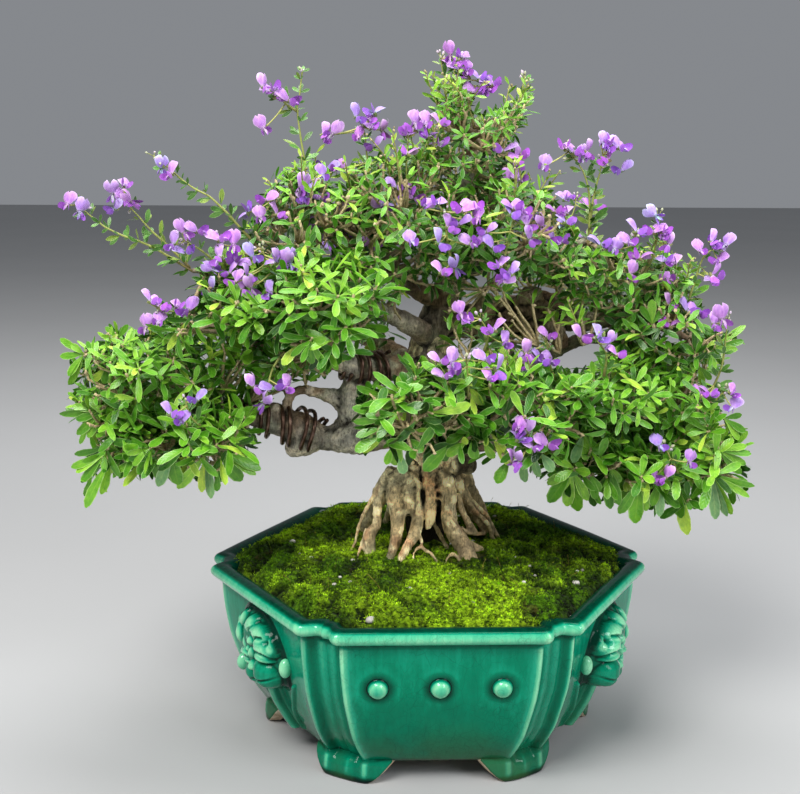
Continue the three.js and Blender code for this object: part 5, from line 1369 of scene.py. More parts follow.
WIRES = {
    "wire_lower_left_a": (LIMBS["leftLow"], 0.36, 0.66, 4, 0.4, 1.1),
    "wire_lower_left_b": (LIMBS["leftLow"], 0.384, 0.684, 4, 0.4, 1.1),
    "wire_mid_left_a": (LIMBS["leftMid"], 0.2, 0.42, 2.6, 0.4, 0.9),
    "wire_mid_left_b": (LIMBS["leftMid"], 0.236, 0.456, 2.6, 0.4, 0.9),
    "wire_neck": (TRUNK, 0.315, 0.345, 1.1, 2.2, 1.2),
}
COPPER = copper_material()
for name, (l, f0, f1, turns, ph, cl) in WIRES.items():
    P = wire_path(l, f0, f1, turns, ph, cl)
    P = P + 0.35 * np.stack([vnoise(P / 9.0, 5), vnoise(P / 9.0, 6), vnoise(P / 9.0, 7)], 1)
    v, q4, t3 = tube(P, np.full(len(P), 1.3), 10)
    b = Bag()
    b.add(v, tri=t3, quad=q4)
    ob = b.make(name.replace("wire_", "training_wire_"), [COPPER])
    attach(ob, "root")
    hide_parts(name)


# ------------------------------------------------------------------ foliage
SPRAYS = {
    "spray_long_left": ([[[-142.0, -28.0, 293.1], [-167.0, -29.5, 308.4], [-186.1, -31.0, 316.0], [-197.0, -32.5, 323.0], [-207.7, -34.0, 332.8]], [[-144.3, -28.0, 295.5], [-156.4, -30.0, 308.5], [-167.9, -32.0, 319.6], [-179.1, -34.0, 334.0]]],
        [[-186.0, -38.0, 341.6], [-179.1, -38.0, 345.5], [-176.0, -38.0, 337.7], [-184.7, -38.0, 332.5], [-211.2, -38.0, 335.2]]),
    "shoot_left_top": ([[[-102.5, -20.0, 304.3], [-128.4, -20.7, 333.0], [-143.8, -21.3, 342.8], [-164.6, -22.0, 359.9]]],
        [[-153.3, -26.0, 352.1]]),
    "spray_left_mid": ([[[-116.6, -40.0, 280.5], [-124.0, -43.0, 297.1], [-125.6, -46.0, 313.4]], [[-124.3, -40.0, 296.8], [-134.7, -43.0, 306.3], [-143.8, -46.0, 313.3]]],
        [[-150.0, -50.0, 313.7], [-136.9, -50.0, 321.0], [-124.5, -50.0, 316.6], [-123.7, -50.0, 306.4], [-128.4, -50.0, 299.0], [-118.7, -50.0, 297.3], [-114.6, -50.0, 303.0], [-128.6, -50.0, 288.1]]),
    "spray_left_inner": ([[[-89.2, -52.0, 284.4], [-95.6, -55.0, 298.4], [-99.8, -58.0, 307.7]]],
        [[-105.1, -62.0, 308.1], [-108.7, -62.0, 296.9], [-106.0, -62.0, 290.7], [-91.7, -62.0, 304.8], [-83.9, -62.0, 304.8], [-94.2, -62.0, 287.9]]),
    "spray_left_edge": ([[[-138.2, -46.0, 268.4], [-149.3, -48.0, 272.2], [-157.0, -50.0, 273.6]]],
        [[-159.1, -54.0, 278.2], [-159.9, -54.0, 269.6], [-149.4, -54.0, 278.2]]),
    "spray_upper_left": ([[[-76.1, -24.0, 316.5], [-86.5, -27.0, 327.1], [-95.5, -30.0, 335.4]], [[-76.1, -24.0, 316.5], [-73.6, -27.0, 332.4], [-74.5, -30.0, 344.6]]],
        [[-98.7, -34.0, 337.8], [-102.3, -34.0, 327.5], [-93.0, -34.0, 329.8], [-79.0, -34.0, 345.9], [-77.3, -34.0, 337.4], [-67.5, -34.0, 338.0], [-66.3, -34.0, 351.7]]),
    "spray_tall_left": ([[[-75.3, -10.0, 334.4], [-78.0, -10.7, 363.8], [-80.6, -11.3, 386.8], [-78.1, -12.0, 409.6]], [[-80.7, -10.0, 385.7], [-87.7, -11.0, 390.2], [-94.5, -12.0, 397.0]]],
        [[-95.4, -16.0, 400.2], [-86.2, -16.0, 394.7], [-100.4, -16.0, 378.6]]),
    "spray_upper_back": ([[[-36.8, 0.0, 328.1], [-39.3, -4.0, 355.1], [-41.8, -8.0, 378.5]], [[-36.8, 0.0, 328.1], [-50.2, -4.0, 319.3], [-58.6, -8.0, 326.1]]],
        [[-46.6, -12.0, 385.9], [-35.4, -12.0, 387.7], [-31.2, -12.0, 378.0], [-44.8, -12.0, 373.8], [-35.3, -12.0, 368.7], [-54.4, -12.0, 330.5], [-65.8, -12.0, 321.0], [-52.0, -12.0, 316.2], [-57.9, -12.0, 355.2], [-60.1, -12.0, 376.0]]),
    "spray_upper_centre": ([[[-12.7, -30.0, 323.0], [-17.6, -30.0, 347.2], [-16.6, -30.0, 371.2]], [[-12.7, -30.0, 323.0], [-2.5, -30.0, 353.0], [-1.6, -30.0, 379.2]]],
        [[-17.4, -34.0, 375.1], [-16.7, -34.0, 364.4], [-23.5, -34.0, 345.6], [-13.0, -34.0, 339.4], [-22.9, -34.0, 334.7], [-7.1, -34.0, 381.9], [-4.7, -34.0, 374.1], [0.9, -34.0, 381.9], [-38.5, -34.0, 311.5]]),
    "spray_apex": ([[[24.5, 0.0, 377.3], [20.6, 0.0, 394.8], [14.2, 0.0, 416.7]], [[25.8, 0.0, 370.2], [10.0, 0.0, 380.7], [6.6, 0.0, 402.2], [4.6, 0.0, 417.8]], [[24.5, 0.0, 377.3], [40.1, 0.0, 382.1], [50.7, 0.0, 393.9], [53.9, 0.0, 407.8]]],
        [[15.6, -4.0, 420.5], [9.7, -4.0, 415.3], [18.7, -4.0, 412.5], [26.5, -4.0, 408.0], [24.3, -4.0, 400.5], [34.3, -4.0, 404.6]]),
    "spray_centre_left": ([[[9.8, -62.0, 294.9], [4.6, -66.0, 312.7], [3.0, -70.0, 331.2]]],
        [[-1.8, -74.0, 338.0], [3.8, -74.0, 325.5], [-1.6, -74.0, 317.2], [-16.0, -74.0, 317.2], [11.4, -74.0, 334.8], [20.4, -74.0, 329.9], [8.1, -74.0, 304.0], [16.2, -74.0, 316.2]]),
    "spray_centre_right": ([[[37.1, -62.0, 291.5], [37.4, -65.0, 311.0], [41.1, -68.0, 329.1]]],
        [[25.7, -72.0, 322.7], [28.7, -72.0, 314.4], [38.3, -72.0, 332.6], [44.9, -72.0, 334.3], [47.9, -72.0, 326.6], [49.2, -72.0, 319.4], [33.4, -72.0, 303.8], [40.2, -72.0, 299.4]]),
    "spray_top_near": ([[[40.5, -18.0, 325.9], [42.2, -20.0, 344.3], [45.1, -22.0, 360.0]]],
        [[39.7, -26.0, 366.4], [49.8, -26.0, 362.4], [47.8, -26.0, 350.3]]),
    "spray_top_right": ([[[94.8, -8.0, 304.9], [94.8, -9.3, 330.4], [90.2, -10.7, 350.1], [79.8, -12.0, 363.6]], [[95.6, -8.0, 317.1], [96.8, -10.0, 338.8], [101.0, -12.0, 361.3]]],
        [[64.4, -16.0, 357.7], [77.2, -16.0, 368.3], [82.1, -16.0, 365.4], [89.8, -16.0, 366.6], [99.2, -16.0, 371.3], [104.6, -16.0, 370.2], [109.4, -16.0, 369.0], [103.8, -16.0, 361.4], [111.8, -16.0, 355.6]]),
    "spray_shoulder": ([[[73.5, -34.0, 300.2], [70.4, -36.0, 313.2], [67.8, -38.0, 327.3]]],
        [[65.2, -42.0, 317.2], [60.9, -42.0, 324.6], [68.2, -42.0, 331.6], [74.2, -42.0, 326.4], [72.9, -42.0, 314.3]]),
    "spray_right_pair": ([[[118.7, -38.0, 280.6], [115.9, -41.0, 301.0], [115.6, -44.0, 317.5]], [[118.3, -38.0, 287.7], [127.5, -41.0, 305.1], [128.0, -44.0, 326.8]]],
        [[114.5, -48.0, 321.8], [110.2, -48.0, 314.9], [102.2, -48.0, 311.4], [117.6, -48.0, 306.3], [112.1, -48.0, 297.6], [125.7, -48.0, 331.0], [129.7, -48.0, 321.3], [134.7, -48.0, 314.4], [131.7, -48.0, 304.0]]),
    "spray_right_tall": ([[[148.2, -30.0, 259.1], [153.8, -31.3, 283.4], [158.9, -32.7, 302.6], [165.9, -34.0, 309.9]], [[150.2, -30.0, 266.4], [144.2, -32.0, 278.7], [141.8, -34.0, 290.9]]],
        [[155.3, -38.0, 309.6], [161.4, -38.0, 315.4], [171.1, -38.0, 313.1], [166.9, -38.0, 303.2], [162.6, -38.0, 296.1], [138.4, -38.0, 292.5], [137.9, -38.0, 278.3], [149.5, -38.0, 274.7], [139.8, -38.0, 265.1]]),
    "spray_right_inner": ([[[97.8, -56.0, 235.9], [97.8, -59.0, 249.5], [89.9, -62.0, 259.3]]],
        [[80.9, -66.0, 263.5], [90.7, -66.0, 263.5], [102.1, -66.0, 252.5]]),
    "spray_right_tip": ([[[167.2, -30.0, 203.4], [171.8, -33.0, 215.3], [176.6, -36.0, 223.4]], [[165.4, -30.0, 213.5], [174.2, -33.0, 237.6], [174.6, -36.0, 266.0]]],
        [[165.1, -40.0, 223.6], [178.3, -40.0, 224.8], [180.1, -40.0, 215.6], [170.1, -40.0, 270.2]]),
    "spray_right_low": ([[[148.9, -50.0, 169.8], [142.4, -54.0, 182.1], [136.0, -58.0, 193.0]]],
        [[130.6, -62.0, 197.6], [135.8, -62.0, 178.8], [149.0, -62.0, 187.9]]),
    "spray_front_right": ([[[53.6, -86.0, 192.2], [50.5, -90.0, 202.6], [47.4, -94.0, 211.6]]],
        [[42.5, -98.0, 210.9], [47.9, -98.0, 216.5], [58.7, -98.0, 208.0], [43.9, -98.0, 200.0]]),
    "spray_front_upper": ([[[25.7, -70.0, 252.6], [27.4, -73.0, 263.4], [22.4, -76.0, 272.9]]],
        [[16.9, -80.0, 274.0], [30.5, -80.0, 269.0], [35.1, -80.0, 262.2]]),
    "spray_front_centre": ([[[15.3, -88.0, 229.7], [14.7, -92.0, 241.8], [13.1, -96.0, 252.6]]],
        [[4.5, -100.0, 255.0], [0.8, -100.0, 246.2], [23.5, -100.0, 256.1], [24.9, -100.0, 245.6]]),
    "spray_front_gap": ([[[74.3, -44.0, 226.4], [68.0, -47.0, 239.0], [64.1, -50.0, 256.2]]],
        [[51.3, -54.0, 252.2], [52.7, -54.0, 243.3], [65.5, -54.0, 246.3], [63.9, -54.0, 261.0]]),
    "spray_left_front": ([[[-87.5, -70.0, 252.6], [-94.2, -73.0, 242.9], [-96.4, -76.0, 233.1]]],
        [[-104.4, -80.0, 237.9], [-87.2, -80.0, 237.3], [-97.9, -80.0, 228.2]]),
    "spray_left_low": ([[[-133.1, -64.0, 206.1], [-140.5, -67.0, 213.9], [-143.3, -70.0, 223.9]]],
        [[-151.8, -74.0, 220.1], [-136.5, -74.0, 228.2], [-144.7, -74.0, 215.5]]),
    "spray_back_left": ([[[-70, 96, 270], [-78, 104, 296], [-84, 110, 316]]],
        [[-92, 112, 318], [-76, 116, 312], [-86, 104, 300], [-66, 106, 298]]),
    "spray_back_right": ([[[96, 98, 284], [102, 106, 308], [108, 110, 330]]],
        [[100, 112, 332], [116, 112, 326], [96, 108, 314], [112, 102, 306]]),
}
CROWN = [(59, 338), (76, 337), (95, 332), (116, 322), (140, 329), (157, 324), (165, 312), (182, 308), (192, 296), (176, 289), (192, 274), (206, 258), (236, 240), (238, 228), (254, 214), (258, 196),
         (276, 166), (296, 160), (334, 158), (352, 150), (380, 148), (404, 150), (420, 138), (430, 120), (430, 88), (438, 62), (462, 72), (470, 92), (490, 108), (534, 90), (540, 118), (520, 138), (522, 160),
         (534, 188), (556, 188), (574, 226), (590, 240), (620, 240), (650, 248), (672, 252), (686, 274), (708, 284), (704, 308), (706, 326), (745, 322), (748, 342), (722, 364), (712, 384), (722, 408),
         (744, 414), (750, 440), (753, 456), (748, 474), (758, 490), (748, 500), (740, 497), (733, 520), (722, 500), (714, 524), (704, 504), (690, 537), (680, 520), (672, 500), (660, 520), (650, 502), (640, 526), (628, 500), (616, 518), (606, 496),
         (598, 514), (588, 496), (575, 514), (562, 492), (549, 504), (546, 486), (538, 474), (523, 484), (500, 484), (492, 472), (470, 466), (452, 458), (422, 471), (402, 475), (383, 466), (378, 450), (356, 453), (350, 424), (346, 400),
         (352, 382), (338, 370), (318, 378), (300, 376), (280, 372), (272, 392), (272, 414), (262, 434), (262, 466), (250, 480), (240, 470), (228, 486), (222, 480), (214, 504), (204, 482), (198, 496), (188, 480), (176, 492), (168, 476), (157, 489), (146, 474), (130, 486), (118, 478), (104, 497), (96, 484), (80, 511), (76, 486), (70, 466), (84, 436),
         (62, 416), (66, 372), (56, 352)]
GAPS = [
    [(264, 430), (268, 404), (278, 380), (300, 382), (318, 384), (334, 374), (356, 360), (374, 354), (384, 362), (372, 374), (352, 392), (350, 420), (354, 452), (340, 462), (300, 462), (268, 455)],
    [(474, 304), (500, 292), (545, 288), (556, 302), (548, 324), (520, 336), (484, 333)],
    [(530, 318), (558, 312), (576, 318), (598, 326), (594, 336), (604, 346), (596, 360), (574, 370), (548, 364), (530, 345)],
    [(396, 304), (420, 300), (462, 304), (460, 318), (430, 332), (398, 342), (388, 330)],
    [(204, 346), (232, 344), (262, 352), (268, 362), (240, 366), (206, 358)],
    [(376, 358), (398, 354), (404, 368), (392, 378), (376, 374)],
]


def inside(poly, p):
    poly = np.asarray(poly, float)
    x, y = p[:, 0], p[:, 1]
    c = np.zeros(len(p), bool)
    j = len(poly) - 1
    for i in range(len(poly)):
        xi, yi = poly[i]
        xj, yj = poly[j]
        hit = ((yi > y) != (yj > y)) & (x < (xj - xi) * (y - yi) / ((yj - yi) if yj != yi else 1e-9) + xi)
        c ^= hit
        j = i
    return c


def edge_dist(poly, p):
    poly = np.asarray(poly, float)
    d = np.full(len(p), 1e9)
    for i in range(len(poly)):
        a, b = poly[i - 1], poly[i]
        ab = b - a
        t = np.clip(((p - a) @ ab) / max(ab @ ab, 1e-9), 0, 1)
        d = np.minimum(d, np.hypot(*(p - a - t[:, None] * ab).T))
    return d


def crown_margin(p):
    """pixels inside the crown's outline, negative outside it or in a gap"""
    s = np.where(inside(CROWN, p), 1, -1) * edge_dist(CROWN, p)
    for g in GAPS:
        q = np.where(inside(g, p), -1, 1) * edge_dist(g, p)
        s = np.minimum(s, q)
    return s


LEAF_T = np.array([0, 0.17, 0.42, 0.68, 0.89, 1.0])
LEAF_W = np.array([[0.12, 0.30, 0.74, 1.0, 0.78, 0.20], [0.12, 0.44, 0.90, 1.0, 0.58, 0.08]])
NLEAF_V = 18


def leaves(B, D, S, L, W, bend, fold, shape, col, twist=None):
    """many leaflets at once: base, direction, side vector, length, width"""
    n = len(B)
    N = np.cross(S, D)
    N /= np.maximum(np.linalg.norm(N, axis=1, keepdims=True), 1e-9)
    S = np.cross(D, N)
    V = np.zeros((n, 6, 3, 3))
    k = np.where(np.abs(bend) < 1e-3, 1e-3, bend)
    tw = np.zeros(n) if twist is None else twist
    for j, t in enumerate(LEAF_T):
        al = (np.sin(k * t) / k * L)[:, None] * D - ((1 - np.cos(k * t)) / k * L)[:, None] * N
        w = (LEAF_W[shape, j] * W / 2)[:, None]
        a = tw * t
        s2 = np.cos(a)[:, None] * S + np.sin(a)[:, None] * N
        n2 = -np.sin(a)[:, None] * S + np.cos(a)[:, None] * N
        for c in (-1, 0, 1):
            side = c * w * np.cos(fold)[:, None] * s2 + abs(c) * w * np.sin(fold)[:, None] * n2
            V[:, j, c + 1] = B + al + side
    o = np.arange(n)[:, None] * NLEAF_V
    quad = []
    for j in range(5):
        for c in (0, 1):
            a = j * 3 + c
            quad.append(np.stack([o[:, 0] + a, o[:, 0] + a + 1, o[:, 0] + a + 4, o[:, 0] + a + 3], 1))
    quad = np.stack(quad, 1).reshape(-1, 4)
    luv = np.zeros((n, 6, 3, 2))
    luv[..., 0] = np.array([1, 0, 1])[None, None, :]
    luv[..., 1] = LEAF_T[None, :, None]
    cc = np.repeat(col[:, None, :], 18, 1).reshape(n, 6, 3, 3).copy()
    cc[:, 0] = cc[:, 0] * 0.5 + np.array([0.30, 0.36, 0.10]) * 0.5
    return V.reshape(-1, 3), quad, luv.reshape(-1, 2), cc.reshape(-1, 3)


def leaf_material():
    m = Mat("leaf")
    c = m.attr("col")
    luv = m.sep(m.attr("luv", "Vector"))
    u, v = luv[0], luv[1]
    n = m.noise(260, 3, 0.6)
    c = m.mix(m.maprange(n, 0.35, 0.65, 0.0, 0.6), m.mix(1.0, c, (0.70, 0.80, 0.75, 1), "MULTIPLY"), m.mix(1.0, c, (1.30, 1.16, 1.0, 1), "MULTIPLY"))
    vein = m.math("SINE", m.math("MULTIPLY_ADD", v, 46.0, m.math("MULTIPLY", u, -9.0)))
    c = m.mix(m.maprange(vein, 0.75, 1.0, 0.0, 0.16), c, m.mix(1.0, c, (1.7, 1.6, 1.8, 1), "MULTIPLY"))
    rib = m.math("MULTIPLY", m.maprange(u, 0.13, 0.02, 0.0, 0.55), m.maprange(v, 1.0, 0.2, 0.2, 1.0))
    c = m.mix(rib, c, m.mix(0.35, m.mix(1.0, c, (2.6, 1.7, 2.0, 1), "MULTIPLY"), (0.36, 0.52, 0.10, 1)))
    edge = m.math("MULTIPLY", m.maprange(u, 0.78, 0.95, 0.0, 0.75), m.maprange(v, 0.10, 0.3, 0.0, 1.0))
    c = m.mix(edge, c, m.mix(0.55, m.mix(1.0, c, (2.4, 1.7, 3.0, 1), "MULTIPLY"), (0.52, 0.70, 0.28, 1)))
    h = m.math("ADD", m.math("MULTIPLY", vein, 0.25), m.noise(700, 2, 0.5))
    m.set(color=c, rough=m.maprange(n, 0.3, 0.7, 0.26, 0.40), spec=0.45, normal=m.bump(h, 0.25, 0.0005), sss=0.0)
    return m.m


def twig_material():
    m = Mat("twig")
    c = m.attr("col")
    n = m.noise(620, 4, 0.65)
    c = m.mix(m.maprange(n, 0.35, 0.65), m.mix(1.0, c, (0.55, 0.5, 0.45, 1), "MULTIPLY"), m.mix(1.0, c, (1.3, 1.25, 1.15, 1), "MULTIPLY"))
    m.set(color=c, rough=0.8, spec=0.3, normal=m.bump(n, 0.6, 0.0005))
    return m.m


LEAF, TWIG = leaf_material(), twig_material()
BLOOMS = np.array([p for _, bl in SPRAYS.values() for p in bl], float)
BLOOM_PX = project(BLOOMS)


def hides_bloom(P, pad=6.5):
    q = project(P)
    out = np.zeros(len(P), bool)
    for b in BLOOM_PX:
        near = (np.abs(q[:, 0] - b[0]) < pad) & (q[:, 1] - b[1] < pad) & (b[1] - q[:, 1] < pad + 5) & (q[:, 2] < b[2] + 3.0)
        out |= near
    return out


# leaves that show singly along the crown's outline: base, tip, width, tone, foot of the whorl
FANS = [
    [-191.1, -50.0, 184.8, -209.6, -53.0, 156.3, 6.8, 1.0, -191.3, -49.0, 184.5], [-191.1, -50.0, 184.8, -195.4, -53.0, 164.2, 6.8, 2.0, -191.3, -49.0, 184.5], [-194.6, -50.0, 188.0, -214.3, -53.0, 180.6, 5.3, 1.0, -194.8, -49.0, 187.8],
    [-194.6, -50.0, 188.0, -212.1, -53.0, 178.7, 5.3, 2.0, -194.8, -49.0, 187.8], [-194.6, -50.0, 188.0, -208.9, -53.0, 171.7, 5.3, 1.0, -194.8, -49.0, 187.8], [-166.0, -50.0, 187.9, -188.6, -53.0, 178.6, 5.4, 1.0, -166.2, -49.0, 187.7],
    [-166.0, -50.0, 187.9, -185.4, -53.0, 170.2, 6.3, 3.0, -166.2, -49.0, 187.7], [-155.0, -50.0, 189.5, -163.5, -53.0, 169.2, 7.2, 4.0, -155.2, -49.0, 189.3], [-155.0, -50.0, 189.5, -152.7, -53.0, 169.1, 9.0, 1.0, -155.2, -49.0, 189.3],
    [-135.5, -50.0, 187.6, -152.8, -53.0, 166.3, 7.2, 2.0, -135.6, -49.0, 187.4], [-135.5, -50.0, 187.6, -138.5, -53.0, 164.9, 5.9, 3.0, -135.6, -49.0, 187.4], [-135.5, -50.0, 187.6, -131.4, -53.0, 161.6, 6.5, 4.0, -135.6, -49.0, 187.4],
    [-126.5, -50.0, 189.7, -115.4, -53.0, 170.8, 9.4, 1.0, -126.6, -49.0, 189.4], [-126.5, -50.0, 189.7, -102.6, -53.0, 180.1, 7.7, 1.0, -126.6, -49.0, 189.4], [-126.5, -50.0, 189.7, -105.9, -53.0, 176.4, 5.9, 2.0, -126.6, -49.0, 189.4],
    [-198.3, -30.0, 209.9, -214.3, -33.0, 195.6, 6.0, 1.0, -198.5, -29.0, 209.7], [-198.3, -30.0, 209.9, -208.0, -33.0, 193.6, 5.4, 2.0, -198.5, -29.0, 209.7], [-198.3, -30.0, 209.9, -223.7, -33.0, 208.2, 5.4, 1.0, -198.5, -29.0, 209.7],
    [-198.3, -30.0, 209.9, -216.6, -33.0, 213.8, 5.4, 2.0, -198.5, -29.0, 209.7], [-198.3, -30.0, 209.9, -213.9, -33.0, 205.0, 5.4, 1.0, -198.5, -29.0, 209.7], [-208.0, -30.0, 244.5, -218.0, -33.0, 232.0, 5.0, 1.0, -208.2, -29.0, 244.4],
    [-208.0, -30.0, 244.5, -216.1, -33.0, 225.0, 5.0, 2.0, -208.2, -29.0, 244.4], [-208.0, -30.0, 244.5, -221.0, -33.0, 254.0, 4.7, 1.0, -208.2, -29.0, 244.4], [-208.0, -30.0, 244.5, -214.4, -33.0, 250.8, 4.7, 2.0, -208.2, -29.0, 244.4],
    [-208.0, -30.0, 244.5, -221.5, -33.0, 243.4, 4.7, 1.0, -208.2, -29.0, 244.4], [-194.1, -32.0, 237.8, -203.0, -35.0, 228.2, 4.7, 3.0, -194.3, -31.0, 237.6], [-194.1, -32.0, 237.8, -196.0, -35.0, 227.4, 4.7, 1.0, -194.3, -31.0, 237.6],
    [-141.3, -50.0, 269.7, -156.0, -53.0, 251.0, 4.9, 3.0, -141.5, -49.0, 269.6], [-188.0, -30.0, 253.7, -187.4, -33.0, 264.7, 4.1, 2.0, -188.2, -29.0, 253.5], [-188.0, -30.0, 253.7, -193.8, -33.0, 261.2, 4.1, 1.0, -188.2, -29.0, 253.5],
    [-188.0, -30.0, 253.7, -180.9, -33.0, 262.4, 4.1, 1.0, -188.2, -29.0, 253.5], [82.5, -48.0, 177.0, 68.2, -51.0, 157.5, 9.0, 1.0, 82.7, -47.0, 176.8], [82.5, -48.0, 177.0, 79.6, -51.0, 154.1, 8.1, 2.0, 82.7, -47.0, 176.8],
    [82.5, -48.0, 177.0, 85.1, -51.0, 150.7, 9.6, 1.0, 82.7, -47.0, 176.8], [82.5, -48.0, 177.0, 92.4, -51.0, 158.6, 6.6, 2.0, 82.7, -47.0, 176.8], [93.5, -48.0, 174.5, 99.7, -51.0, 164.1, 6.0, 1.0, 93.7, -47.0, 174.2],
    [93.5, -48.0, 174.5, 97.3, -51.0, 159.6, 6.0, 1.0, 93.7, -47.0, 174.2], [104.7, -48.0, 179.8, 111.5, -51.0, 155.6, 6.6, 1.0, 104.9, -47.0, 179.5], [104.7, -48.0, 179.8, 111.9, -51.0, 169.7, 5.4, 2.0, 104.9, -47.0, 179.5],
    [123.9, -48.0, 170.6, 112.3, -51.0, 148.9, 7.2, 1.0, 124.1, -47.0, 170.4], [123.9, -48.0, 170.6, 121.2, -51.0, 143.8, 10.2, 1.0, 124.1, -47.0, 170.4], [123.9, -48.0, 170.6, 127.7, -51.0, 151.5, 6.6, 2.0, 124.1, -47.0, 170.4],
    [136.0, -48.0, 170.6, 136.7, -51.0, 148.2, 6.3, 4.0, 136.3, -47.0, 170.3], [136.0, -48.0, 170.6, 131.2, -51.0, 155.2, 6.0, 1.0, 136.3, -47.0, 170.3], [149.3, -40.0, 165.7, 150.5, -43.0, 144.5, 8.5, 1.0, 149.6, -39.0, 165.5],
    [149.3, -40.0, 165.7, 157.9, -43.0, 150.1, 6.7, 1.0, 149.6, -39.0, 165.5], [149.3, -40.0, 165.7, 155.5, -43.0, 133.6, 8.8, 3.0, 149.6, -39.0, 165.5], [171.1, -36.0, 170.9, 174.4, -39.0, 141.4, 7.4, 4.0, 171.4, -35.0, 170.6],
    [171.1, -36.0, 170.9, 180.4, -39.0, 143.1, 6.1, 4.0, 171.4, -35.0, 170.6], [171.1, -36.0, 170.9, 183.1, -39.0, 144.9, 8.6, 2.0, 171.4, -35.0, 170.6], [171.1, -36.0, 170.9, 198.7, -39.0, 161.2, 4.6, 1.0, 171.4, -35.0, 170.6],
    [171.1, -36.0, 170.9, 194.5, -39.0, 156.7, 4.6, 2.0, 171.4, -35.0, 170.6], [175.2, -32.0, 185.0, 190.6, -35.0, 168.6, 5.5, 1.0, 175.5, -31.0, 184.7], [175.2, -32.0, 185.0, 192.9, -35.0, 175.4, 5.2, 2.0, 175.5, -31.0, 184.7],
    [175.2, -32.0, 185.0, 195.2, -35.0, 183.3, 4.9, 1.0, 175.5, -31.0, 184.7], [175.2, -32.0, 185.0, 192.0, -35.0, 188.4, 4.9, 2.0, 175.5, -31.0, 184.7], [179.5, -26.0, 203.7, 193.0, -29.0, 195.4, 4.9, 1.0, 179.9, -25.0, 203.5],
    [179.5, -26.0, 203.7, 190.5, -29.0, 190.5, 4.9, 2.0, 179.9, -25.0, 203.5], [179.5, -26.0, 203.7, 189.6, -29.0, 206.3, 4.6, 1.0, 179.9, -25.0, 203.5], [171.3, -24.0, 247.1, 189.4, -27.0, 252.2, 4.6, 1.0, 171.6, -23.0, 246.9],
    [171.3, -24.0, 247.1, 185.4, -27.0, 246.6, 4.6, 2.0, 171.6, -23.0, 246.9], [171.3, -24.0, 247.1, 188.8, -27.0, 261.6, 4.6, 2.0, 171.6, -23.0, 246.9], [171.3, -24.0, 247.1, 176.0, -27.0, 236.5, 4.6, 1.0, 171.6, -23.0, 246.9],
    [162.7, -24.0, 235.9, 170.0, -27.0, 227.8, 4.6, 1.0, 163.0, -23.0, 235.7], [162.7, -24.0, 235.9, 165.0, -27.0, 224.1, 4.6, 2.0, 163.0, -23.0, 235.7], [130.0, -34.0, 263.3, 128.6, -37.0, 278.1, 5.7, 2.0, 130.3, -33.0, 263.2],
    [130.0, -34.0, 263.3, 122.2, -37.0, 274.5, 4.8, 1.0, 130.3, -33.0, 263.2], [130.0, -34.0, 263.3, 136.0, -37.0, 272.7, 4.8, 1.0, 130.3, -33.0, 263.2], [154.8, -20.0, 277.2, 166.3, -23.0, 285.4, 4.2, 1.0, 155.0, -19.0, 277.0],
    [154.8, -20.0, 277.2, 160.6, -23.0, 289.1, 4.2, 2.0, 155.0, -19.0, 277.0], [154.8, -20.0, 277.2, 148.6, -23.0, 286.6, 3.9, 1.0, 155.0, -19.0, 277.0], [88.9, -48.0, 199.8, 91.3, -51.0, 183.4, 7.1, 2.0, 89.1, -47.0, 199.6],
    [88.9, -48.0, 199.8, 82.4, -51.0, 182.2, 6.6, 4.0, 89.1, -47.0, 199.6], [88.9, -48.0, 199.8, 98.4, -51.0, 187.0, 6.6, 1.0, 89.1, -47.0, 199.6], [-20.2, -84.0, 229.8, -36.4, -87.0, 244.8, 4.8, 1.0, -20.2, -83.0, 229.6],
    [-20.2, -84.0, 229.8, -25.0, -87.0, 240.9, 4.8, 2.0, -20.2, -83.0, 229.6], [-20.2, -84.0, 229.8, -36.0, -87.0, 235.9, 3.5, 2.0, -20.2, -83.0, 229.6], [-18.7, -84.0, 232.1, -5.9, -87.0, 239.7, 6.4, 1.0, -20.2, -83.0, 229.6],
    [-17.1, -84.0, 230.9, -2.8, -87.0, 234.3, 3.1, 4.0, -20.2, -83.0, 229.6], [-16.3, -84.0, 225.8, -14.8, -87.0, 214.5, 8.6, 2.0, -20.2, -83.0, 229.6], [-23.3, -84.0, 228.2, -33.7, -87.0, 225.0, 6.9, 2.0, -20.2, -83.0, 229.6],
    [-30.2, -84.0, 230.2, -47.0, -87.0, 234.3, 6.0, 1.0, -20.2, -83.0, 229.6], [-23.4, -86.0, 206.6, -24.9, -89.0, 190.5, 8.6, 2.0, -22.4, -85.0, 208.7], [-26.6, -86.0, 201.8, -30.3, -89.0, 191.9, 4.9, 1.0, -22.4, -85.0, 208.7],
    [-22.2, -86.0, 197.9, -20.2, -89.0, 186.1, 6.5, 4.0, -22.4, -85.0, 208.7], [-18.6, -86.0, 206.6, -9.3, -89.0, 199.2, 6.9, 1.0, -22.4, -85.0, 208.7], [-18.7, -86.0, 222.4, -23.5, -89.0, 213.5, 4.9, 3.0, -22.4, -85.0, 208.7],
    [-19.4, -86.0, 209.0, -5.6, -89.0, 211.2, 4.8, 2.0, -22.4, -85.0, 208.7], [-34.0, -86.0, 207.0, -47.8, -89.0, 200.1, 7.1, 1.0, -22.4, -85.0, 208.7], [-30.1, -86.0, 208.2, -42.5, -89.0, 197.8, 4.3, 3.0, -22.4, -85.0, 208.7],
    [-31.7, -86.0, 216.9, -48.2, -89.0, 216.2, 5.1, 1.0, -22.4, -85.0, 208.7], [-31.7, -86.0, 212.2, -47.4, -89.0, 209.8, 5.5, 1.0, -22.4, -85.0, 208.7], [-31.7, -86.0, 219.1, -48.4, -89.0, 225.6, 5.7, 1.0, -22.4, -85.0, 208.7],
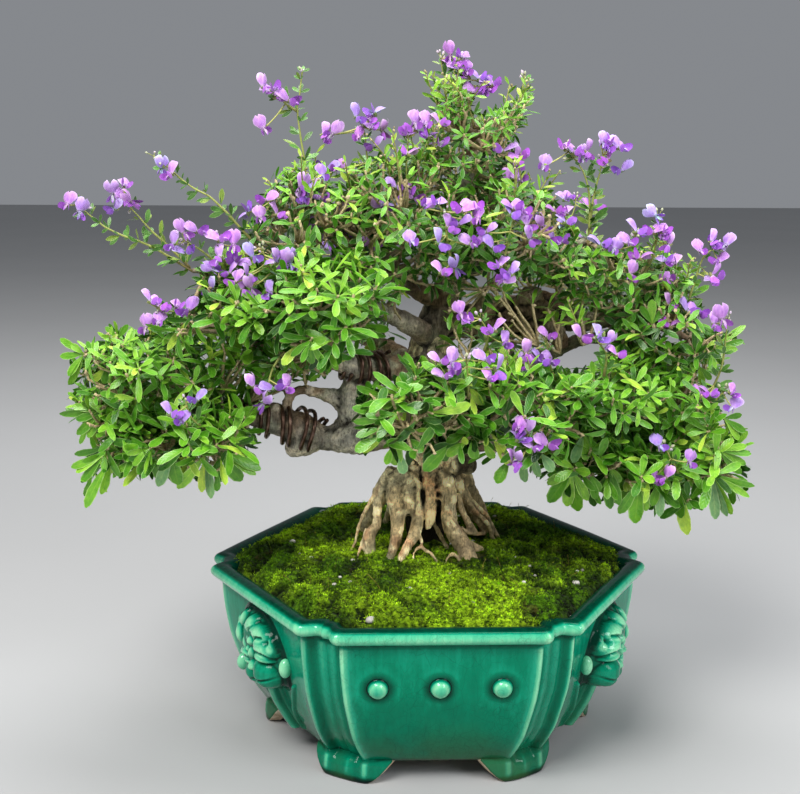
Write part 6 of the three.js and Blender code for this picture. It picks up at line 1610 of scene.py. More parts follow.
    [6.7, -80.0, 201.4, -8.8, -83.0, 186.4, 8.7, 1.0, 21.5, -79.0, 206.3], [17.2, -80.0, 204.2, 4.2, -83.0, 195.4, 6.5, 2.0, 21.5, -79.0, 206.3], [15.5, -80.0, 208.2, 4.2, -83.0, 203.2, 6.5, 1.0, 21.5, -79.0, 206.3],
    [19.1, -80.0, 204.2, 19.8, -83.0, 192.8, 7.6, 1.0, 21.5, -79.0, 206.3], [25.4, -80.0, 202.6, 30.9, -83.0, 192.9, 6.1, 2.0, 21.5, -79.0, 206.3], [27.2, -80.0, 208.0, 26.7, -83.0, 200.8, 3.3, 3.0, 21.5, -79.0, 206.3],
    [30.1, -78.0, 206.9, 41.7, -81.0, 188.9, 7.7, 3.0, 29.5, -77.0, 207.4], [28.5, -78.0, 212.5, 39.4, -81.0, 215.6, 4.7, 1.0, 29.5, -77.0, 207.4], [16.9, -78.0, 209.3, 2.1, -81.0, 213.3, 5.5, 1.0, 29.5, -77.0, 207.4],
    [41.3, -74.0, 190.5, 33.7, -77.0, 177.3, 8.0, 1.0, 51.6, -73.0, 196.7], [50.2, -74.0, 192.1, 48.9, -77.0, 177.6, 7.7, 4.0, 51.6, -73.0, 196.7], [54.0, -74.0, 196.1, 57.2, -77.0, 180.0, 5.8, 4.0, 51.6, -73.0, 196.7],
    [59.1, -74.0, 194.5, 66.6, -77.0, 184.2, 6.9, 4.0, 51.6, -73.0, 196.7], [12.8, -76.0, 226.8, 13.3, -79.0, 219.0, 8.1, 1.0, 16.8, -75.0, 227.0], [16.6, -76.0, 234.4, 24.5, -79.0, 223.7, 5.6, 3.0, 16.8, -75.0, 227.0],
    [21.3, -76.0, 234.4, 26.6, -79.0, 223.9, 4.7, 1.0, 16.8, -75.0, 227.0], [58.9, -72.0, 222.7, 59.0, -75.0, 231.7, 6.4, 2.0, 59.1, -71.0, 222.1], [58.9, -72.0, 222.3, 49.1, -75.0, 219.8, 3.9, 1.0, 59.1, -71.0, 222.1],
    [58.9, -72.0, 222.3, 55.1, -75.0, 229.3, 3.1, 1.0, 59.1, -71.0, 222.1],
]
FAN = np.array(FANS)
FAN_B, FAN_T, FAN_W, FAN_K, FAN_C = FAN[:, :3], FAN[:, 3:6], FAN[:, 6], FAN[:, 7].astype(int), FAN[:, 8:11]
FAN_PX = project(np.vstack([FAN_B * (1 - f) + FAN_T * f for f in (0.45, 0.72, 0.98)]))
FAN_PAD = np.array([[np.linalg.norm((c - np.array(p[:3])) / np.array(p[3:6])) for p in PADS.values()] for c in FAN_C]).argmin(1)
EYE = np.array([-49.9, -762.2, 372.3])


def hides_fan(P, pad=5.5):
    q = project(P)
    out = np.zeros(len(P), bool)
    for b in FAN_PX:
        out |= (np.hypot(q[:, 0] - b[0], q[:, 1] - b[1]) < pad) & (q[:, 2] < b[2] + 2.0)
    return out


def fan_leaves(k, rng):
    """the single leaves of pad k, turned so that they show their face"""
    i = np.where(FAN_PAD == k)[0]
    if not len(i):
        return None
    B, T = FAN_B[i], FAN_T[i]
    D = T - B
    L = np.linalg.norm(D, axis=1)
    D /= L[:, None]
    toe = EYE - B
    toe /= np.linalg.norm(toe, axis=1, keepdims=True)
    S = np.cross(D, toe)
    S /= np.linalg.norm(S, axis=1, keepdims=True)
    N = np.cross(S, D)
    a = rng.normal(0, 0.32, len(i))[:, None]
    S = S * np.cos(a) + N * np.sin(a)
    # tone steps run from shaded to lit leaves, as painted shade and light; step 4 is a pale green for painted sheen
    tone = {1: (1.5, 2.3), 2: (2.3, 3.0), 3: (3.5, 4.0), 4: None, 0: (0.6, 1.2)}
    col = []
    for k_ in FAN_K[i]:
        if k_ == 4:
            col.append(np.array([0.25, 0.49, 0.19]) * rng.uniform(0.85, 1.15))
            continue
        t = rng.uniform(*tone[int(k_)])
        j = min(int(t), 3)
        col.append(GREEN[j] + (GREEN[j + 1] - GREEN[j]) * (t - j))
    for c in np.unique(FAN_C[i].round(1), axis=0):
        dd = np.linalg.norm(LIMB_PTS[:, :3] - c, axis=1)
        q = LIMB_PTS[np.argmin(dd)]
        mid = q[:3] * 0.35 + c * 0.65 + np.array([0, 3.0, 2.0]) + rng.normal(0, 1.5, 3)
        add_twig([q[:3], mid, c + [0, 1.5, 0], c], min(1.9, q[3] * 0.7), 0.95, 5, np.array([0.50, 0.41, 0.25]), rng, 3.0)
        for _ in range(4):
            knob(c + rng.normal(0, 1.3, 3), rng.uniform(0.9, 1.7), rng)
    for b, c, d in zip(B, FAN_C[i], D):
        if np.linalg.norm(b - c) > 1.6:
            add_twig([c, (b + c) / 2 + [0, 0.8, 0], b + d * 0.6], 0.62, 0.42, 4, np.array([0.32, 0.36, 0.14]), rng, 2.0)
    return leaves(B, D, S, L, FAN_W[i], rng.uniform(0.05, 0.45, len(i)), rng.uniform(0.06, 0.30, len(i)), np.zeros(len(i), int), np.array(col), rng.normal(0, 0.15, len(i))) + (len(i),)


LIMB_PTS = np.vstack([limb_curve(l, 3.0) for l in list(LIMBS.values()) + [TRUNK[6:]]])
# pads: rosettes, leaf length, leaf width, shape (0 blunt, 1 narrow), droop share
STYLE = {
    "foliage_left_upper": (112, 17.0, 3.9, 0, 0.05), "foliage_left_tip": (90, 19.5, 4.7, 0, 0.35), "foliage_left_lower": (99, 21.5, 6.0, 0, 0.55),
    "foliage_midleft_outer": (99, 18.5, 4.7, 0, 0.25), "foliage_midleft_inner": (99, 19.0, 5.0, 0, 0.30), "foliage_upper_left": (151, 12.9, 3.44, 1, 0.1),
    "foliage_upper_centre": (133, 12.5, 3.35, 1, 0.1), "foliage_apex": (128, 9.9, 2.49, 1, 0.0), "foliage_upper_right": (143, 12.5, 3.35, 1, 0.1),
    "foliage_right_shoulder": (135, 13.3, 3.7, 1, 0.1), "foliage_right_upper": (125, 14.2, 4.0, 1, 0.15), "foliage_right_tip": (90, 17.5, 4.1, 0, 0.2),
    "foliage_right_outer_low": (99, 20.5, 6.4, 0, 0.55), "foliage_right_mid": (112, 17.5, 4.1, 0, 0.15), "foliage_right_lower": (103, 20.5, 6.4, 0, 0.5),
    "foliage_front_centre": (64, 20.5, 6.6, 0, 0.45), "foliage_front_right": (77, 20.0, 5.2, 0, 0.35), "foliage_back_left": (50, 17.5, 4.5, 0, 0.25),
    "foliage_back_right": (50, 17.5, 4.5, 0, 0.25), "foliage_back_low": (44, 19.0, 5.8, 0, 0.4), "foliage_back_top": (66, 12.5, 3.44, 1, 0.1),
}
# leaf greens from shaded to lit: the dark steps are painted shade and the light steps painted light; the last is lime
GREEN = np.array([[0.010, 0.055, 0.004], [0.052, 0.215, 0.010], [0.142, 0.415, 0.022], [0.30, 0.62, 0.05], [0.56, 0.80, 0.09]])
twigs = Bag()


def add_twig(pts, r0, r1, sides, col, rng, step=3.0):
    c, _ = catmull(np.asarray(pts, float), 5)
    c = resample(c, step)
    if len(c) < 3:
        c = resample(c, step * 0.5)
    R = np.linspace(r0, r1, len(c)) * (1 + 0.22 * rng.random(len(c)))
    v, q, t = tube(c, R, sides)
    twigs.add(v, tri=t, quad=q, col=np.asarray(col) * rng.uniform(0.8, 1.15))


def knob(o, r, rng):
    """a scaly bud or leaf scar"""
    d = rng.normal(size=3)
    d /= np.linalg.norm(d)
    v, q, t = tube(np.array([o - d * r * 0.7, o, o + d * r * 0.8]), np.array([0.6, 0.95, 0.5]) * r, 4)
    twigs.add(v, tri=t, quad=q, col=np.array([0.60, 0.52, 0.33]) * rng.uniform(0.6, 1.2))


def rosette_leaves(rng, P, A, n, L, W, shape, bright, droop):
    """leaf whorls: points P, axes A, leaf count n"""
    out = []
    for i in range(len(P)):
        a = A[i]
        h = np.cross(a, [0.2, 0.1, 1.0] if abs(a[2]) < 0.9 else [1, 0, 0.1])
        h /= np.linalg.norm(h)
        g = np.cross(a, h)
        k = n[i]
        ph = rng.uniform(0, 6.28)
        for j in range(k):
            f = j / max(k - 1, 1)
            az_ = ph + j * 2.39996
            el = math.radians((rng.uniform(24, 44) + 52 * (1 - f) if not droop[i] else rng.uniform(14, 34) + 42 * (1 - f)) + rng.normal(0, 8))
            d = a * math.cos(el) + (h * math.cos(az_) + g * math.sin(az_)) * math.sin(el)
            d = d + np.array([0, 0, -0.06 - 0.25 * droop[i]])
            d /= np.linalg.norm(d)
            s = np.cross(d, a)
            s /= max(np.linalg.norm(s), 1e-6)
            base = P[i] + a * (f * 3.4) + d * 0.5
            out.append((base, d, s, L[i] * (1.02 - 0.32 * f) * rng.uniform(0.84, 1.12), W[i] * (1.0 - 0.22 * f) * rng.uniform(0.86, 1.14), i, f))
    return out


# rosettes that close the gaps between the pads
MORE = {
    "foliage_left_lower": [[-125.8, -30.9, 238.9], [-108.1, -34.9, 250], [-109.8, -9, 235], [-118.2, -18.6, 248.7], [-124.1, -39.3, 249.4], [-133.1, -18.4, 242.8], [-117, -41, 239.3], [-136.1, -14.8, 250.6], [-133.3, -40, 239.8], [-115.4, -18.2, 241.9], [-103.4, -24.9, 243.4], [-116.1, -29.4, 229.2], [-100.7, -2.1, 222.2], [-92.1, -0.4, 217.8], [-87.3, -8.4, 238.6], [-107.3, -7.2, 228.5], [-109.3, 3, 234.5], [-100, -17.3, 239.1], [-117.3, -18.3, 236.3], [-93.3, 2.5, 227.2], [-114, -2.9, 217.6], [-104.9, -7.9, 217.3], [-85.7, -19.4, 227.5]],
    "foliage_midleft_inner": [[-99.3, -0.6, 223.4], [-93.9, -34.6, 238.4], [-63.8, -33.8, 231.4], [-83.5, -11.9, 227.2], [-89.6, -19.9, 242], [-78.2, -24.6, 241.9], [-62.8, -5, 238.6], [-75.2, -39.9, 235.8], [-98.2, -14.9, 241.5], [-77.2, -10.3, 222.5], [-70.7, -26.1, 245.7], [-70.5, -10, 235.5]],
    "foliage_upper_centre": [[-10, -18.4, 299.9], [-3.7, -35.4, 286.7], [-1, -31.7, 298.1], [10, -34.8, 307.1], [-9.9, -35.4, 312.4], [5.6, -20.5, 287.7], [14.2, -16.8, 284], [-15.5, -16.5, 289.2], [2.7, -28.2, 309.5], [20.4, -32.1, 302.7], [-18.4, -21.1, 307], [-22.6, -34, 268.2], [-19.9, -36, 283.7]],
    "foliage_upper_right": [[19.7, -23.7, 268.3], [28.1, -32.1, 282], [14.7, -36.7, 280.2], [29.8, -20.4, 266.8], [45.7, -35.5, 268.2], [10.5, -27.5, 269.7], [39.6, -16.5, 282.1], [11.5, -22.3, 285.6], [40, -20.6, 273.8]],
    "foliage_right_mid": [[58.3, -34.1, 271.9], [75.7, -24.9, 259.7], [87.5, -32.9, 274.3], [55.4, -18.5, 252.9], [49.9, -30.7, 270.6], [69.9, -24.8, 268.4], [64.8, -29.6, 257], [84, -44, 261.6], [83.7, -17.9, 267.5], [42.7, -27.9, 254.1], [96.3, -31.1, 275.4], [48.1, -28.7, 262.4], [38.9, -36.9, 267.3], [41.4, -30.1, 278.8]],
    "foliage_front_right": [[38.4, -35.5, 241.2], [42.9, -46.9, 252.9], [32, -37.8, 246.8], [23.6, -22, 254.5], [16.1, -20.7, 245.1], [39.1, -46.9, 259.9], [12.3, -30.2, 256.5], [30, -34.6, 254.1]],
    "foliage_back_left": [[-141.7, 28.9, 217], [-122.4, 27.8, 234.8], [-145.3, 27.9, 238.7], [-89.2, 28.6, 233.2], [-119.8, 37.3, 216.4], [-101.4, 25.7, 232.3], [-109.8, 38.8, 216], [-94.1, 37.3, 212.9], [-132.7, 43.4, 236.2], [-132.2, 27.4, 225.4], [-86.7, 30.2, 220.5], [-112.1, 20.7, 241.2]],
}


def grow_pad(name, seed, index):
    cx, cy, cz, rx, ry, rz = PADS[name][:6]
    nros, L0, W0, shape, dshare = STYLE[name]
    rng = np.random.default_rng(seed)
    C, Rr = np.array([cx, cy, cz]), np.array([rx, ry, rz * 1.18])
    m = nros * 14
    d = rng.normal(size=(m, 3))
    d /= np.linalg.norm(d, axis=1, keepdims=True)
    rad = 0.52 + 0.56 * rng.random(m) ** 0.7
    P = C + d * rad[:, None] * Rr
    # fewer inside and underneath, more on top and at the rim
    w = np.clip(0.55 + 0.65 * d[:, 2] + 0.5 * np.hypot(d[:, 0], d[:, 1]) * (rad > 0.75), 0.12, 1.3)
    px = project(P)
    mg = crown_margin(px[:, :2])
    front = P[:, 1] < 45
    need = np.where(rad > 0.8, 15.0, 11.0) * (L0 / 18.0)
    rag = vnoise(np.column_stack([px[:, 0] / 17.0, px[:, 1] / 13.0, P[:, 1] / 30.0]), 40 + seed)
    need = need + np.clip(rag, 0, 1) * 16 * (mg < 34)
    clump = vnoise(P / 15.0, 60 + seed)
    ok = (rng.random(m) < w * np.where(clump < -0.25, 0.25, 1.0)) & ((mg > need) | (~front & (mg > 4)))
    P, d, rad = P[ok], d[ok], rad[ok]
    # spread them out
    keep = []
    gap = 7.6 if shape == 0 else 5.7
    for i in range(len(P)):
        if len(keep) >= nros:
            break
        if all(np.linalg.norm(P[i] - P[j]) > gap for j in keep):
            keep.append(i)
    P, d, rad = P[keep], d[keep], rad[keep]
    if name in MORE:
        Q = np.array(MORE[name])
        e = (Q - C) / Rr
        e /= np.linalg.norm(e, axis=1, keepdims=True)
        P, d, rad = np.vstack([P, Q]), np.vstack([d, e]), np.append(rad, np.full(len(Q), 0.98))
    n = len(P)
    droop = (rng.random(n) < dshare) & (d[:, 2] < 0.35)
    A = d * [0.72, 0.72, 0.5] + [0, 0, 0.80] + rng.normal(0, 0.34, (n, 3))
    A[droop] = d[droop] * [1.0, 1.0, 0.5] + [0, -0.25, -0.55] + rng.normal(0, 0.22, (int(droop.sum()), 3))
    A /= np.linalg.norm(A, axis=1, keepdims=True)
    if len(P) == 0:
        raise RuntimeError("no leaves left in " + name)
    # twigs: limb -> core -> clusters -> rosettes
    core = C + [0, 0, -0.35 * rz]
    k = max(3, n // 9)
    cen = P[rng.choice(n, k, replace=False)].copy()
    for _ in range(8):
        lab = np.argmin(((P[:, None] - cen[None]) ** 2).sum(2), 1)
        for j in range(k):
            if (lab == j).any():
                cen[j] = P[lab == j].mean(0)
    tan_, brn = np.array([0.58, 0.49, 0.29]), np.array([0.40, 0.335, 0.225])
    for j in range(k):
        if not (lab == j).any():
            continue
        c = cen[j] * 0.72 + core * 0.28 + [0, 0, -3.0]
        dd = np.linalg.norm(LIMB_PTS[:, :3] - c, axis=1) - 0.25 * np.abs(LIMB_PTS[:, 3])
        q = LIMB_PTS[np.argmin(dd)]
        mid = (q[:3] + c) / 2 + rng.normal(0, 2.5, 3) + [0, 0, 1.5]
        add_twig([q[:3], mid, c], min(1.9, q[3] * 0.7), 1.05, 4, brn, rng, 6.5)
        for i in np.where(lab == j)[0]:
            b = P[i] - A[i] * 1.2
            m2 = (c + b) / 2 + rng.normal(0, 1.6, 3) + A[i] * -1.0
            add_twig([c, m2, b, P[i] + A[i] * 3.2], 0.95, 0.66, 4, tan_, rng, 6.5)
            for _k in range(1 if rng.random() < 0.85 else 0):
                o = P[i] + A[i] * rng.uniform(-2.0, 3.4) + rng.normal(0, 0.7, 3)
                knob(o, rng.uniform(0.9, 1.6), rng)
    cnt = rng.integers(6, 10, n) if shape == 0 else rng.integers(5, 9, n)
    L = np.full(n, L0) * rng.uniform(0.88, 1.1, n)
    W = np.full(n, W0) * rng.uniform(0.9, 1.1, n)
    lv = rosette_leaves(rng, P, A, cnt, L, W, shape, None, droop)
    B = np.array([x[0] for x in lv])
    D = np.array([x[1] for x in lv])
    S = np.array([x[2] for x in lv])
    Ls = np.array([x[3] for x in lv])
    Ws = np.array([x[4] for x in lv])
    ri = np.array([x[5] for x in lv])
    ff = np.array([x[6] for x in lv])
    tip = project(B + D * Ls[:, None])[:, :2]
    ok = crown_margin(tip) > -2.0
    ok |= (B[:, 1] > 45) & (edge_dist(CROWN, tip) < 6)
    ok &= ~(hides_bloom(B + D * Ls[:, None] * 0.55) | hides_bloom(B + D * Ls[:, None], 4.5))
    ok &= ~(hides_fan(B + D * Ls[:, None] * 0.55) | hides_fan(B + D * Ls[:, None], 4.5))
    B, D, S, Ls, Ws, ri, ff = (x[ok] for x in (B, D, S, Ls, Ws, ri, ff))
    m = len(B)
    # colour: painted light on the outer and upward leaves, painted shade on the inner ones, a few limes
    outer_ = np.clip((rad[ri] - 0.55) / 0.5, 0, 1)
    t = 0.55 + 1.75 * outer_ * (0.45 + 0.55 * np.clip(d[ri, 2] + 0.4, 0, 1)) + 0.7 * ff + rng.normal(0, 0.45, m) + (0.25 * rng.standard_normal(n))[ri]
    if shape == 1:
        t -= 0.50
    t -= {"foliage_front_centre": 0.75, "foliage_front_right": 0.45, "foliage_right_lower": 0.25, "foliage_left_lower": 0.15}.get(name, 0.0)
    t = np.clip(t, 0, 2.9 if shape == 0 else 2.6)
    lime = rng.random(m) < (0.06 if shape == 0 else 0.05)
    t = np.where(lime, rng.uniform(3.2, 4.0, m), t)
    i0 = np.clip(t.astype(int), 0, 3)
    col = GREEN[i0] + (GREEN[i0 + 1] - GREEN[i0]) * (t - i0)[:, None]
    bend = rng.uniform(-0.1, 0.8, m)
    fold = rng.uniform(0.02, 0.30, m)
    V, q, luv, cc = leaves(B, D, S, Ls, Ws, bend, fold, np.full(m, shape), col, rng.normal(0, 0.22, m))
    b = Bag()
    b.add(V, quad=q, luv=luv, col=cc)
    fl = fan_leaves(index, rng)
    if fl is not None:
        b.add(fl[0], quad=fl[1], luv=fl[2], col=fl[3])
        m += fl[4]
    # young shoots reaching past the leaves
    nsh = {0: 5, 1: 13}[shape] + (5 if name == "foliage_apex" else 0)
    top = np.argsort(-(d[:, 2] + 0.55 * rng.random(n)))[:nsh]
    sb, sd, ss, sl, sw, sc_ = [], [], [], [], [], []
    for i in top:
        u = d[i] * [0.7, 0.7, 0.2] + [0, 0, 0.9] + rng.normal(0, 0.25, 3)
        u /= np.linalg.norm(u)
        Lh = rng.uniform(12, 26) if shape == 1 else rng.uniform(8, 16)
        bow = rng.normal(0, 0.12, 3)
        c = np.array([P[i] + u * Lh * f_ + bow * Lh * f_ * f_ for f_ in np.linspace(0, 1, 8)])
        pm = crown_margin(project(c)[:, :2])
        if pm.min() < -16:
            continue
        R = np.linspace(0.62, 0.34, len(c))
        v, q_, t_ = tube(c, R, 4)
        twigs.add(v, tri=t_, quad=q_, col=np.array([0.36, 0.38, 0.12]) * rng.uniform(0.75, 1.1))
        az_ = rng.uniform(0, 6.28)
        T, Nn, Bn = frames_along(c)
        for k_ in range(2, 8):
            az_ += 2.4
            o = Nn[k_] * math.cos(az_) + Bn[k_] * math.sin(az_)
            dd_ = T[k_] * 0.8 + o
            dd_ /= np.linalg.norm(dd_)
            s_ = np.cross(dd_, (EYE - c[k_]) / np.linalg.norm(EYE - c[k_]) * 0.6 + T[k_] * 0.6 + rng.normal(0, 0.4, 3))
            sb.append(c[k_])
            sd.append(dd_)
            ss.append(s_ / np.linalg.norm(s_))
            sl.append(rng.uniform(5.5, 10.5) * (1.15 - 0.06 * k_))
            sw.append(sl[-1] * rng.uniform(0.24, 0.34))
            sc_.append(GREEN[3] * rng.uniform(0.6, 1.1) if rng.random() < 0.7 else GREEN[4] * 0.7)
        for k_ in range(rng.integers(1, 4)):
            e_ = c[-1] + rng.normal(0, 1.3, 3) + u * 0.6
            knob(e_, rng.uniform(0.6, 1.0), rng)
    if sb:
        sb, sd, ss, sl, sw, sc_ = [np.array(x) for x in (sb, sd, ss, sl, sw, sc_)]
        ok = ~hides_bloom(sb + sd * sl[:, None] * 0.5, 4.0)
        sb, sd, ss, sl, sw, sc_ = (x[ok] for x in (sb, sd, ss, sl, sw, sc_))
        V, q, luv, cc = leaves(sb, sd, ss, sl, sw, rng.uniform(-0.2, 0.5, len(sb)), rng.uniform(0, 0.3, len(sb)), np.ones(len(sb), int), sc_)
        b.add(V, quad=q, luv=luv, col=cc)
        m += len(sb)
    return b, m


LEAF_TOTAL = 0
for i, name in enumerate(PADS):
    b, m = grow_pad(name, 100 + i, i)
    LEAF_TOTAL += m
    ob = b.make(name.replace("foliage_", "leaves_"), [LEAF])
    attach(ob, "root")
    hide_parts(name)


# ------------------------------------------------------------------ flowering shoots


def petal_grid(rows, cols, fn):
    T, S_ = np.meshgrid(np.linspace(0, 1, rows), np.linspace(-1, 1, cols), indexing="ij")
    P = fn(T.ravel(), S_.ravel())
    return P, grid_quads(rows, cols), T.ravel(), S_.ravel()


LILAC, DEEP, VIOLET, PALE, CALYX = [np.array(c) for c in ((0.60, 0.325, 0.80), (0.40, 0.095, 0.62), (0.44, 0.135, 0.70), (0.88, 0.80, 0.93), (0.24, 0.27, 0.085))]


def flower_template():
    b = []
    wt, wv = [0, 0.16, 0.38, 0.60, 0.82, 1.0], [0.8, 2.2, 3.9, 4.7, 4.2, 1.9]

    def banner(t, s):
        w = np.interp(t, wt, wv)
        x = 0.9 - 2.6 * t ** 1.6 - 2.6 * s ** 2 * (0.25 + t) + 0.9 * t * np.exp(-(s / 0.22) ** 2)
        up = 9.2 * t - 1.5 * t ** 3 * np.exp(-(s / 0.30) ** 2) - 1.5 * s ** 2 * t ** 2
        return np.stack([x, s * w * 1.08, up], 1)

    P, q, t, s = petal_grid(8, 9, banner)
    c = PALE + (LILAC - PALE) * smooth(0.0, 0.24, t)[:, None]
    c = c + (DEEP - c) * (0.55 * np.exp(-(s / 0.20) ** 2) * smooth(0.9, 0.3, t) * smooth(0.1, 0.25, t) + 0.30 * smooth(0.25, 0.55, np.abs(s)) * smooth(0.85, 0.35, t))[:, None]
    c = c + (PALE - c) * (0.35 * smooth(0.75, 1.0, np.abs(s)) + 0.25 * smooth(0.85, 1.0, t))[:, None]
    b.append((P, q, c))
    for sg in (-1, 1):
        ww = [0.7, 1.9, 2.8, 2.6, 1.1]

        def wing(t, s, sg=sg):
            w = np.interp(t, [0, 0.25, 0.55, 0.8, 1.0], ww)
            d = np.array([0.88, 0.34 * sg, -0.30])
            side = np.array([0.45, 0.10 * sg, 0.85])
            return np.array([0.7, 0.6 * sg, 0.5]) + 7.2 * t[:, None] * d + (s * w)[:, None] * side + (0.9 * sg * (1 - s ** 2) * np.sin(math.pi * t))[:, None] * np.array([0, 1.0, 0.1]) + (1.3 * t ** 2)[:, None] * np.array([0, 0.5 * sg, 1.0])

        P, q, t, s = petal_grid(5, 3, wing)
        c = PALE + (VIOLET - PALE) * smooth(0.0, 0.20, t)[:, None]
        c = c + (DEEP - c) * (0.35 * smooth(0.3, 1.0, s))[:, None]
        b.append((P, q if sg > 0 else q[:, ::-1], c))

    def keel(t, s):
        w = np.interp(t, [0, 0.3, 0.7, 1.0], [0.3, 1.15, 1.25, 0.25])
        return np.array([0.9, 0, 0.0]) + 6.0 * t[:, None] * np.array([0.88, 0, -0.42]) + (s * w)[:, None] * np.array([0, 1, 0]) * 0.7 + ((np.abs(s) - 0.5) * w * 1.6)[:, None] * np.array([0.4, 0, 0.9])

    P, q, t, s = petal_grid(5, 5, keel)
    b.append((P, q, PALE * 0.9 + (VIOLET * 1.2 - PALE * 0.9) * smooth(0.35, 0.95, t)[:, None]))
    a = np.arange(6) * math.pi / 3
    P = np.vstack([np.stack([np.full(6, x), r * np.cos(a), r * np.sin(a) + 0.2], 1) for x, r in ((-1.9, 0.35), (-0.9, 1.15), (1.0, 1.45))])
    b.append((P, grid_quads(3, 6, close_cols=True), np.tile(CALYX, (18, 1))))
    V, Q, C, o = [], [], [], 0
    for P, q, c in b:
        V.append(P)
        Q.append(q + o)
        C.append(c)
        o += len(P)
    return np.vstack(V), np.vstack(Q), np.vstack(C)


FLOWER_V, FLOWER_Q, FLOWER_C = flower_template()


def petal_material():
    m = Mat("petal")
    c = m.attr("col")
    n = m.noise(1.0, 3, 0.6, m.scaled((700, 700, 260)))
    c = m.mix(m.maprange(n, 0.35, 0.65), m.mix(1.0, c, (0.86, 0.80, 0.92, 1), "MULTIPLY"), m.mix(1.0, c, (1.14, 1.16, 1.06, 1), "MULTIPLY"))
    m.set(color=c, rough=0.55, spec=0.35, sheen=0.25, sheen_rough=0.4, normal=m.bump(n, 0.25, 0.0004))
    return m.m


def stem_material():
    m = Mat("shoot")
    c = m.attr("col")
    n = m.noise(800, 3, 0.6)
    c = m.mix(m.maprange(n, 0.35, 0.65, 0, 0.6), c, m.mix(1.0, c, (1.4, 1.35, 1.3, 1), "MULTIPLY"))
    m.set(color=c, rough=0.55, spec=0.4, normal=m.bump(n, 0.3, 0.0003))
    return m.m


PETAL, STEM = petal_material(), stem_material()


def put_flower(b, at, face, tilt, size, rng, open_=1.0):
    f = np.array(face, float)
    f /= np.linalg.norm(f)
    u = np.array([0, 0, 1.0]) * math.cos(tilt) + np.array([f[1], -f[0], 0]) * math.sin(tilt)
    u -= f * (u @ f)
    u /= np.linalg.norm(u)
    pt = rng.normal(0.05, 0.42)
    f, u = f * math.cos(pt) + u * math.sin(pt), u * math.cos(pt) - f * math.sin(pt)
    s = np.cross(u, f)
    V = FLOWER_V.copy()
    V[:, 1] *= open_
    V = V + 0.35 * np.stack([vnoise(V / 3.1 + at[0], 3), vnoise(V / 3.1 + at[1], 4), vnoise(V / 3.1 + at[2], 5)], 1)
    P = at + size * (V[:, :1] * f + V[:, 1:2] * s + V[:, 2:3] * u)
    cool = rng.random()
    tint = np.array([1.08 - 0.34 * cool ** 2, 1 + rng.normal(0, 0.08), 1.0]) * rng.uniform(0.80, 1.08)
    c = np.clip(FLOWER_C * tint, 0, 1)
    b.add(P, quad=FLOWER_Q, mat=0, col=c, luv=np.zeros((len(P), 2)))


def put_bud(b, at, d, L, col):
    d = d / np.linalg.norm(d)
    P = np.array([at + d * x for x in (0, L * 0.35, L * 0.75, L)])
    v, q, t = tube(P, np.array([0.25, 0.52, 0.48, 0.1]) * L * 0.62, 5)
    c = np.tile(col, (len(v), 1))
    c[:5] = CALYX
    b.add(v, tri=t, quad=q, mat=0, col=c, luv=np.zeros((len(v), 2)))


SHOOT_COL = np.array([0.30, 0.34, 0.085])


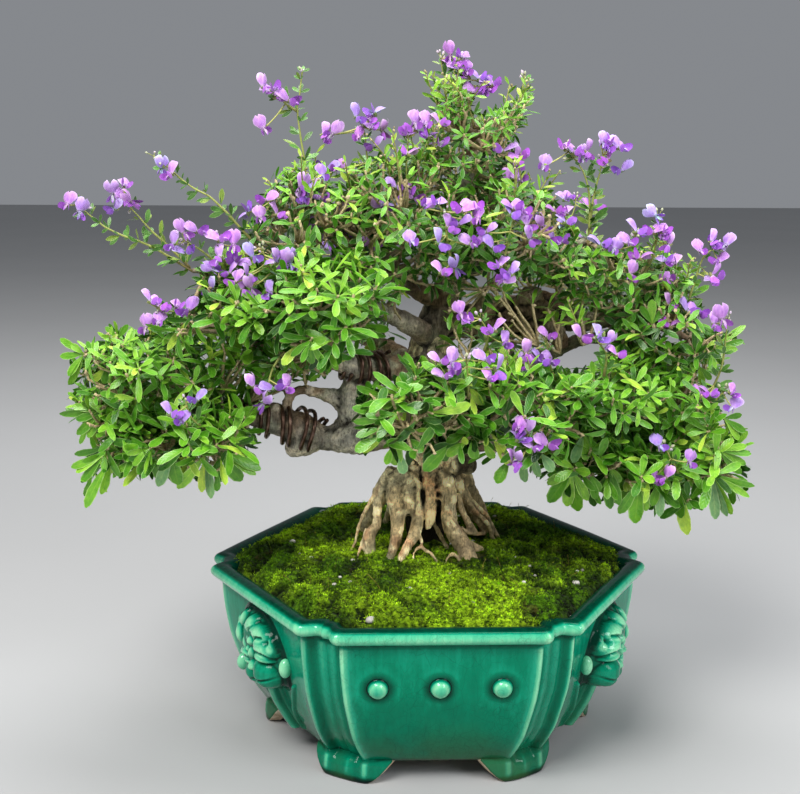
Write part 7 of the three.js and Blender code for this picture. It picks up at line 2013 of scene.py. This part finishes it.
def make_spray(name, stems, blooms, seed):
    rng = np.random.default_rng(seed)
    b = Bag()
    curves = []
    lead = name in ("spray_long_left", "shoot_left_top", "spray_tall_left", "spray_apex", "spray_top_right", "spray_right_tall", "spray_right_tip")
    for s in stems:
        c, _ = catmull(np.asarray(s, float), 8)
        c = resample(c, 2.2)
        w = np.linspace(0, 1, len(c))[:, None]
        c = c + 0.9 * w * np.stack([vnoise(c / 9.0, seed), vnoise(c / 9.0, seed + 1), vnoise(c / 9.0, seed + 2)], 1)
        R = np.linspace(0.85, 0.36, len(c)) * (1 + 0.18 * rng.random(len(c)))
        v, q, t = tube(c, R, 5)
        cc = np.array([0.20, 0.15, 0.06]) + (SHOOT_COL - [0.20, 0.15, 0.06]) * smooth(0, 0.35, np.linspace(0, 1, len(v)))[:, None]
        b.add(v, tri=t, quad=q, mat=1, col=cc, luv=np.zeros((len(v), 2)))
        curves.append(c)
    # leaflets along the shoots, in threes
    B, D, S_, L, W, C = [], [], [], [], [], []
    for c in curves:
        T, N, Bn = frames_along(c)
        k, az0 = 1.0, rng.uniform(0, 6.28)
        step = 2.4 if lead else 1.9
        while k < len(c) - 1:
            i = int(k)
            f = i / len(c)
            size = (11.5 if lead else 10.0) * (1.0 - 0.45 * f) * rng.uniform(0.75, 1.25)
            az0 += math.pi + rng.normal(0, 0.5)
            o = N[i] * math.cos(az0) + Bn[i] * math.sin(az0)
            o = o + np.array([0, 0, 0.15])
            d0 = T[i] * 0.75 + o
            d0 /= np.linalg.norm(d0)
            pet = c[i] + d0 * 1.6
            side = np.cross(d0, T[i])
            side /= max(np.linalg.norm(side), 1e-6)
            for a, ss in ((0.0, 1.0), (0.9, 0.8), (-0.9, 0.8)):
                d = d0 * math.cos(a) + side * math.sin(a)
                B.append(pet)
                D.append(d)
                S_.append(np.cross(d, (EYE - pet) / np.linalg.norm(EYE - pet) * 0.8 + T[i] * 0.5 + rng.normal(0, 0.45, 3)))
                L.append(size * ss)
                W.append(size * ss * rng.uniform(0.28, 0.38))
                C.append(np.array([0.105, 0.265, 0.055]) * rng.uniform(0.65, 1.4) if rng.random() > 0.15 else np.array([0.24, 0.36, 0.06]))
            k += step * rng.uniform(0.8, 1.3)
    B, D, S_, L, W, C = [np.array(x) for x in (B, D, S_, L, W, C)]
    S_ /= np.maximum(np.linalg.norm(S_, axis=1, keepdims=True), 1e-6)
    V, q, luv, cc = leaves(B, D, S_, L, W, rng.uniform(-0.1, 0.5, len(B)), rng.uniform(0, 0.3, len(B)), np.ones(len(B), int), C)
    b.add(V, quad=q, mat=2, col=cc, luv=luv)
    allp = np.vstack(curves)
    more = []
    for p in blooms:
        if rng.random() < 0.55:
            more.append(np.asarray(p, float) + np.array([rng.uniform(4.5, 8.0) * rng.choice([-1, 1]), rng.uniform(-1.5, 3.5), rng.uniform(-5.5, 4.5)]))
    for p in list(blooms) + more:
        p = np.asarray(p, float)
        top = np.vstack([c[int(len(c) * 0.25):] for c in curves])
        q0 = top[np.argmin(np.linalg.norm(top - p, axis=1) + 0.15 * np.maximum(0, top[:, 2] - p[2]))]
        yaw = rng.uniform(-1.5, 1.5) + (0 if rng.random() < 0.6 else math.pi * 0.5)
        face = np.array([math.sin(yaw), -abs(math.cos(yaw)) - 0.05, 0.10 + 0.2 * rng.normal()])
        f = face / np.linalg.norm(face)
        size = rng.uniform(0.82, 1.06)
        base = p - np.array([0, 0, 3.0]) * size
        mid = (q0 + base) / 2 + np.array([0, 0, -0.6])
        v, q, t = tube(resample(catmull(np.array([q0, mid, base - f * 1.6]), 4)[0], 2.6), [0.42] * len(resample(catmull(np.array([q0, mid, base - f * 1.6]), 4)[0], 2.6)), 4)
        b.add(v, tri=t, quad=q, mat=1, col=np.array([0.46, 0.47, 0.14]), luv=np.zeros((len(v), 2)))
        put_flower(b, base, face, rng.normal(0, 0.35), size, rng, rng.uniform(0.75, 1.05))
    # buds at the tips
    for c in curves:
        tip = c[-1]
        for k in range(rng.integers(4, 8)):
            d = (c[-1] - c[-3]) / np.linalg.norm(c[-1] - c[-3]) + rng.normal(0, 0.6, 3)
            d /= np.linalg.norm(d)
            st = c[-1 - int(rng.integers(0, 3))]
            e = st + d * rng.uniform(2.0, 4.5)
            v, q, t = tube(np.array([st, (st + e) / 2, e]), [0.3, 0.25, 0.25], 3)
            b.add(v, tri=t, quad=q, mat=1, col=SHOOT_COL, luv=np.zeros((len(v), 2)))
            pale = np.array([0.62, 0.52, 0.62]) if rng.random() < 0.5 else np.array([0.52, 0.56, 0.34])
            put_bud(b, e, d, rng.uniform(1.8, 3.0), pale)
    ob = b.make(name.replace("spray_", "flowers_"), [PETAL, STEM, LEAF])
    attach(ob, "root")
    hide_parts(name)
    return b.tris()


SPRAY_TRIS = 0
for i, (name, (stems, blooms)) in enumerate(SPRAYS.items()):
    SPRAY_TRIS += make_spray(name, stems, blooms, 300 + i)

tw = twigs.make("twigs", [TWIG])
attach(tw, "root")
print("TRIS pot", POT_TRIS, "moss", MOSS_TRIS, "trunk", T1, "limbs", T2, "leaves", LEAF_TOTAL * 20, "sprays", SPRAY_TRIS, "twigs", twigs.tris(),
      "sum", POT_TRIS + MOSS_TRIS + T1 + T2 + LEAF_TOTAL * 20 + SPRAY_TRIS + twigs.tris())


# ------------------------------------------------------------------ floor, light
def floor_and_light():
    me = bpy.data.meshes.new("floor")
    s = 6.0
    me.from_pydata([(-s, -s, 0), (s, -s, 0), (s, s, 0), (-s, s, 0)], [], [(0, 1, 2, 3)])
    ob = bpy.data.objects.new("floor", me)
    bpy.context.scene.collection.objects.link(ob)
    m = Mat("floor")
    m.set(color=m.ramp(m.noise(3, 2, 0.5), [(0.0, (0.385, 0.388, 0.39)), (1.0, (0.42, 0.422, 0.424))]), rough=0.85, spec=0.15)
    me.materials.append(m.m)
    w = bpy.data.worlds.new("world")
    bpy.context.scene.world = w
    w.use_nodes = True
    bg = w.node_tree.nodes["Background"]
    bg.inputs[0].default_value = (0.66, 0.69, 0.74, 1)
    bg.inputs[1].default_value = 0.36
    bpy.context.scene.view_settings.view_transform = "Standard"

    def area(name, loc, target, size, power, color=(1, 1, 1)):
        from mathutils import Vector
        d = bpy.data.lights.new(name, "AREA")
        d.shape = "RECTANGLE"
        d.size, d.size_y = size
        d.energy = power
        d.color = color
        o = bpy.data.objects.new(name, d)
        bpy.context.scene.collection.objects.link(o)
        o.location = loc
        o.rotation_euler = (Vector(target) - Vector(loc)).to_track_quat("-Z", "Y").to_euler()
        return o

    area("key", (-0.70, -1.05, 1.70), (0, 0, 0.2), (1.0, 0.8), 44, (1.0, 0.985, 0.96))
    area("fill", (1.15, -1.15, 1.15), (0, 0, 0.2), (0.8, 0.9), 19, (0.95, 0.975, 1.0))
    area("top", (0.10, 0.35, 1.65), (0, 0, 0.25), (1.1, 0.9), 20, (1.0, 1.0, 1.0))


floor_and_light()

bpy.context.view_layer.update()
